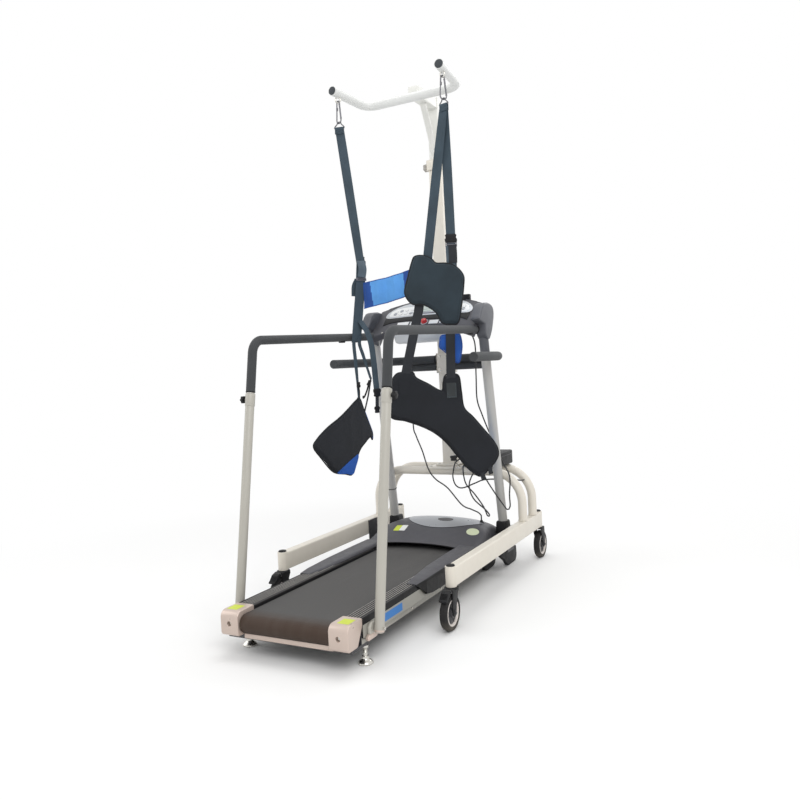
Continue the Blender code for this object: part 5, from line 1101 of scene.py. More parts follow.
hood = {"rearY": 0.190, "sweep": 0.045, "crestY": 0.410, "frontY": 0.585, "crest": 0.232, "rearHeight": 0.165,
        "wall": 0.003, "half": 0.262, "waist": 0.2335, "waistY": 0.440, "railTop": 0.1457, "noseY": 0.561, "low": 0.094,
        "frontHeight": 0.135, "easeLength": 0.20, "gland": (0.190, 0.430), "steps": 72, "rows": 64, "searches": 12}


def ease(value):
    value = min(max(value, 0.0), 1.0)
    return value * value * (3 - 2 * value)


def hoodSection(y):
    # half width, crest height, lower edge and squareness at a place along the hood
    if y < hood["crestY"]:
        climb = max((y - hood["rearY"]) / (hood["crestY"] - hood["rearY"]), 0.0)
        crest = hood["rearHeight"] + (hood["crest"] - hood["rearHeight"]) * sin(climb * pi / 2) ** 1.15
    else:
        fall = (y - hood["crestY"]) / (hood["frontY"] - hood["crestY"])
        crest = hood["crest"] - (hood["crest"] - hood["frontHeight"]) * fall ** 2.2
    width = hood["half"] + (hood["waist"] - hood["half"]) * ease((y - 0.30) / (hood["waistY"] - 0.30))
    low = hood["low"]
    edge = low + (hood["railTop"] + 0.0006 - low) * ease((y - 0.24) / 0.10) if y <= hood["noseY"] else low + 0.012
    return width, crest, edge, 0.20 + 0.22 * ease((y - hood["rearY"]) / hood["easeLength"])


def hoodBack(y, sideways):
    # how far the rear edge sweeps back beside the belt
    return hood["sweep"] * sideways ** 2 * (1 - ease((y - hood["rearY"]) / hood["easeLength"]))


def hoodPoint(y, across, lift=0.0):
    # a point of the skin: across runs from -1 to 1
    width, crest, edge, square = hoodSection(y)
    sideways = sin(across * pi / 2)
    fullness = max(cos(across * pi / 2), 0.0) ** square if abs(across) < 1 else 0.0
    return Vector(((width + lift) * sideways, y - hoodBack(y, sideways), edge + (crest + lift - edge) * fullness))


def hoodAt(x, y, lift=0.0):
    # the skin above a place seen from the top
    row = y
    for search in range(hood["searches"]):
        sideways = max(-1.0, min(1.0, x / hoodSection(row)[0]))
        row = y + hoodBack(row, sideways)
    return hoodPoint(row, asin(sideways) * 2 / pi, lift)


wing = {"railOuter": 0.2435, "railInner": 0.177, "overRail": 0.1538, "rearY": -0.330, "railFront": 0.100, "rise": 0.014}


def blackSidesAndShadeBelow(piece, side, past):
    # the faces that look outward past a line are made black, and the faces that look down are black as painted shade
    # under the part
    piece.data.materials.append(blackPlastic)
    for polygon in piece.data.polygons:
        if polygon.normal.x * side > 0.45 and polygon.center.x * side > past or polygon.normal.z < -0.5:
            polygon.material_index = len(piece.data.materials) - 1
    return piece


def hoodWing(side):
    # the flared cover that runs back over the foot rail, its stations as in the model, smoothed between
    inner, inside, over = wing["railOuter"] + 0.0010, wing["railInner"], wing["overRail"]
    wide = hood["half"] - 0.0014 - inner
    stations = [(wing["rearY"], inside + 0.030, 0.0015, 0.003, 0.004),
                (wing["rearY"] + 0.06, inside + 0.016, 0.006, 0.012, 0.044),
                (wing["rearY"] + 0.20, inside + 0.004, 0.011, 0.0155, 0.050),
                (wing["railFront"] - 0.02, inside, wing["rise"], wide, 0.052),
                (hood["rearY"] - hood["sweep"] + 0.042, inside, wing["rise"], wide, 0.052)]
    rings = [[a + (b - a) * step / 8 for a, b in zip(near, far)]
             for near, far in zip(stations, stations[1:]) for step in range(8)] + [stations[-1]]
    loops = []
    for y, inside, rise, flare, skirt in rings:
        outside, edge = inner + flare, min(0.005, rise * 0.7, flare * 0.5)
        section = [(inside, over), (inside + 0.0020, over + rise * 0.45), (inside + 0.0060, over + rise * 0.90),
                   (inside + 0.0120, over + rise), (outside - edge * 1.9, over + rise * 0.98),
                   (outside - edge * 0.8, over + rise * 0.80), (outside - edge * 0.15, over + rise * 0.35),
                   (outside, over - 0.004), (outside, over - skirt), (inner, over - skirt), (inner, over)]
        loops.append([(side * across, y, height) for across, height in section])
    return blackSidesAndShadeBelow(loftPiece("hoodWing", loops, hoodPlastic, 45), side, wing["railInner"] + 0.02)


def buildHood():
    steps, rows, rear, nose = hood["steps"], hood["rows"], hood["rearY"], hood["noseY"]
    places = [rear + (nose - rear) * row / rows for row in range(rows + 1)]
    places += [nose + 0.003, (nose + hood["frontY"]) / 2 + 0.004, hood["frontY"] - 0.0005]
    points = [hoodPoint(y, -1 + 2 * step / steps) for y in places for step in range(steps + 1)]
    base = (len(places) - 1) * (steps + 1)
    faces = gridFaces(len(places) - 1, steps) + [tuple(base + step for step in range(steps + 1))]
    mesh = meshOf("hoodSkin", points, faces)
    outwardFaces(mesh)
    crown = mesh.polygons[rows * steps // 2]
    if crown.normal.z < 0 and crown.center.z > 0.15:
        mesh.flip_normals()
    shadeRound(mesh, 45)
    lip = [hoodPoint(rear, -0.985 + 1.97 * step / 70) + Vector((0, -0.0008, -0.0006)) for step in range(71)]
    sleeve = [(0, 0.0), (0.0108, 0.0), (0.0108, 0.0022), (0.0072, 0.0044), (0.0068, 0.0078), (0.0056, 0.0092),
              (0.0050, 0.0118), (0, 0.0118)]
    glandFoot = (*hood["gland"], hoodAt(*hood["gland"]).z - 0.001)
    pieces = [thicken(newPiece("hoodSkin", mesh, None, hoodPlastic), hood["wall"]),
              pathTube("hoodLip", lip, 0.0022, blackPlastic, False, 4), hoodWing(-1), hoodWing(1),
              turnedPiece("hoodGland", sleeve, glandFoot, upward, blackPlastic, 40)]
    standFor("hood_shell", pieces, "frame", "hood", 45)


buildHood()
print("hood is made")

patches = {"insetPlace": (0.025, 0.420), "insetHalf": (0.176, 0.119), "darkOval": (0.040, 0.380),
           "darkHalf": (0.036, 0.021), "paleOval": (0.201, 0.298), "paleHalf": (0.027, 0.027),
           "leftLabel": (-0.150, 0.284), "leftHalf": (0.014, 0.021), "leftWhite": (-0.122, 0.286)}


def skinPatch(name, place, half, material, lift, depth, power=2.0, rings=14, steps=72):
    # a rounded patch that lies on the hood, laid out in plan and lifted on to the skin
    points = [hoodAt(*place, lift)]
    for ring in range(1, rings + 1):
        for x, y in roundPoints(1.0, steps):
            reach = ring / rings / (abs(x) ** power + abs(y) ** power) ** (1 / power)
            points.append(hoodAt(place[0] + half[0] * x * reach, place[1] + half[1] * y * reach, lift))
    return thicken(newPiece(name, meshOf(name, points, fanFaces(steps, rings), 50), None, material), depth)


def buildHoodPatches():
    (x, y), (halfX, halfY) = patches["insetPlace"], patches["insetHalf"]
    rim = [hoodAt(x + (halfX + 0.0008) * a, y + (halfY + 0.0008) * b, 0.0004) for a, b in roundPoints(1.0, 96)]
    pieces = [skinPatch("hoodInset", (x, y), (halfX, halfY), insetSilver, 0.0012, 0.0014, 2.0, 30, 96),
              pathTube("insetGroove", rim, 0.0010, blackPlastic, True, 3),
              skinPatch("insetBadge", patches["darkOval"], patches["darkHalf"], darkSteelPaint, 0.0019, 0.0008),
              skinPatch("paleBadge", patches["paleOval"], patches["paleHalf"], labelPale, 0.0008, 0.0007),
              skinPatch("limeLabel", patches["leftLabel"], patches["leftHalf"], labelLime, 0.0007, 0.0005, 14.0),
              skinPatch("whiteLabel", patches["leftWhite"], patches["leftHalf"], whiteKeys, 0.0007, 0.0005, 14.0)]
    gather("hood_inset_and_labels", pieces, "frame", 50)


buildHoodPatches()

# ---- foot rails, end caps and levelling feet

footRail = {"inner": 0.177, "outer": 0.2435, "front": 0.100, "rear": -0.6977, "plateLow": 0.146, "plateTop": 0.151,
            "ribTop": 0.1535, "firstRib": 0.183, "pitch": 0.0101, "ribs": 5, "skirtLow": 0.0915, "wall": 0.0035}


def buildFootRail(side, word):
    inner, outer, front, rear, low, plate, top, first, pitch, ribs, skirt, wall = footRail.values()
    outline = [(inner, low), (inner, plate - 0.0008), (inner + 0.0008, plate)]
    for rib in range(ribs):
        outline += [(first + rib * pitch + pitch * share, plate + height) for share, height in (
            (0.0, 0.0), (0.12, 0.0017), (0.22, 0.0023), (0.60, 0.0023), (0.70, 0.0017), (0.82, 0.0))]
    outline += [(outer - 0.0060, plate + 0.0005), (outer - 0.0045, top - 0.0004), (outer - 0.0030, top),
                (outer - 0.0008, top - 0.0012), (outer, top - 0.0035), (outer, 0.1300), (outer - 0.0013, 0.1288),
                (outer - 0.0013, 0.1132), (outer, 0.1120), (outer, skirt), (outer - wall, skirt), (outer - wall, low)]
    lay = planeMatrix((0, (rear + front) / 2, 0), (1, 0, 0), upward)
    section = prismPiece("railSection", [(side * across, height) for across, height in outline], front - rear, lay,
                         railPlastic)
    pieces = [blackSidesAndShadeBelow(section, side, outer - 0.004)]
    for rib in range(ribs):
        x = side * (first + pitch * (rib + 0.41))
        pieces.append(boxPiece("ribCrown", (x - 0.0009, rear, top - 0.0006), (x + 0.0009, front, top + 0.0001),
                               railCrown,
                               0.0003, 1))
    near, far = sorted((side * (outer - 0.0022), side * (outer + 0.0002)))
    pieces.append(boxPiece("railFlank", (near, rear, skirt), (far, front, 0.1318), railSilver, 0.0002, 1))
    if side > 0:
        pieces.append(boxPiece("blueLabel", (outer - 0.0004, -0.574, 0.0990), (outer + 0.0005, -0.438, 0.1255),
                               labelBlue,
                               0.0002, 1))
    standFor("foot_rail_step_" + word, pieces, "frame", "foot_rail_" + word, 25)


endCap = {"rear": -0.786, "front": -0.698, "low": 0.074, "top": 0.155, "round": 0.024, "inner": 0.173, "outer": 0.2435,
          "holeX": 0.208, "holeZ": 0.114, "holeRadius": 0.0085}


def buildEndCap(side, word):
    rear, front, low, top, bend, inner, outer, holeX, holeZ, bore = endCap.values()
    outline = [(rear, low + 0.010), (rear, top - bend)]
    outline += [(rear + bend * (1 - cos(turn)), top - bend * (1 - sin(turn)))
                for turn in [pi / 2 * step / 14 for step in range(1, 15)]]
    outline += [(front - 0.002, top), (front, top - 0.002), (front, 0.133), (front - 0.030, low + 0.004),
                (front - 0.036, low), (rear + 0.008, low), (rear + 0.003, low + 0.003)]
    block = prismPiece("capBlock", outline, outer - inner, sidePlane(side * (inner + outer) / 2), capSilver, 0.0075, 5,
                       50)
    hole = Vector((side * holeX, rear, holeZ))
    drill = rodPiece("capHole", bore, hole - Vector((0, 0.004, 0)), hole + Vector((0, 0.012, 0)), blackPlastic, 36)
    near, far = sorted((side * (inner + 0.020), side * (outer - 0.010)))
    pieces = [cutWith(block, drill),
              ringPiece("capHoleRim", hole + Vector((0, 0.0006, 0)), (0, 1, 0), bore + 0.0006, 0.0009, capSilver),
              boltHeads("axleScrew", [(hole + Vector((0, 0.0115, 0)), (0, -1, 0))], brightZinc, 0.0048, 0.0030, 0.0072,
                        0.0007),
              boxPiece("capLabel", (near, rear + 0.023, top - 0.0006), (far, front - 0.022, top + 0.0005), labelLime,
                       0.0003, 1)]
    standFor("end_cap_moulding_" + word, pieces, "frame", "end_cap_" + word)


levelFoot = {"x": 0.2275, "y": -0.666, "stem": 0.0075, "disc": 0.025, "pitch": 0.0015, "threads": 16}


def buildLevelFoot(side, word):
    x, y, stem, disc, pitch, threads = levelFoot.values()
    x *= side
    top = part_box("levelling_foot_" + word)[1][2]
    profile = [(0, top), (stem - 0.0008, top), (stem, top - 0.001)]
    for turn in range(threads):
        height = top - 0.0015 - turn * pitch
        profile += [(stem, height), (stem - 0.0006, height - pitch / 2)]
    profile += [(stem, 0.026), (0.0105, 0.0255), (0.0108, 0.0195), (0.0125, 0.0160), (0.0180, 0.0120), (0.0225, 0.0078),
                (disc - 0.0004, 0.0045), (disc, 0.0030), (disc - 0.0006, 0.0008), (disc - 0.0020, 0.0), (0, 0.0)]
    pieces = [turnedPiece("footTurned", profile, (x, y, 0.0), upward, brightZinc, 56),
              boltHeads("footNut", [((x, y, top - 0.0085), upward)], brightZinc, 0.0125, 0.0068, 0.0130, 0.0006)]
    standFor("levelling_foot_turned_" + word, pieces, "levelling_foot_" + word, "levelling_foot_" + word)


for side, word in bothSides:
    buildFootRail(side, word)
    buildEndCap(side, word)
    buildLevelFoot(side, word)

# ---- trims that dress the treadmill's own solids: side flanks, tail strip, wing skirts, bolts

trims = {"flankX": 0.236, "flankLow": 0.0708, "flankHigh": 0.0905, "tailY": -0.7560, "skirtRear": -0.275,
         "skirtFront": 0.180}


def stationOut(stations, place):
    # the value at a place between the stations
    if place <= stations[0][0]:
        return stations[0][1]
    for (near, nearOut), (far, farOut) in zip(stations, stations[1:]):
        if place <= far:
            return nearOut + (farOut - nearOut) * (place - near) / (far - near)
    return stations[-1][1]


def wingOutside(y):
    # how far out the wing's flank stands at a place along it
    inner = wing["railOuter"] + 0.0010
    return inner + stationOut([(wing["rearY"], 0.003), (wing["rearY"] + 0.06, 0.012), (wing["rearY"] + 0.20, 0.0155),
                               (wing["railFront"] - 0.02, hood["half"] - 0.0014 - inner), (0.2, 0.0161)], y)


def buildTrims():
    flankX, rear, front = trims["flankX"], trims["skirtRear"], trims["skirtFront"]
    pieces = []
    for side in (-1, 1):
        near, far = sorted((side * (flankX - 0.0010), side * (flankX + 0.0007)))
        bolts = [((side * (flankX + 0.0006), y, 0.081), (side, 0, 0)) for y in (-0.60, -0.36, -0.12)]
        loops = []
        for step in range(25):
            y = rear + (front - rear) * step / 24
            outside, grow = wingOutside(y), min(1.0, (y - rear + 0.004) / 0.05)
            high, low = wing["overRail"] - 0.0035, wing["overRail"] - 0.0535 * (0.86 + 0.14 * grow)
            loops.append([(side * (outside + out), y, height) for out, height in (
                (0.0007, high), (0.0007, low), (-0.0090, low - 0.0008), (-0.0090, low + 0.003), (-0.0006, low + 0.004),
                (-0.0006, high))])
        pieces += [boxPiece("sideFlank", (near, endCap["front"] + 0.002, trims["flankLow"]),
                            (far, footRail["front"], trims["flankHigh"]), railSilver, 0.0005, 2),
                   boltHeads("flankBolts", bolts, brightZinc, 0.0042, 0.0026, 0.0058, 0.0006),
                   loftPiece("wingSkirt", loops, blackPlastic, 45)]
    pieces.append(boxPiece("tailStrip", (-0.170, trims["tailY"] - 0.0022, 0.0630),
                           (0.170, trims["tailY"] + 0.0005, 0.0785),
                           capSilver, 0.0007, 2))
    gather("deck_trims", pieces, "frame")


buildTrims()
print("foot rails, end caps, feet and trims are made")

# ---- uprights in their boots, and the stand under the deck

upright = {"radius": 0.020, "foot": (0.2712, 0.4985, 0.104), "top": (0.2625, 0.367, 1.045), "bootInner": 0.2363,
           "bootOuter": 0.2972, "bootRear": 0.4565, "bootFront": 0.5285, "bootLow": 0.098, "bootTop": 0.216,
           "bootTaper": 0.24}


def uprightAt(side, height):
    share = (height - upright["foot"][2]) / (upright["top"][2] - upright["foot"][2])
    spot = Vector(upright["foot"]).lerp(Vector(upright["top"]), share)
    return Vector((side * spot.x, spot.y, spot.z))


def buildUpright(side, word):
    foot, top = [uprightAt(side, upright[end][2]) for end in ("foot", "top")]
    pieces = [rodPiece("uprightTube", upright["radius"], foot, top, lightGreyPaint, 56, 0.0012)]
    if side < 0:
        tab, half = uprightAt(side, 0.330) + Vector((0.004, 0.0215, 0)), Vector((0.004, 0.003, 0.030))
        pieces += [boxPiece("cableTie", tab - half, tab + half, blackPlastic, 0.0015),
                   ringPiece("tieLoop", uprightAt(side, 0.345), top - foot, upright["radius"] + 0.0012, 0.0015,
                             blackPlastic)]
    standFor("upright_tube_" + word, pieces, "frame", "upright_" + word)


def buildBoot(side, word):
    near, far = sorted((side * upright["bootInner"], side * upright["bootOuter"]))
    low, top = upright["bootLow"], upright["bootTop"]
    block = boxPiece("bootBlock", (near, upright["bootRear"], low), (far, upright["bootFront"], top), blackPlastic,
                     0.008, 4)
    boot = cutWith(block, rodPiece("bootPassage", upright["radius"] + 0.0003, uprightAt(side, 0.104),
                                   uprightAt(side, 0.260),
                                   blackPlastic, 48))
    # drawn in towards the top, as a moulded shoe is
    for vertex in boot.data.vertices:
        middle = uprightAt(side, vertex.co.z)
        away = Vector((vertex.co.x - middle.x, vertex.co.y - middle.y, 0))
        if away.length > upright["radius"] + 0.002:
            vertex.co -= away * upright["bootTaper"] * (vertex.co.z - low) / (top - low)
    standFor("upright_boot_moulding_" + word, [boot], "frame", "upright_boot_" + word)


for side, word in bothSides:
    buildUpright(side, word)
    buildBoot(side, word)

stand = {"top": 0.0697, "feetX": 0.2600, "footHalf": 0.008, "cheekX": 0.200, "cheekHalf": 0.007}


def buildStand():
    top = stand["top"]
    pieces = [boxPiece("standBar", (-0.254, 0.500, top - 0.022), (0.254, 0.530, top), blackPlastic, 0.003)]
    foot = [(0.440, top - 0.004), (0.470, top), (0.600, top), (0.646, top - 0.002), (0.650, 0.030), (0.646, 0.016),
            (0.638, 0.006), (0.622, 0.001), (0.600, 0.0), (0.545, 0.0), (0.530, 0.003), (0.500, 0.030)]
    cheek = [(0.392, 0.030), (0.410, 0.045), (0.500, top), (0.538, 0.024), (0.530, 0.010), (0.510, 0.002), (0.470, 0.0),
             (0.430, 0.0), (0.405, 0.010)]
    for side in (-1, 1):
        near, far = sorted((side * 0.194, side * 0.206))
        pieces += [prismPiece("standFoot", foot, 2 * stand["footHalf"], sidePlane(side * stand["feetX"]), blackPlastic,
                              0.0028,
                              3, 30),
                   prismPiece("standCheek", cheek, 2 * stand["cheekHalf"], sidePlane(side * stand["cheekX"]),
                              blackPlastic,
                              0.0024, 3, 30),
                   boxPiece("standBridge", (near, 0.470, top - 0.020), (far, 0.505, top - 0.004), blackPlastic, 0.002)]
    standFor("front_stand_mouldings", pieces, "frame", "front_stand")


buildStand()
print("uprights, boots and stand are made")

# ---- console: body with horns, panel with screen and keys, stop button

console = {"tilt": radians(41), "lowY": 0.330, "lowZ": 1.092, "depth": 0.187, "lowDroop": 0.055, "highDroop": 0.050,
           "half": 0.220, "thick": 0.034, "bodyHalf": 0.252, "hornIn": 0.243, "hornOut": 0.2875, "panel": 0.0023,
           "button": (0.0, 0.020), "buttonRadius": 0.013}
slopeUp = Vector((0.0, cos(console["tilt"]), sin(console["tilt"])))
slopeOut = Vector((0.0, -sin(console["tilt"]), cos(console["tilt"])))


def onConsole(across, along, out=0.0):
    return Vector((across, console["lowY"], console["lowZ"])) + slopeUp * along + slopeOut * out


def consoleLay(out):
    return planeMatrix(onConsole(0, 0, out), (1, 0, 0), slopeUp)


def consoleBand(name, lower, upper, high, material, edge=0.0008):
    # a raised strip whose lower and upper edges are given as (across, along) stations
    low = -0.001
    lower, upper = [[(p.x, p.y) for p in smoothPath([(a, b, 0) for a, b in span], 0.008)] for span in (lower, upper)]
    return prismPiece(name, lower + upper[::-1], high - low, consoleLay((low + high) / 2), material, edge, 2, 40)


def oblong(left, low, right, high):
    return [(left, low), (right, low), (right, high), (left, high)]


def mirrorSpan(span):
    return [(-a, b) for a, b in reversed(span[1:])] + list(span)


def setIn(piece, place):
    piece.matrix_world = place
    bpy.context.view_layer.update()
    return piece


def buildConsoleBody():
    thick, depth, button, bore = console["thick"], console["depth"], console["button"], console["buttonRadius"] + 0.0003
    spans = [(console["bodyHalf"] * (-1 + 2 * step / 56)) for step in range(57)]
    lower = [(across, -console["lowDroop"] * (across / console["half"]) ** 2) for across in spans]
    upper = [(across, depth - console["highDroop"] * (across / console["half"]) ** 2) for across in spans]
    slab = prismPiece("consoleSlab", lower + upper[::-1], thick, consoleLay(-thick / 2), hoodPlastic, 0.0060, 4, 50)
    pieces = [cutWith(slab, rodPiece("buttonBore", bore, onConsole(*button, 0.012), onConsole(*button, -0.014),
                                     hoodPlastic,
                                     48))]
    horn = [(0.276, 1.092), (0.338, 1.078), (0.3385, 1.036), (0.344, 1.026), (0.360, 1.013), (0.372, 1.0118),
            (0.384, 1.014),
            (0.400, 1.030), (0.415, 1.050), (0.430, 1.080), (0.440, 1.105), (0.4435, 1.122), (0.443, 1.135),
            (0.437, 1.149),
            (0.425, 1.158), (0.402, 1.165), (0.375, 1.168), (0.350, 1.166), (0.330, 1.160), (0.312, 1.145),
            (0.298, 1.124),
            (0.286, 1.109), (0.2775, 1.100)]
    hornThick = console["hornOut"] - console["hornIn"]
    for side in (-1, 1):
        cheek = prismPiece("consoleHorn", horn, hornThick, sidePlane(side * (console["hornIn"] + hornThick / 2)),
                           hornPlastic,
                           0.0105, 5, 42)
        socket = rodPiece("hornSocket", upright["radius"] + 0.0003, uprightAt(side, 0.950), uprightAt(side, 1.0453),
                          hornPlastic, 48)
        pieces += [cutWith(cheek, socket),
                   ringPiece("railCollar", (side * rails["frontX"], 0.3372, rails["frontZ"]), (0, 1, 0),
                             rails["grip"] + 0.0012, 0.0026, blackPlastic)]
    belly = boxPiece("consoleBelly", (-0.160, -0.045, -0.030), (0.160, 0.045, 0.030), consoleSilver, 0.016, 5)
    bellySlope = (0, cos(console["tilt"] * 0.5), sin(console["tilt"] * 0.5))
    chin = [(0.330, 1.070), (0.336, 1.036), (0.346, 1.020), (0.372, 1.0165), (0.392, 1.024), (0.400, 1.050),
            (0.400, 1.080)]
    cap = boxPiece("backCap", (-0.020, -0.011, -0.024), (0.020, 0.011, 0.0155), blackPlastic, 0.004, 4)
    pieces += [setIn(belly, planeMatrix(onConsole(0, 0.060, -thick - 0.022), (1, 0, 0), bellySlope)),
               prismPiece("consoleChin", chin, 0.300, sidePlane(0), consoleSilver, 0.009, 4, 30),
               setIn(cap, planeMatrix(onConsole(0.155, depth - 0.018), (1, 0, 0), (0, 1, 0)))]
    sleeve = [(0, 0.030), (0.0070, 0.030), (0.0070, 0.012), (0.0064, 0.0112), (0.0064, 0.0094), (0.0058, 0.0086),
              (0.0058, 0.0068), (0.0052, 0.0060), (0.0052, 0.0042), (0.0046, 0.0034), (0.0042, 0.0002), (0, 0.0002)]
    pieces += [turnedPiece("cableSleeve", sleeve, place, upward, blackPlastic, 32)
               for place in ((-0.100, 0.415, 1.048), (0.180, 0.405, 1.084))]
    bandLow = mirrorSpan([(0.0, 0.037), (0.060, 0.036), (0.120, 0.034), (0.170, 0.028), (0.203, 0.012)])
    bandHigh = mirrorSpan([(0.0, 0.0655), (0.060, 0.0645), (0.120, 0.0620), (0.170, 0.0590), (0.207, 0.0580)])
    pieces.append(consoleBand("wristBand", bandLow, bandHigh, 0.0026, blackPlastic))
    for near, far in ((0.024, 0.068), (0.076, 0.132)):
        for side in (-1, 1):
            lowSpan, highSpan = [[(side * near, a), (side * far, b)][::side] for a,
                                 b in ((0.005, 0.003), (0.029, 0.0275))]
            pieces.append(consoleBand("touchStrip", lowSpan, highSpan, 0.0014, whiteKeys, 0.0005))
    ring = circlePath(onConsole(*button, 0.0008), (1, 0, 0), slopeUp, 0.0160, 40)
    crest = [onConsole(a, b - 0.0042, 0.0006) for a, b in upper[4:-4]]
    screws = [(onConsole(x, -0.012 - 0.055 * (x / 0.22) ** 2 + 0.018, 0.0), slopeOut) for x in (-0.190, 0.190)]
    pieces += [pathTube("buttonRing", ring, 0.0016, consoleSilver, True, 4),
               pathTube("crestLine", crest, 0.0011, hornPlastic, False, 3),
               boltHeads("consoleScrews", screws, brightZinc, 0.0030, 0.0014, 0.0042, 0.0004, 24)]
    standFor("console_body_moulding", pieces, "frame", "console_body")


panelKeys = {"rows": 2, "columns": 4, "first": (0.088, 0.088), "pitch": (0.026, 0.024)}


def buildConsolePanel():
    crescent = [(0.0, 0.067), (0.050, 0.0665), (0.100, 0.065), (0.150, 0.062), (0.190, 0.061), (0.202, 0.064),
                (0.209, 0.070),
                (0.2112, 0.078), (0.2108, 0.088), (0.205, 0.102), (0.190, 0.121), (0.170, 0.137), (0.140, 0.152),
                (0.100, 0.163), (0.050, 0.170)]
    outline = crescent + [(0.0, 0.172)] + [(-a, b) for a, b in reversed(crescent[1:])]
    panel = console["panel"]
    bezel = oblong(-0.052, 0.078, 0.052, 0.146)
    opening, glass = [[(a * wide, 0.112 + (b - 0.112) * tall) for a, b in bezel] for wide,
                      tall in ((0.88, 0.80), (0.87, 0.79))]
    frameTop = prismPiece("screenBezel", bezel, 0.0052, consoleLay(0.0044), insetSilver, 0.0022, 3, 50)
    pieces = [prismPiece("panelPlate", outline, panel, consoleLay(panel / 2 + 0.0002), consoleSilver, 0.0009, 3, 50),
              cutWith(frameTop, prismPiece("screenHollow", opening, 0.006, consoleLay(0.0088), insetSilver)),
              prismPiece("screenGlass", glass, 0.0010, consoleLay(0.0061), screenGlass, 0.0003, 2)]
    for low in [0.091 + 0.016 * row for row in range(3)]:
        pieces.append(prismPiece("screenField", oblong(-0.040, low, 0.040, low + 0.009), 0.0004, consoleLay(0.0067),
                                 screenField))
    surround = [(0.078, 0.073), (0.186, 0.070), (0.196, 0.082), (0.188, 0.108), (0.168, 0.124), (0.130, 0.132),
                (0.082, 0.134), (0.074, 0.126)]
    button = [(0, 0.0018), (0.0060, 0.0018), (0.0074, 0.0013), (0.0078, 0.0004), (0.0078, -0.0004), (0, -0.0004)]
    (firstX, firstY), (pitchX, pitchY) = panelKeys["first"], panelKeys["pitch"]
    for side in (-1, 1):
        pieces.append(prismPiece("keyPlate", [(side * a, b) for a, b in surround], 0.0008, consoleLay(panel + 0.0005),
                                 whiteKeys, 0.0003, 2))
        for row in range(panelKeys["rows"]):
            for place in range(panelKeys["columns"]):
                spot = side * (firstX + pitchX * place), firstY + pitchY * row - 0.004 * max(0, place - 1) * row
                pieces += [turnedPiece("panelKey", button, onConsole(*spot, panel + 0.0008), slopeOut,
                                       whiteKeys if (row + place) % 3 else insetSilver, 28),
                           ringPiece("keyRing", onConsole(*spot, panel + 0.0009), slopeOut, 0.0084, 0.0004,
                                     darkSteelPaint,
                                     28)]
    pieces.append(pathTube("panelSeam", [onConsole(a, b, panel * 0.6) for a, b in outline], 0.0008, darkSteelPaint,
                           True, 3))
    standFor("console_panel_face", pieces, "frame", "console_panel")


def buildStopButton():
    radius = console["buttonRadius"]
    profile = [(radius * share, height) for share, height in (
        (0, 0.0150), (0.40, 0.0148), (0.72, 0.0140), (0.88, 0.0126), (0.93, 0.0104), (0.90, 0.0084), (0.985, 0.0070),
        (0.985, -0.0095), (0, -0.0095))]
    cap = turnedPiece("buttonCap", profile, onConsole(*console["button"]), slopeOut, stopRed, 56)
    standFor("stop_button_cap", [cap], "stop_button", "stop_button")


buildConsoleBody()
buildConsolePanel()
buildStopButton()
print("console is made")

# ---- control box with its lid, glands and plug, and the knob below the column's mouth

controlBox = {"low": (0.094, 0.4835, 0.4493), "high": (0.270, 0.6485, 0.5113), "edge": 0.007,
              "glands": (0.110, 0.175, 0.207), "glandZ": 0.4713, "glandLength": 0.012, "plug": (0.072, 0.5205, 0.4803)}


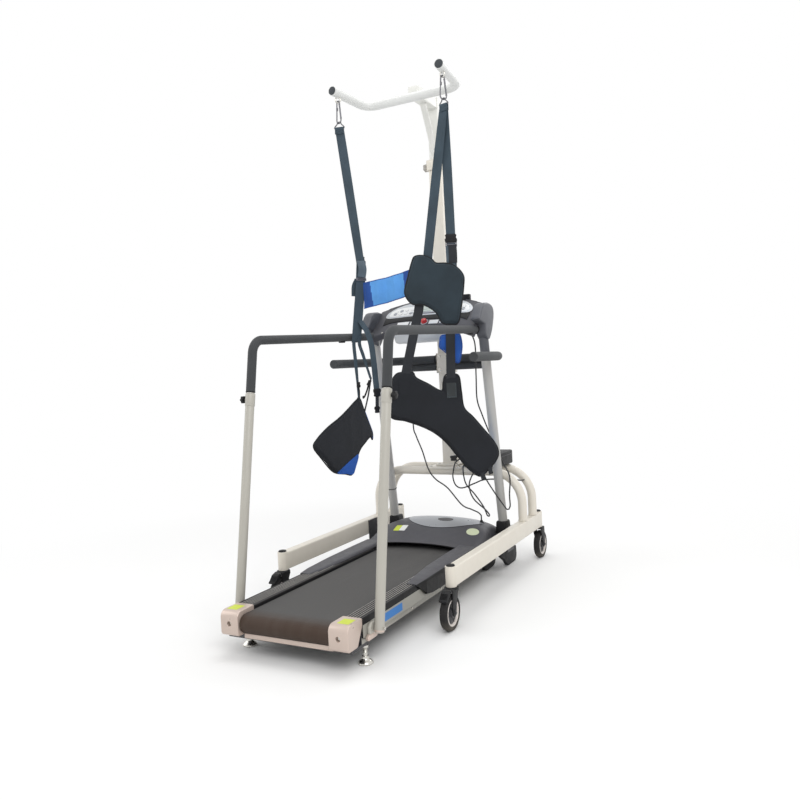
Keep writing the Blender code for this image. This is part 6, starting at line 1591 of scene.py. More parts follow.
def buildControlBox():
    low, high = Vector(controlBox["low"]), Vector(controlBox["high"])
    (left, right), (rear, front) = (low.x + 0.006, high.x - 0.006), (low.y + 0.006, high.y - 0.006)
    seam = [Vector((x, y, high.z - 0.017)) for x, y in (
        (left, low.y), (right, low.y), (high.x, rear), (high.x, front), (right, high.y), (left, high.y), (low.x, front),
        (low.x, rear))]
    screws = [((x, y, high.z), upward) for x in (low.x + 0.0105, high.x - 0.0105) for y in (low.y + 0.0105,
                                                                                            high.y - 0.0105)]
    pieces = [boxPiece("boxCase", low, high, blackPlastic, controlBox["edge"], 4),
              pathTube("boxSeam", seam, 0.0008, darkSteelPaint, True, 3),
              boxPiece("boxLid", (low.x + 0.014, low.y + 0.014, high.z - 0.001),
                       (high.x - 0.014, high.y - 0.014, high.z + 0.0009), blackPlastic, 0.0008, 2),
              boltHeads("lidScrews", screws, brightZinc, 0.0030, 0.0010, 0.0038, 0.0003, 20)]
    for x in [low.x + 0.055 + slot * 0.013 for slot in range(6)]:
        pieces.append(boxPiece("boxVent", (x, high.y - 0.0005, low.z + 0.022),
                               (x + 0.006, high.y + 0.0006, low.z + 0.040),
                               darkSteelPaint, 0.0004, 1))
    sleeve = [(0, -0.002), (0.0104, -0.002), (0.0104, 0.0020), (0.0098, 0.0028), (0.0072, 0.0030)]
    for rib in range(4):
        sleeve += [(0.0070 - rib * 0.0006, 0.0038 + rib * 0.0022), (0.0070 - rib * 0.0006, 0.0050 + rib * 0.0022),
                   (0.0056 - rib * 0.0005, 0.0052 + rib * 0.0022)]
    sleeve += [(radius, controlBox["glandLength"] - 0.0001) for radius in (0.0040, 0)]
    pieces += [turnedPiece("boxGland", sleeve, (x, low.y, controlBox["glandZ"]), (0, -1, 0), blackPlastic, 36)
               for x in controlBox["glands"]]
    x, y, z = controlBox["plug"]
    pieces.append(boxPiece("boxPlug", (x, y - 0.015, z - 0.013), (low.x + 0.004, y + 0.015, z + 0.013), blackPlastic,
                           0.0026))
    pieces += [boxPiece("plugRib", (at, y - 0.0156, z - 0.0136), (at + 0.0014, y + 0.0156, z + 0.0136), blackPlastic,
                        0.0008, 2)
               for at in [x + 0.004 + rib * 0.0036 for rib in range(4)]]
    pieces += [boxPiece("boxStrap", (across - 0.006, low.y + 0.002, low.z - 0.0002),
                        (across + 0.006, high.y - 0.002, low.z + 0.0022), blackPlastic)
               for across in (low.x + 0.03, high.x - 0.03)]
    lamp = [(0, 0.0012), (0.0022, 0.0009), (0.0026, 0.0), (0, 0.0)]
    pieces.append(turnedPiece("powerLamp", lamp, (low.x + 0.030, low.y, low.z + 0.046), (0, -1, 0), labelLime, 24))
    standFor("control_box_case", pieces, "frame", "control_box")


def buildColumnKnob():
    reach, y, height = column["half"] + 0.0043, column["y"], column["top"] - 0.027
    stem = [(0, 0.020), (0.0070, 0.020), (0.0070, 0.010), (0.0086, 0.0085), (0.0086, 0.0), (0, 0.0)]
    face = [(0, 0.0006), (0.0085, 0.0004), (0.0100, 0.0), (0.0100, -0.001), (0, -0.001)]
    pieces = [prismPiece("columnKnob", roundPoints(0.0165, 90, 0.0020, 5), 0.016, sidePlane(-reach - 0.022, y, height),
                         railCrown, 0.0028, 4, 50),
              turnedPiece("knobStem", stem, (-reach, y, height), (-1, 0, 0), blackPlastic, 40),
              turnedPiece("knobFace", face, (-reach - 0.0299, y, height), (-1, 0, 0), darkSteelPaint, 40)]
    standFor("column_knob_grip", pieces, "column_knob", "column_knob")


buildControlBox()
buildColumnKnob()
print("control box and knob are made")

# ---- harness: hooks, webbing, buckles, pads swollen by a cloth step, lining and stitches

harness = {"width": 0.038, "thick": 0.0025, "step": 0.009, "ringWire": 0.0025, "hookWire": 0.0028,
           "hookTopRadius": 0.008,
           "hookBottomRadius": 0.014, "hookLength": 0.092, "ringTurn": -15.0, "hookTurn": {-1: 20.0, 1: 55.0},
           "columns": 6, "thinEdge": 0.72, "behindChest": 0.009 * 1.16}
chestPlane = {"start": (0.155, 0.200), "heading": (0.884, 0.468)}
hipPlane = {"start": (0.152, 0.243), "heading": (0.856, 0.516)}
flapPlane = {"start": (0.149, 0.2115), "heading": (0.884, 0.468)}
thighPlane = {"start": (-0.200, 0.100), "heading": (0.06, 0.998)}
leftStrap = {"mid": (-0.179, 0.133, 1.330), "foot": (-0.211, 0.113, 1.030), "facing": (0.451, 0.892, 0.0), "low": 0.045,
             "lowThick": 0.004, "bandStart": 1.222, "bandEnd": 1.262}


def hookTop(side):
    return eyePlace(side).z - spreader["eye"] + spreader["wire"] + harness["hookWire"] + 0.0003


def hookBottom(side):
    return hookTop(side) - harness["hookLength"]


def ringBar(side):
    return hookBottom(side) + harness["hookWire"] + harness["ringWire"] + 0.0003 - 0.026


def headingOf(plane):
    return Vector((*plane["heading"], 0.0)).normalized()


def outOf(heading):
    # level, and square to a heading
    return Vector((heading.y, -heading.x, 0.0))


def onPlane(plane, distance, height, out=0.0):
    heading = headingOf(plane)
    return Vector((*plane["start"], height)) + heading * distance + outOf(heading) * out


def behindChest(distance, height):
    # the inner face of the chest pad, where the straps run
    return onPlane(chestPlane, distance, height, -(harness["behindChest"] + harness["thick"] / 2 + 0.0003))


def buildHook(side, word):
    place, across = eyePlace(side), ringFacing(side, harness["hookTurn"][side])
    small, large, wire = harness["hookTopRadius"], harness["hookBottomRadius"], harness["hookWire"]
    upper = Vector((place.x, place.y, hookTop(side) - small))
    lower = Vector((place.x, place.y, hookBottom(side) + large))
    spots = [upper + across * small * cos(pi * s / 10) + upward * small * sin(pi * s / 10) for s in range(11)]
    spots += [lower + across * large * cos(pi + pi * s / 14) + upward * large * sin(pi + pi * s / 14)
              for s in range(15)]
    gateTop, gateFoot = upper + across * small - upward * 0.006, lower + across * large + upward * 0.004
    pieces = [pathTube("hookLoop", spots, wire, hookSteel, True, 6),
              rodPiece("hookGate", wire + 0.0007, gateTop, gateFoot, hookSteel, 24, 0.0008)]
    pieces += [ringPiece("hookKnuckle", at, gateFoot - gateTop, wire + 0.0008, 0.0010, hookSteel, 24)
               for at in (gateTop, gateFoot)]
    pieces.append(rodPiece("hookCollar", wire + 0.0014, upper - across * small - upward * 0.018,
                           upper - across * (small + 0.0006) - upward * 0.030, hookSteel, 24, 0.0006))
    standFor("snap_hook_forged_" + word, pieces, "lift", "snap_hook_" + word)


def webStrip(name, points, facings, width, thick, material):
    # a woven strap along points, laid across the facings, with its own strip map in metres
    centre, half = smoothPath(points, harness["step"]), width / 2
    spans = [-1 + 2 * column / harness["columns"] for column in range(harness["columns"] + 1)]
    steps = [0.0]
    for near, far in zip(points, points[1:]):
        steps.append(steps[-1] + (Vector(far) - Vector(near)).length)
    bm = bmesh.new()
    layer = bm.loops.layers.uv.new("strip")
    rings, marks, travelled = [], [], 0.0
    for spot, middle in enumerate(centre):
        if spot:
            travelled += (middle - centre[spot - 1]).length
        share = min(travelled, steps[-1] - 1e-6)
        leg = max(0, min(len(points) - 2, sum(1 for step in steps[1:] if step <= share)))
        local = (share - steps[leg]) / max(steps[leg + 1] - steps[leg], 1e-6)
        across = unit(Vector(facings[leg]).lerp(Vector(facings[leg + 1]), local))
        along = unit(centre[min(spot + 1, len(centre) - 1)] - centre[max(spot - 1, 0)])
        across = unit(across - along * across.dot(along))
        out = along.cross(across)
        ring = []
        for way in (1, -1):
            for a in spans[::way]:
                edge = harness["thinEdge"] if abs(a) == 1 else 1.0
                ring.append((bm.verts.new(middle + across * half * a + out * way * thick / 2 * edge), half * a))
        rings.append(ring)
        marks.append(travelled)
    count = len(rings[0])
    for near, far, nearMark, farMark in zip(rings, rings[1:], marks, marks[1:]):
        for step in range(count):
            after = (step + 1) % count
            corners = [(*near[step], nearMark), (*near[after], nearMark), (*far[after], farMark), (*far[step], farMark)]
            face = bm.faces.new([corner[0] for corner in corners])
            for loop, (vertex, side, mark) in zip(face.loops, corners):
                loop[layer].uv = (side, mark)
    for ring, mark in ((rings[0], marks[0]), (rings[-1], marks[-1])):
        face = bm.faces.new([vertex for vertex, side in ring])
        for loop, (vertex, side) in zip(face.loops, ring):
            loop[layer].uv = (side, mark)
    bmesh.ops.recalc_face_normals(bm, faces=bm.faces)
    return newPiece(name, bmeshMesh(name, bm, 50), None, material)


def stitchBox(place, across, along, width, height, out):
    # the sewn box with its cross that locks a folded strap end
    across, along = unit(across), unit(along)
    normal = across.cross(along) * out
    a, b, c, d = [place + across * x * width / 2 + along * y * height / 2 + normal
                  for x, y in ((-1, -1), (1, -1), (1, 1), (-1, 1))]
    return [stitches("boxStitch", line, threadDark, 0.0034, 0.0013, 0.0004, closed)
            for line, closed in (([a, b, c, d], True), ([a, c], False), ([b, d], False))]


def sideBuckle(place, across, along, width, height, depth):
    # a moulded side-release clasp: body, prongs and strap bar
    lay, half, tall = planeMatrix(place, across, along), width / 2, height / 2
    outline = [(-half, tall * 0.15), (-half, tall * 0.75), (-half + 0.004, tall), (half - 0.004, tall),
               (half, tall * 0.75),
               (half, tall * 0.15), (half - 0.0035, -tall * 0.05), (half - 0.0035, -tall * 0.45),
               (half - 0.001, -tall * 0.70), (half - 0.005, -tall), (-half + 0.005, -tall),
               (-half + 0.001, -tall * 0.70),
               (-half + 0.0035, -tall * 0.45), (-half + 0.0035, -tall * 0.05)]
    rib = oblong(-half * 0.62, tall * 0.35, half * 0.62, tall * 0.62)
    return [prismPiece("buckleBody", outline, depth, lay, blackPlastic, 0.0016, 3, 30),
            prismPiece("buckleRib", rib, depth + 0.0016, lay, blackPlastic, 0.0006, 2)]


def glideBuckle(place, across, along, width, height, depth):
    # a three-bar adjuster
    lay, half, tall, bar, cheek = planeMatrix(place, across, along), width / 2, height / 2, height * 0.16, 0.0035
    outlines = [oblong(-half, low, half, low + bar) for low in (-tall, -bar / 2, tall - bar)]
    outlines += [oblong(left, -tall, left + cheek, tall) for left in (-half, half - cheek)]
    return [prismPiece("glideBar", outline, depth, lay, greyNylon, 0.0007, 2) for outline in outlines]


def buildDee(side):
    # the ring in the hook, and the strap end that is folded round its bar
    place, across, bar = eyePlace(side), ringFacing(side, harness["ringTurn"]), ringBar(side)
    half, crown, radius, reach, loop = harness["width"] / 2 + 0.001, bar + 0.026, 0.009, 0.0042, 0.0044
    facing = across.cross(upward)

    def at(along, height, out=0.0):
        return Vector((place.x, place.y, height)) + across * along + facing * out

    spots = [at(-half, bar), at(-half * 0.5, bar), at(half * 0.5, bar), at(half, bar), at(half, bar + 0.006)]
    spots += [at(radius * cos(pi * s / 8), crown - radius + radius * sin(pi * s / 8)) for s in range(9)]
    spots.append(at(-half, bar + 0.006))
    wrap = [at(0, bar - 0.024, reach), at(0, bar - 0.008, reach)]
    wrap += [at(0, bar + loop * sin(pi * s / 6), loop * cos(pi * s / 6)) for s in range(7)]
    wrap += [at(0, bar - 0.008, -reach), at(0, bar - 0.024, -reach)]
    pieces = [pathTube("deeRing", smoothPath(spots, 0.0035, True), harness["ringWire"], hookSteel, True, 5),
              webStrip("ringWrap", wrap, [across] * len(wrap), harness["width"], harness["thick"], strapSlate)]
    for way in (-1, 1):
        pieces += stitchBox(at(0, bar - 0.014, way * 0.0056), across, upward, harness["width"] * 0.78, 0.014, 0.0)
    return pieces, at(0, bar), across


def buildSlingRight():
    pieces, top, across = buildDee(1)
    facing, width, thick = headingOf(chestPlane), harness["width"], harness["thick"]
    for distance, edge, drift in ((-0.047, 1.358, -0.0015), (0.050, 1.309, 0.0015)):
        mouth, foot = behindChest(distance, edge + 0.012), behindChest(distance - 0.004, edge - 0.030)
        shares = [step / 8 for step in range(9)]
        points = [top.lerp(mouth, share) + Vector((0, drift, -0.002)) * (1 - share) for share in shares]
        facings = [across.lerp(facing, min(share * 1.5, 1.0)) for share in shares]
        pieces.append(webStrip("chestStrap", points + [foot], facings + [facing], width, thick, strapSlate))
        pieces += stitchBox(mouth.lerp(foot, 0.55), facing, upward, 0.028, 0.016, 0.0022)
    run = mouth - top
    along = unit(run)
    normal = facing.cross(along)
    if normal.y > 0:
        normal.negate()
    pieces += sideBuckle(top + run * 0.826, facing, along, 0.050, 0.034, 0.011)
    pieces += glideBuckle(top + run * 0.866, facing, along, 0.048, 0.018, 0.0055)
    low = [top + run * share + normal * 0.0030 - facing * 0.005 for share in (0.872, 0.93, 0.985, 1.02)]
    tail = [top + run * share + normal * out + facing * over
            for share, out, over in ((0.868, 0.0050, 0.004), (0.92, 0.0080, 0.005), (0.985, 0.0065, 0.004))]
    pieces += [webStrip("doubledStrap", low, [facing] * 4, width - 0.001, thick, strapGrey),
               webStrip("strapTail", tail, [facing] * 3, width - 0.004, thick - 0.0007, strapBlack)]
    standFor("sling_right_webbing", pieces, "lift", "sling_right", 50)


def buildSlingLeft():
    pieces, top, across = buildDee(-1)
    facing, mid, foot = [Vector(leftStrap[key]) for key in ("facing", "mid", "foot")]
    width, thick, lowWidth = harness["width"], harness["thick"], leftStrap["low"]
    points = [top + Vector((0, 0, -0.002))] + [top.lerp(mid, step / 8) for step in range(1, 9)]
    facings = [across.lerp(facing, step / 8) for step in range(9)]
    low = [mid + Vector((0, 0, 0.030))] + [mid.lerp(foot, share) for share in (0.25, 0.5, 0.75, 1.0)]
    pieces += [webStrip("leftStrap", points, facings, width, thick, strapSlate),
               webStrip("leftLower", low, [facing] * 5, lowWidth, leftStrap["lowThick"], strapSlate)]
    run = unit(mid - top)
    normal = facing.cross(run)
    if normal.x < 0:
        normal.negate()
    pieces += sideBuckle(top.lerp(mid, 0.93) + facing * 0.016 - normal * 0.003, facing, run, 0.022, 0.034, 0.009)
    loop = [top.lerp(mid, share) + normal * out for share, out in ((0.935, 0.004), (0.965, 0.0085), (1.0, 0.0085))]
    loop.append(mid.lerp(foot, 0.10) + normal * 0.0055)
    pieces.append(webStrip("leftDouble", loop, [facing] * 4, width + 0.002, thick, strapGrey))
    pieces += glideBuckle(mid.lerp(foot, 0.13) + normal * 0.004, facing, run, 0.048, 0.012, 0.0050)
    tail = [mid.lerp(foot, share) - normal * out - facing * over
            for share, out, over in ((0.13, 0.004, 0.016), (0.22, 0.010, 0.024), (0.36, 0.009, 0.022))]
    pieces.append(webStrip("leftTail", tail, [facing] * 3, 0.025, 0.0018, strapSlate))
    for share in (0.62, 0.90):
        pieces += stitchBox(mid.lerp(foot, share), facing, run, lowWidth * 0.7, 0.022, 0.0026)
    edge = [foot + facing * (lowWidth / 2) * a - unit(mid - foot) * 0.0002 for a in (-1, 1)]
    pieces.append(pathTube("leftHem", edge, 0.0027, bindingBlack, False, 4))
    standFor("sling_left_webbing", pieces, "lift", "sling_left", 50)


for side, word in bothSides:
    buildHook(side, word)
buildSlingRight()
buildSlingLeft()
print("hooks and slings are made")

padCloth = {"spread": 0.0042, "inset": 0.0035, "frames": 20, "mass": 0.3, "quality": 5, "stretch": 18, "bending": 0.6}


def outlineCurve(outline, spacing=0.006):
    return [(p.x, p.y) for p in smoothPath([(a, b, 0) for a, b in outline], spacing, True)]


def insetCurve(curve, distance):
    # the outline drawn in by a distance, dropping the points that would cross over
    area = sum(ax * by - bx * ay for (ax, ay), (bx, by) in zip(curve, curve[1:] + curve[:1]))
    turn = 1 if area > 0 else -1
    inner = []
    for i, (x, y) in enumerate(curve):
        (ax, ay), (bx, by) = curve[i - 2], curve[(i + 2) % len(curve)]
        reach = hypot(bx - ax, by - ay) or 1e-9
        inner.append((x - (by - ay) / reach * distance * turn, y + (bx - ax) / reach * distance * turn))
    return [p for p in inner if min(hypot(p[0] - q[0], p[1] - q[1]) for q in curve) > distance * 0.86]


def swell(mesh, pressure, cap):
    # a cloth step that blows the closed pad up, each point held within the cap
    body = newPiece("padSwell", mesh)
    cloth = body.modifiers.new("cloth", "CLOTH")
    cloth.settings.use_pressure, cloth.settings.uniform_pressure_force = True, pressure
    cloth.settings.mass, cloth.settings.quality = padCloth["mass"], padCloth["quality"]
    cloth.settings.tension_stiffness = cloth.settings.compression_stiffness = padCloth["stretch"]
    cloth.settings.bending_stiffness = padCloth["bending"]
    cloth.settings.effector_weights.gravity = 0.0
    cloth.point_cache.frame_start, cloth.point_cache.frame_end = 1, padCloth["frames"]
    first = [vertex.co.copy() for vertex in mesh.vertices]
    for moment in range(1, padCloth["frames"] + 1):
        scene.frame_set(moment)
    shaped = evaluatedMesh(body)
    for vertex, start in zip(shaped.vertices, first):
        # kept over its own place, and the edge taken out to its binding
        edge = vertex.normal.copy()
        edge.z = 0
        rise = max(-cap, min(cap, vertex.co.z - start.z))
        vertex.co = start + Vector((0, 0, rise)) + edge * padCloth["spread"]
    bpy.data.objects.remove(body)
    scene.frame_set(1)
    return shaped


def padBody(name, outline, thick, pressure, cap, voxel=0.005):
    # the pad lying flat: x along its plane, y up, z out; its outline becomes a swollen closed form
    inner = outlineCurve(insetCurve(outlineCurve(outline), padCloth["inset"])[::2])
    slab = prismPiece(name, inner, thick, Matrix.Identity(4), padSlate)
    grid = slab.modifiers.new("grid", "REMESH")
    grid.mode, grid.voxel_size = "VOXEL", voxel
    mesh = takeMesh(slab)
    return swell(mesh, pressure, cap)


def hangPad(name, mesh, plane, stations, outside, inside):
    # bend the flat pad into place, smooth it, and line the face that turns to the walker
    for vertex in mesh.vertices:
        flat = vertex.co.copy()
        vertex.co = onPlane(plane, flat.x, flat.y, flat.z + stationOut(stations, flat.x))
    finished = takeMesh(subdivide(newPiece(name, mesh, None, outside)))
    finished.materials.clear()
    for material in (outside, inside):
        finished.materials.append(material)
    out = outOf(headingOf(plane))
    for polygon in finished.polygons:
        polygon.material_index = 1 if polygon.normal.dot(out) < -0.55 else 0
    finished.shade_smooth()
    return newPiece(name, finished)


def softPiece(piece, node=None):
    # a padded piece on the lift, in the place of a CAD node when one is given
    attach(piece, "lift")
    if node:
        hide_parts(node)
    return piece


def surfaceOf(piece):
    return BVHTree.FromPolygons([vertex.co for vertex in piece.data.vertices],
                                [tuple(polygon.vertices) for polygon in piece.data.polygons])


def lieOn(tree, plane, distance, height, face, lift):
    # a spot on the pad's outer face (1) or inner face (-1), or None beside the pad
    way = outOf(headingOf(plane)) * -face
    spot = tree.ray_cast(onPlane(plane, distance, height, 0.08 * face), way)[0]
    return spot - way * lift if spot is not None else None


def overPad(tree, plane, pad, x, y, lift, thick):
    # a spot on the pad's outer face, or where that face would be beside the pad
    spot = lieOn(tree, plane, x, y, 1, lift)
    return spot if spot is not None else onPlane(plane, x, y, thick + stationOut(pad["out"], x))


def seamRows(piece, plane, outline, inset, thread):
    # stitches inside the edge on both faces, broken where the pad has a gap
    rows, tree = [], surfaceOf(piece)
    inner = insetCurve(outlineCurve(outline, 0.005), inset)
    for face in (1, -1):
        line = [lieOn(tree, plane, x, y, face, 0.0002) for x, y in inner]
        line = [point for point in line if point is not None]
        runs = [[line[0]]]
        for point in line[1:]:
            if (point - runs[-1][-1]).length > 0.030:
                runs.append([])
            runs[-1].append(point)
        rows += [stitches("padSeam", run, thread, 0.0046, 0.0016, 0.00050) for run in runs if len(run) > 2]
    return rows


def buildPad(node, plane, pad, outside, inside):
    # the cover that takes the node's place, with its seams and its bound edge
    cover = hangPad(node + "_cover", padBody("padBody", pad["outline"], *pad["swell"]), plane, pad["out"], outside,
                    inside)
    softPiece(cover, node)
    rows = seamRows(cover, plane, pad["outline"], pad["seamInset"], threadDark)
    path = [onPlane(plane, x, y, stationOut(pad["out"], x)) for x, y in outlineCurve(pad["outline"])]
    return surfaceOf(cover), rows + [pathTube("padBinding", path, pad["binding"], bindingBlack, True, 4)]


chest = {"outline": [(-0.101, 1.362), (-0.115, 1.340), (-0.134, 1.280), (-0.150, 1.214), (-0.123, 1.170),
                     (-0.086, 1.167),
                     (-0.052, 1.152), (-0.023, 1.126), (-0.004, 1.088), (0.028, 1.079), (0.062, 1.084), (0.078, 1.150),
                     (0.091, 1.232), (0.091, 1.277), (0.060, 1.315), (0.024, 1.328), (-0.017, 1.331), (-0.034, 1.348),
                     (-0.064, 1.363)],
         "out": [(-0.148, 0.004), (-0.122, 0.001), (-0.060, -0.001), (0.030, 0.0), (0.060, 0.001), (0.088, 0.004),
                 (0.094, 0.006)],
         "swell": (0.011, 4.0, 0.0052), "fill": 0.55, "seamInset": 0.010, "binding": 0.0034}

tree, chestRows = buildPad("chest_pad", chestPlane, chest, padSlate, liningBlue)
gather("chest_pad_seams", chestRows, "lift", 50)

# dark is the span of the band that keeps its light blue; past it the ends are painted shade in navy
band = {"half": 0.053, "narrow": 0.003, "bow": 0.030, "thick": 0.0075, "columns": 64, "rows": 18, "dark": (0.17, 0.86),
        "folds": [(-0.02, -0.014, 0.10), (0.30, 0.0060, 0.06), (0.44, -0.0060, 0.05), (0.62, 0.0055, 0.05),
                  (0.78, -0.0045, 0.05), (1.02, -0.010, 0.08)]}


def buildBand():
    # the broad band from the left strap to the chest pad, bowed and creased
    mid, foot, facing = [Vector(leftStrap[key]) for key in ("mid", "foot", "facing")]
    share = (mid.z - leftStrap["bandStart"]) / (mid.z - foot.z)
    start = mid.lerp(foot, share) + facing * 0.010 + outOf(facing) * 0.0076
    end = onPlane(chestPlane, -0.122, leftStrap["bandEnd"], -0.0135)
    heading = Vector((end.x - start.x, end.y - start.y, 0.0))
    length = heading.length
    heading.normalize()
    out, columns, rows = outOf(heading), band["columns"], band["rows"]
    front, back = [], []
    for column in range(columns + 1):
        a = column / columns
        middle, half = start.z + (end.z - start.z) * a, band["half"] - band["narrow"] * a
        fold = sum(depth * exp(-((a - at) / wide) ** 2) for at, depth, wide in band["folds"])
        for row in range(rows + 1):
            b = -1 + 2 * row / rows
            sag = 0.0015 * sin(9 * a + 3 * b)
            thick = max(band["thick"] / 2 * (1 - abs(b) ** 5) ** 0.5 * (0.82 + 0.18 * cos(pi * b / 2)), 0.0008)
            bow = -band["bow"] * sin(pi * a) + fold * (1 - 0.35 * b * b) + sag * (1 - b * b)
            spot = Vector((start.x, start.y, middle + half * b)) + heading * length * a
            front.append(spot + out * (bow + thick))
            back.append(spot + out * (bow - thick))
    faces, size = [], len(front)
    for a, b, c, d in gridFaces(columns, rows):
        faces += [(a, b, c, d), (size + a, size + d, size + c, size + b)]
    border = list(range(rows)) + [column * (rows + 1) + rows for column in range(columns)]
    border += [columns * (rows + 1) + rows - row for row in range(rows)]
    border += [(columns - column) * (rows + 1) for column in range(columns)]
    faces += [(far, near, size + near, size + far) for near, far in zip(border, border[1:] + border[:1])]
    mesh = meshOf("bandMesh", front + back, faces)
    outwardFaces(mesh)
    mesh.shade_smooth()
    for material in (liningBand, liningNavy):
        mesh.materials.append(material)
    # the band's ends beyond the dark span take liningNavy as painted shade where they turn away from the light
    for polygon in mesh.polygons:
        share = (polygon.center - start).dot(heading) / length + (polygon.center.z - start.z) * 0.5
        polygon.material_index = 0 if band["dark"][0] < share < band["dark"][1] else 1
    softPiece(subdivide(newPiece("chest_band_lining", mesh)), "chest_band")
    edges = []
    for side in (0, rows):
        line = [(front[spot] + back[spot]) / 2 for spot in range(side, size, rows + 1)]
        edges.append(pathTube("bandBinding", line, 0.0020, liningNavy, False, 4))
    for column in (3, columns - 3):
        line = [front[column * (rows + 1) + row] + out * 0.0003 for row in range(1, rows)]
        edges.append(stitches("bandSeam", line, threadBlue))
    gather("chest_band_edges", edges, "lift", 50)


buildBand()

hip = {"outline": [(-0.253, 0.712), (-0.246, 0.800), (-0.240, 0.856), (-0.217, 0.887), (-0.180, 0.890), (-0.150, 0.888),
                   (-0.138, 0.866), (-0.090, 0.838), (-0.035, 0.806), (-0.026, 0.840), (-0.016, 0.870), (0.010, 0.874),
                   (0.040, 0.864), (0.048, 0.800), (0.056, 0.732), (0.090, 0.692), (0.120, 0.654), (0.175, 0.580),
                   (0.189, 0.535), (0.175, 0.500), (0.161, 0.484), (0.130, 0.452), (0.106, 0.441), (0.069, 0.468),
                   (0.040, 0.502), (0.013, 0.539), (-0.030, 0.595), (-0.077, 0.636), (-0.130, 0.665), (-0.190, 0.689)],
       "out": [(-0.252, 0.004), (-0.217, 0.0), (-0.160, -0.004), (-0.077, -0.006), (-0.020, -0.005), (0.050, -0.002),
               (0.105, 0.004), (0.150, 0.010), (0.188, 0.017)],
       "straps": [(-0.190, 0.880, -0.095, 1.164), (0.006, 0.860, 0.030, 1.080)],
       "flap": [(-0.018, 0.990), (-0.012, 1.030), (0.0, 1.037), (0.030, 1.038), (0.060, 1.038), (0.071, 1.032),
                (0.077, 0.990), (0.070, 0.945), (0.060, 0.920), (0.047, 0.924), (0.028, 0.946), (0.004, 0.968),
                (-0.010, 0.980)],
       "swell": (0.0115, 4.0, 0.0052), "fill": 0.55, "seamInset": 0.010, "binding": 0.0034}


def strapPatch(tree, distance, padTop):
    # the sewn patch that a strap runs under
    left, right, low, high, columns, rows = distance - 0.020, distance + 0.021, padTop - 0.085, padTop - 0.022, 8, 12
    points = [overPad(tree, hipPlane, hip, left + (right - left) * column / columns, low + (high - low) * row / rows,
                      0.0012,
                      0.009) for row in range(rows + 1) for column in range(columns + 1)]
    mesh = meshOf("strapPatch", points, gridFaces(rows, columns), 50)
    pieces = [thicken(newPiece("strapPatch", mesh, None, patchCloth if distance > 0 else padBlack), 0.0020, 0.0)]
    if distance > 0:
        ring = [points[0], points[columns], points[-1], points[-columns - 1]]
        middle, lift = sum(ring, Vector()) / 4, outOf(headingOf(hipPlane)) * 0.0012
        line = [middle + (p - middle) * 0.86 + lift for p in ring]
        pieces.append(stitches("patchStitch", line, threadBlue, 0.0040, 0.0015, 0.00045, True))
    return pieces


def buildHip():
    tree, extras = buildPad("hip_pad", hipPlane, hip, padBlack, liningBlue)
    facing, heading = headingOf(chestPlane), headingOf(hipPlane)
    for distance, padTop, liftAt, liftZ in hip["straps"]:
        foot, mouth = onPlane(hipPlane, distance, padTop - 0.030), behindChest(liftAt, liftZ - 0.012)
        points = [foot.lerp(mouth, step / 6) for step in range(7)] + [behindChest(liftAt + 0.002, liftZ + 0.030)]
        extras.append(webStrip("hipStrap", points, [facing] * 8, harness["width"], harness["thick"], strapBlack))
        extras += strapPatch(tree, distance, padTop)
    extras += sideBuckle(onPlane(hipPlane, 0.002, 0.522, 0.002), heading, upward, 0.030, 0.022, 0.010)
    extras += sideBuckle(onPlane(hipPlane, -0.236, 0.792, 0.013), heading, upward, 0.018, 0.026, 0.008)
    for at, drop in ((0.118, 0.437), (0.150, 0.462)):
        tab = [onPlane(hipPlane, at + over, drop + rise, out)
               for over, rise, out in ((0.0, 0.020, 0.014), (0.002, 0.0, 0.013), (0.006, -0.014, 0.010))]
        extras.append(webStrip("hipTab", tab, [heading] * 3, 0.018, 0.0022, strapBlack))
    gather("hip_pad_straps_and_seams", extras, "lift", 50)


def flapBack(height):
    return 0.012 + (1.04 - height) * 0.16


def buildFlap():
    mesh = padBody("flapBody", hip["flap"], 0.0055, 3.0, 0.0024, 0.004)
    for vertex in mesh.vertices:
        vertex.co.z -= flapBack(vertex.co.y)
    flap = hangPad("hip_flap_lining", mesh, flapPlane, [(0, 0.0)], liningRoyal, liningRoyal)
    softPiece(flap)
    rows = seamRows(flap, flapPlane, hip["flap"], 0.006, threadBlue)
    path = [onPlane(flapPlane, x, y, -flapBack(y)) for x, y in outlineCurve(hip["flap"])]
    rows.append(pathTube("padBinding", path, 0.0022, liningNavy, True, 4))
    gather("hip_flap_seams", rows, "lift", 50)


buildHip()
buildFlap()

thigh = {"outline": [(-0.330, 0.622), (-0.306, 0.652), (-0.240, 0.690), (-0.151, 0.726), (-0.085, 0.758),
                     (-0.023, 0.786),
                     (0.007, 0.788), (0.031, 0.752), (0.070, 0.694), (0.109, 0.640), (0.107, 0.604), (0.084, 0.618),
                     (0.030, 0.598), (-0.013, 0.577), (-0.046, 0.542), (-0.075, 0.500), (-0.097, 0.480),
                     (-0.140, 0.490),
                     (-0.203, 0.503), (-0.240, 0.525), (-0.290, 0.575)],
         "out": [(-0.328, -0.004), (-0.270, 0.0), (-0.180, 0.004), (-0.090, 0.003), (0.0, -0.004), (0.030, -0.008),
                 (0.075, -0.014), (0.105, -0.020)],
         "turnUp": [(-0.197, 0.506), (-0.046, 0.560), (-0.075, 0.502), (-0.097, 0.482), (-0.140, 0.491)],
         "looseStrap": [(-0.1965, 0.128, 1.118), (-0.170, 0.127, 1.080), (-0.148, 0.125, 1.025), (-0.139, 0.125, 0.949),
                        (-0.134, 0.125, 0.865), (-0.130, 0.125, 0.812)],
         "edge": [(0.036, 0.742), (0.070, 0.692), (0.106, 0.640), (0.106, 0.610)],
         "swell": (0.0075, 3.5, 0.0036, 0.0045), "fill": 0.45, "seamInset": 0.009, "binding": 0.0027}


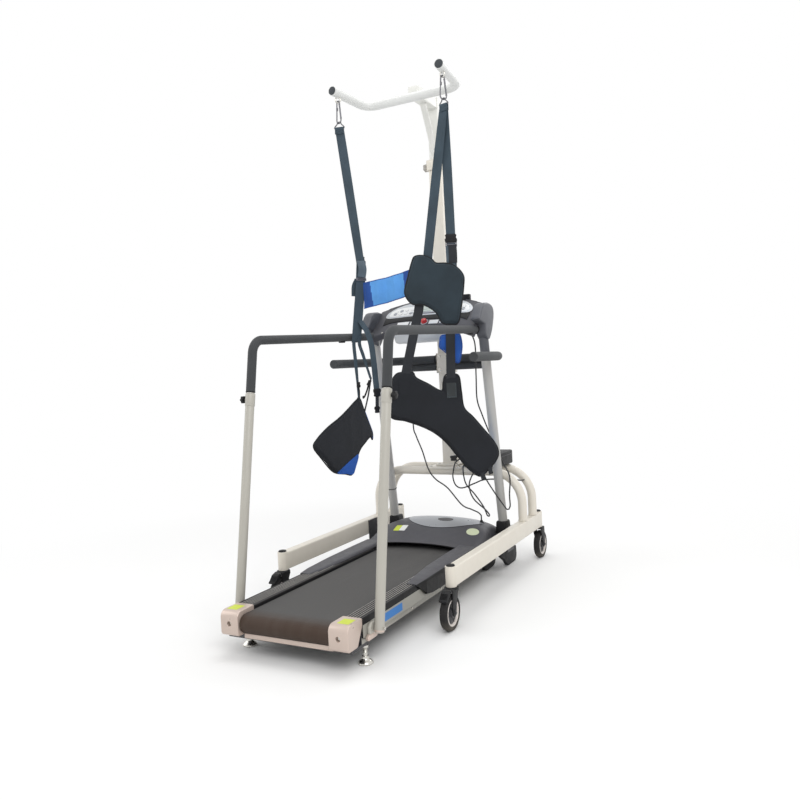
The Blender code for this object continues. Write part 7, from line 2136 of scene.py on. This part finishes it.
def turnedCorner(tree):
    # the lower corner turned out, so that its lining shows
    corner = outlineCurve(thigh["turnUp"], 0.010)
    x, y = [sum(spot[way] for spot in corner) / len(corner) for way in (0, 1)]
    points = [overPad(tree, thighPlane, thigh, x, y, 0.0022, 0.0065)]
    points += [overPad(tree, thighPlane, thigh, x + (a - x) * ring, y + (b - y) * ring, 0.0020, 0.0065)
               for ring in (0.35, 0.7, 1.0) for a, b in corner]
    mesh = meshOf("turnedCorner", points, fanFaces(len(corner), 3), 50)
    return thicken(newPiece("turnedCorner", mesh, None, liningRoyal), 0.0022, 0.0)


def buildThigh():
    tree, extras = buildPad("thigh_pad", thighPlane, thigh, padBlack, liningRoyal)
    edge = [onPlane(thighPlane, x, y, stationOut(thigh["out"], x) - 0.002) for x, y in thigh["edge"]]
    extras += [pathTube("liningEdge", smoothPath(edge, 0.006), 0.0052, liningNavy, False, 5), turnedCorner(tree)]
    heading = headingOf(thighPlane)
    facing, mid, foot = [Vector(leftStrap[key]) for key in ("facing", "mid", "foot")]
    rise, beside = unit(mid - foot), outOf(facing) * (leftStrap["lowThick"] / 2 + 0.0018)
    apex, side = onPlane(thighPlane, -0.006, 0.778), onPlane(thighPlane, 0.040, 0.728, -0.008)
    loose = Vector((-0.150, 0.112, 0.872))
    for along, low in ((-0.014, apex), (0.014, loose)):
        mouth, end = [foot + facing * along + beside + rise * up for up in (-0.010, 0.024)]
        points = [low, low.lerp(mouth, 0.35), low.lerp(mouth, 0.7), mouth, end]
        extras.append(webStrip("thighStrap", points, [heading] * 2 + [facing] * 3, 0.016, 0.0026, strapSlate))
    # the moulded hooks at the ends of the thin straps, and the thread-through strap below the loose one
    for top, low in ((apex + Vector((0.001, 0, 0.088)), apex + Vector((-0.002, 0, 0.008))),
                     (loose, Vector((-0.186, 0.108, 0.792)))):
        extras += sideBuckle(top.lerp(low, 0.22), heading, unit(low - top), 0.020, 0.024, 0.009)
        clip = [top.lerp(low, share) + heading * out
                for share, out in ((0.30, 0.0), (0.62, 0.004), (0.92, 0.002), (1.0, -0.004), (0.90, -0.009))]
        extras.append(pathTube("clipHook", smoothPath(clip, 0.005), 0.0036, blackPlastic, False, 5))
    run = [loose + Vector((0, 0.003, 0.004)), loose.lerp(side, 0.5) + Vector((0.003, 0, 0)), side,
           side - upward * 0.020]
    extras.append(webStrip("edgeStrap", run, [heading] * 4, 0.010, 0.0020, strapBlack))
    hang = [Vector(spot) for spot in thigh["looseStrap"]]
    extras.append(webStrip("looseStrap", hang, [facing] * len(hang), 0.028, 0.0024, strapSlate))
    tip, drop = hang[-1], Vector((-0.004, 0.0, -0.072))
    extras += sideBuckle(tip, facing, upward, 0.034, 0.034, 0.010)
    extras.append(webStrip("looseTip", [tip, tip + drop], [facing] * 2, 0.016, 0.0022, strapBlack))
    extras += sideBuckle(tip + drop, facing, upward, 0.024, 0.028, 0.010)
    gather("thigh_pad_straps_and_seams", extras, "lift", 50)


buildThigh()
print("harness pads are made")

# ---- the finishes of the CAD solids that show

nodeFinish = {
    "treadmill_frame": darkSteelPaint, "deck_board": boardLaminate, "running_belt": beltRubber,
    "rear_roller": brightZinc, "front_roller": brightZinc, "drive_belt": tyreRubber, "motor_pulley": brightZinc,
    "drive_motor": darkSteelPaint, "hood": hoodPlastic, "front_stand": blackPlastic, "foot_rail": railPlastic,
    "end_cap": capSilver, "levelling_foot": brightZinc, "post": warmGreyPaint, "handrail": gripFoam,
    "post_knob": blackPlastic, "upright": lightGreyPaint, "upright_boot": blackPlastic, "frame_leg": creamPaint,
    "snap_hook": brightZinc, "caster_fork": blackPlastic, "caster_wheel": tyreRubber, "brake_pedal": blackPlastic,
    "console_body": hoodPlastic, "console_panel": consoleSilver, "stop_button": stopRed, "arch_frame": creamPaint,
    "outer_column": creamPaint, "lift_column": creamPaint, "spreader_bar": creamPaint, "handle_frame": gripFoam,
    "column_knob": blackPlastic, "control_box": blackPlastic, "sling": strapSlate, "chest_pad": padSlate,
    "chest_band": liningBlue, "hip_pad": padBlack, "thigh_pad": padBlack, "cable": cableBlack,
}
for nodeName, solid in nodes.items():
    family = max((key for key in nodeFinish if nodeName.startswith(key)), key=len)
    if not solid.data.materials:
        solid.data.materials.append(nodeFinish[family])
    for place in solid.material_slots:
        place.material = nodeFinish[family]
print("CAD solids have their finishes")
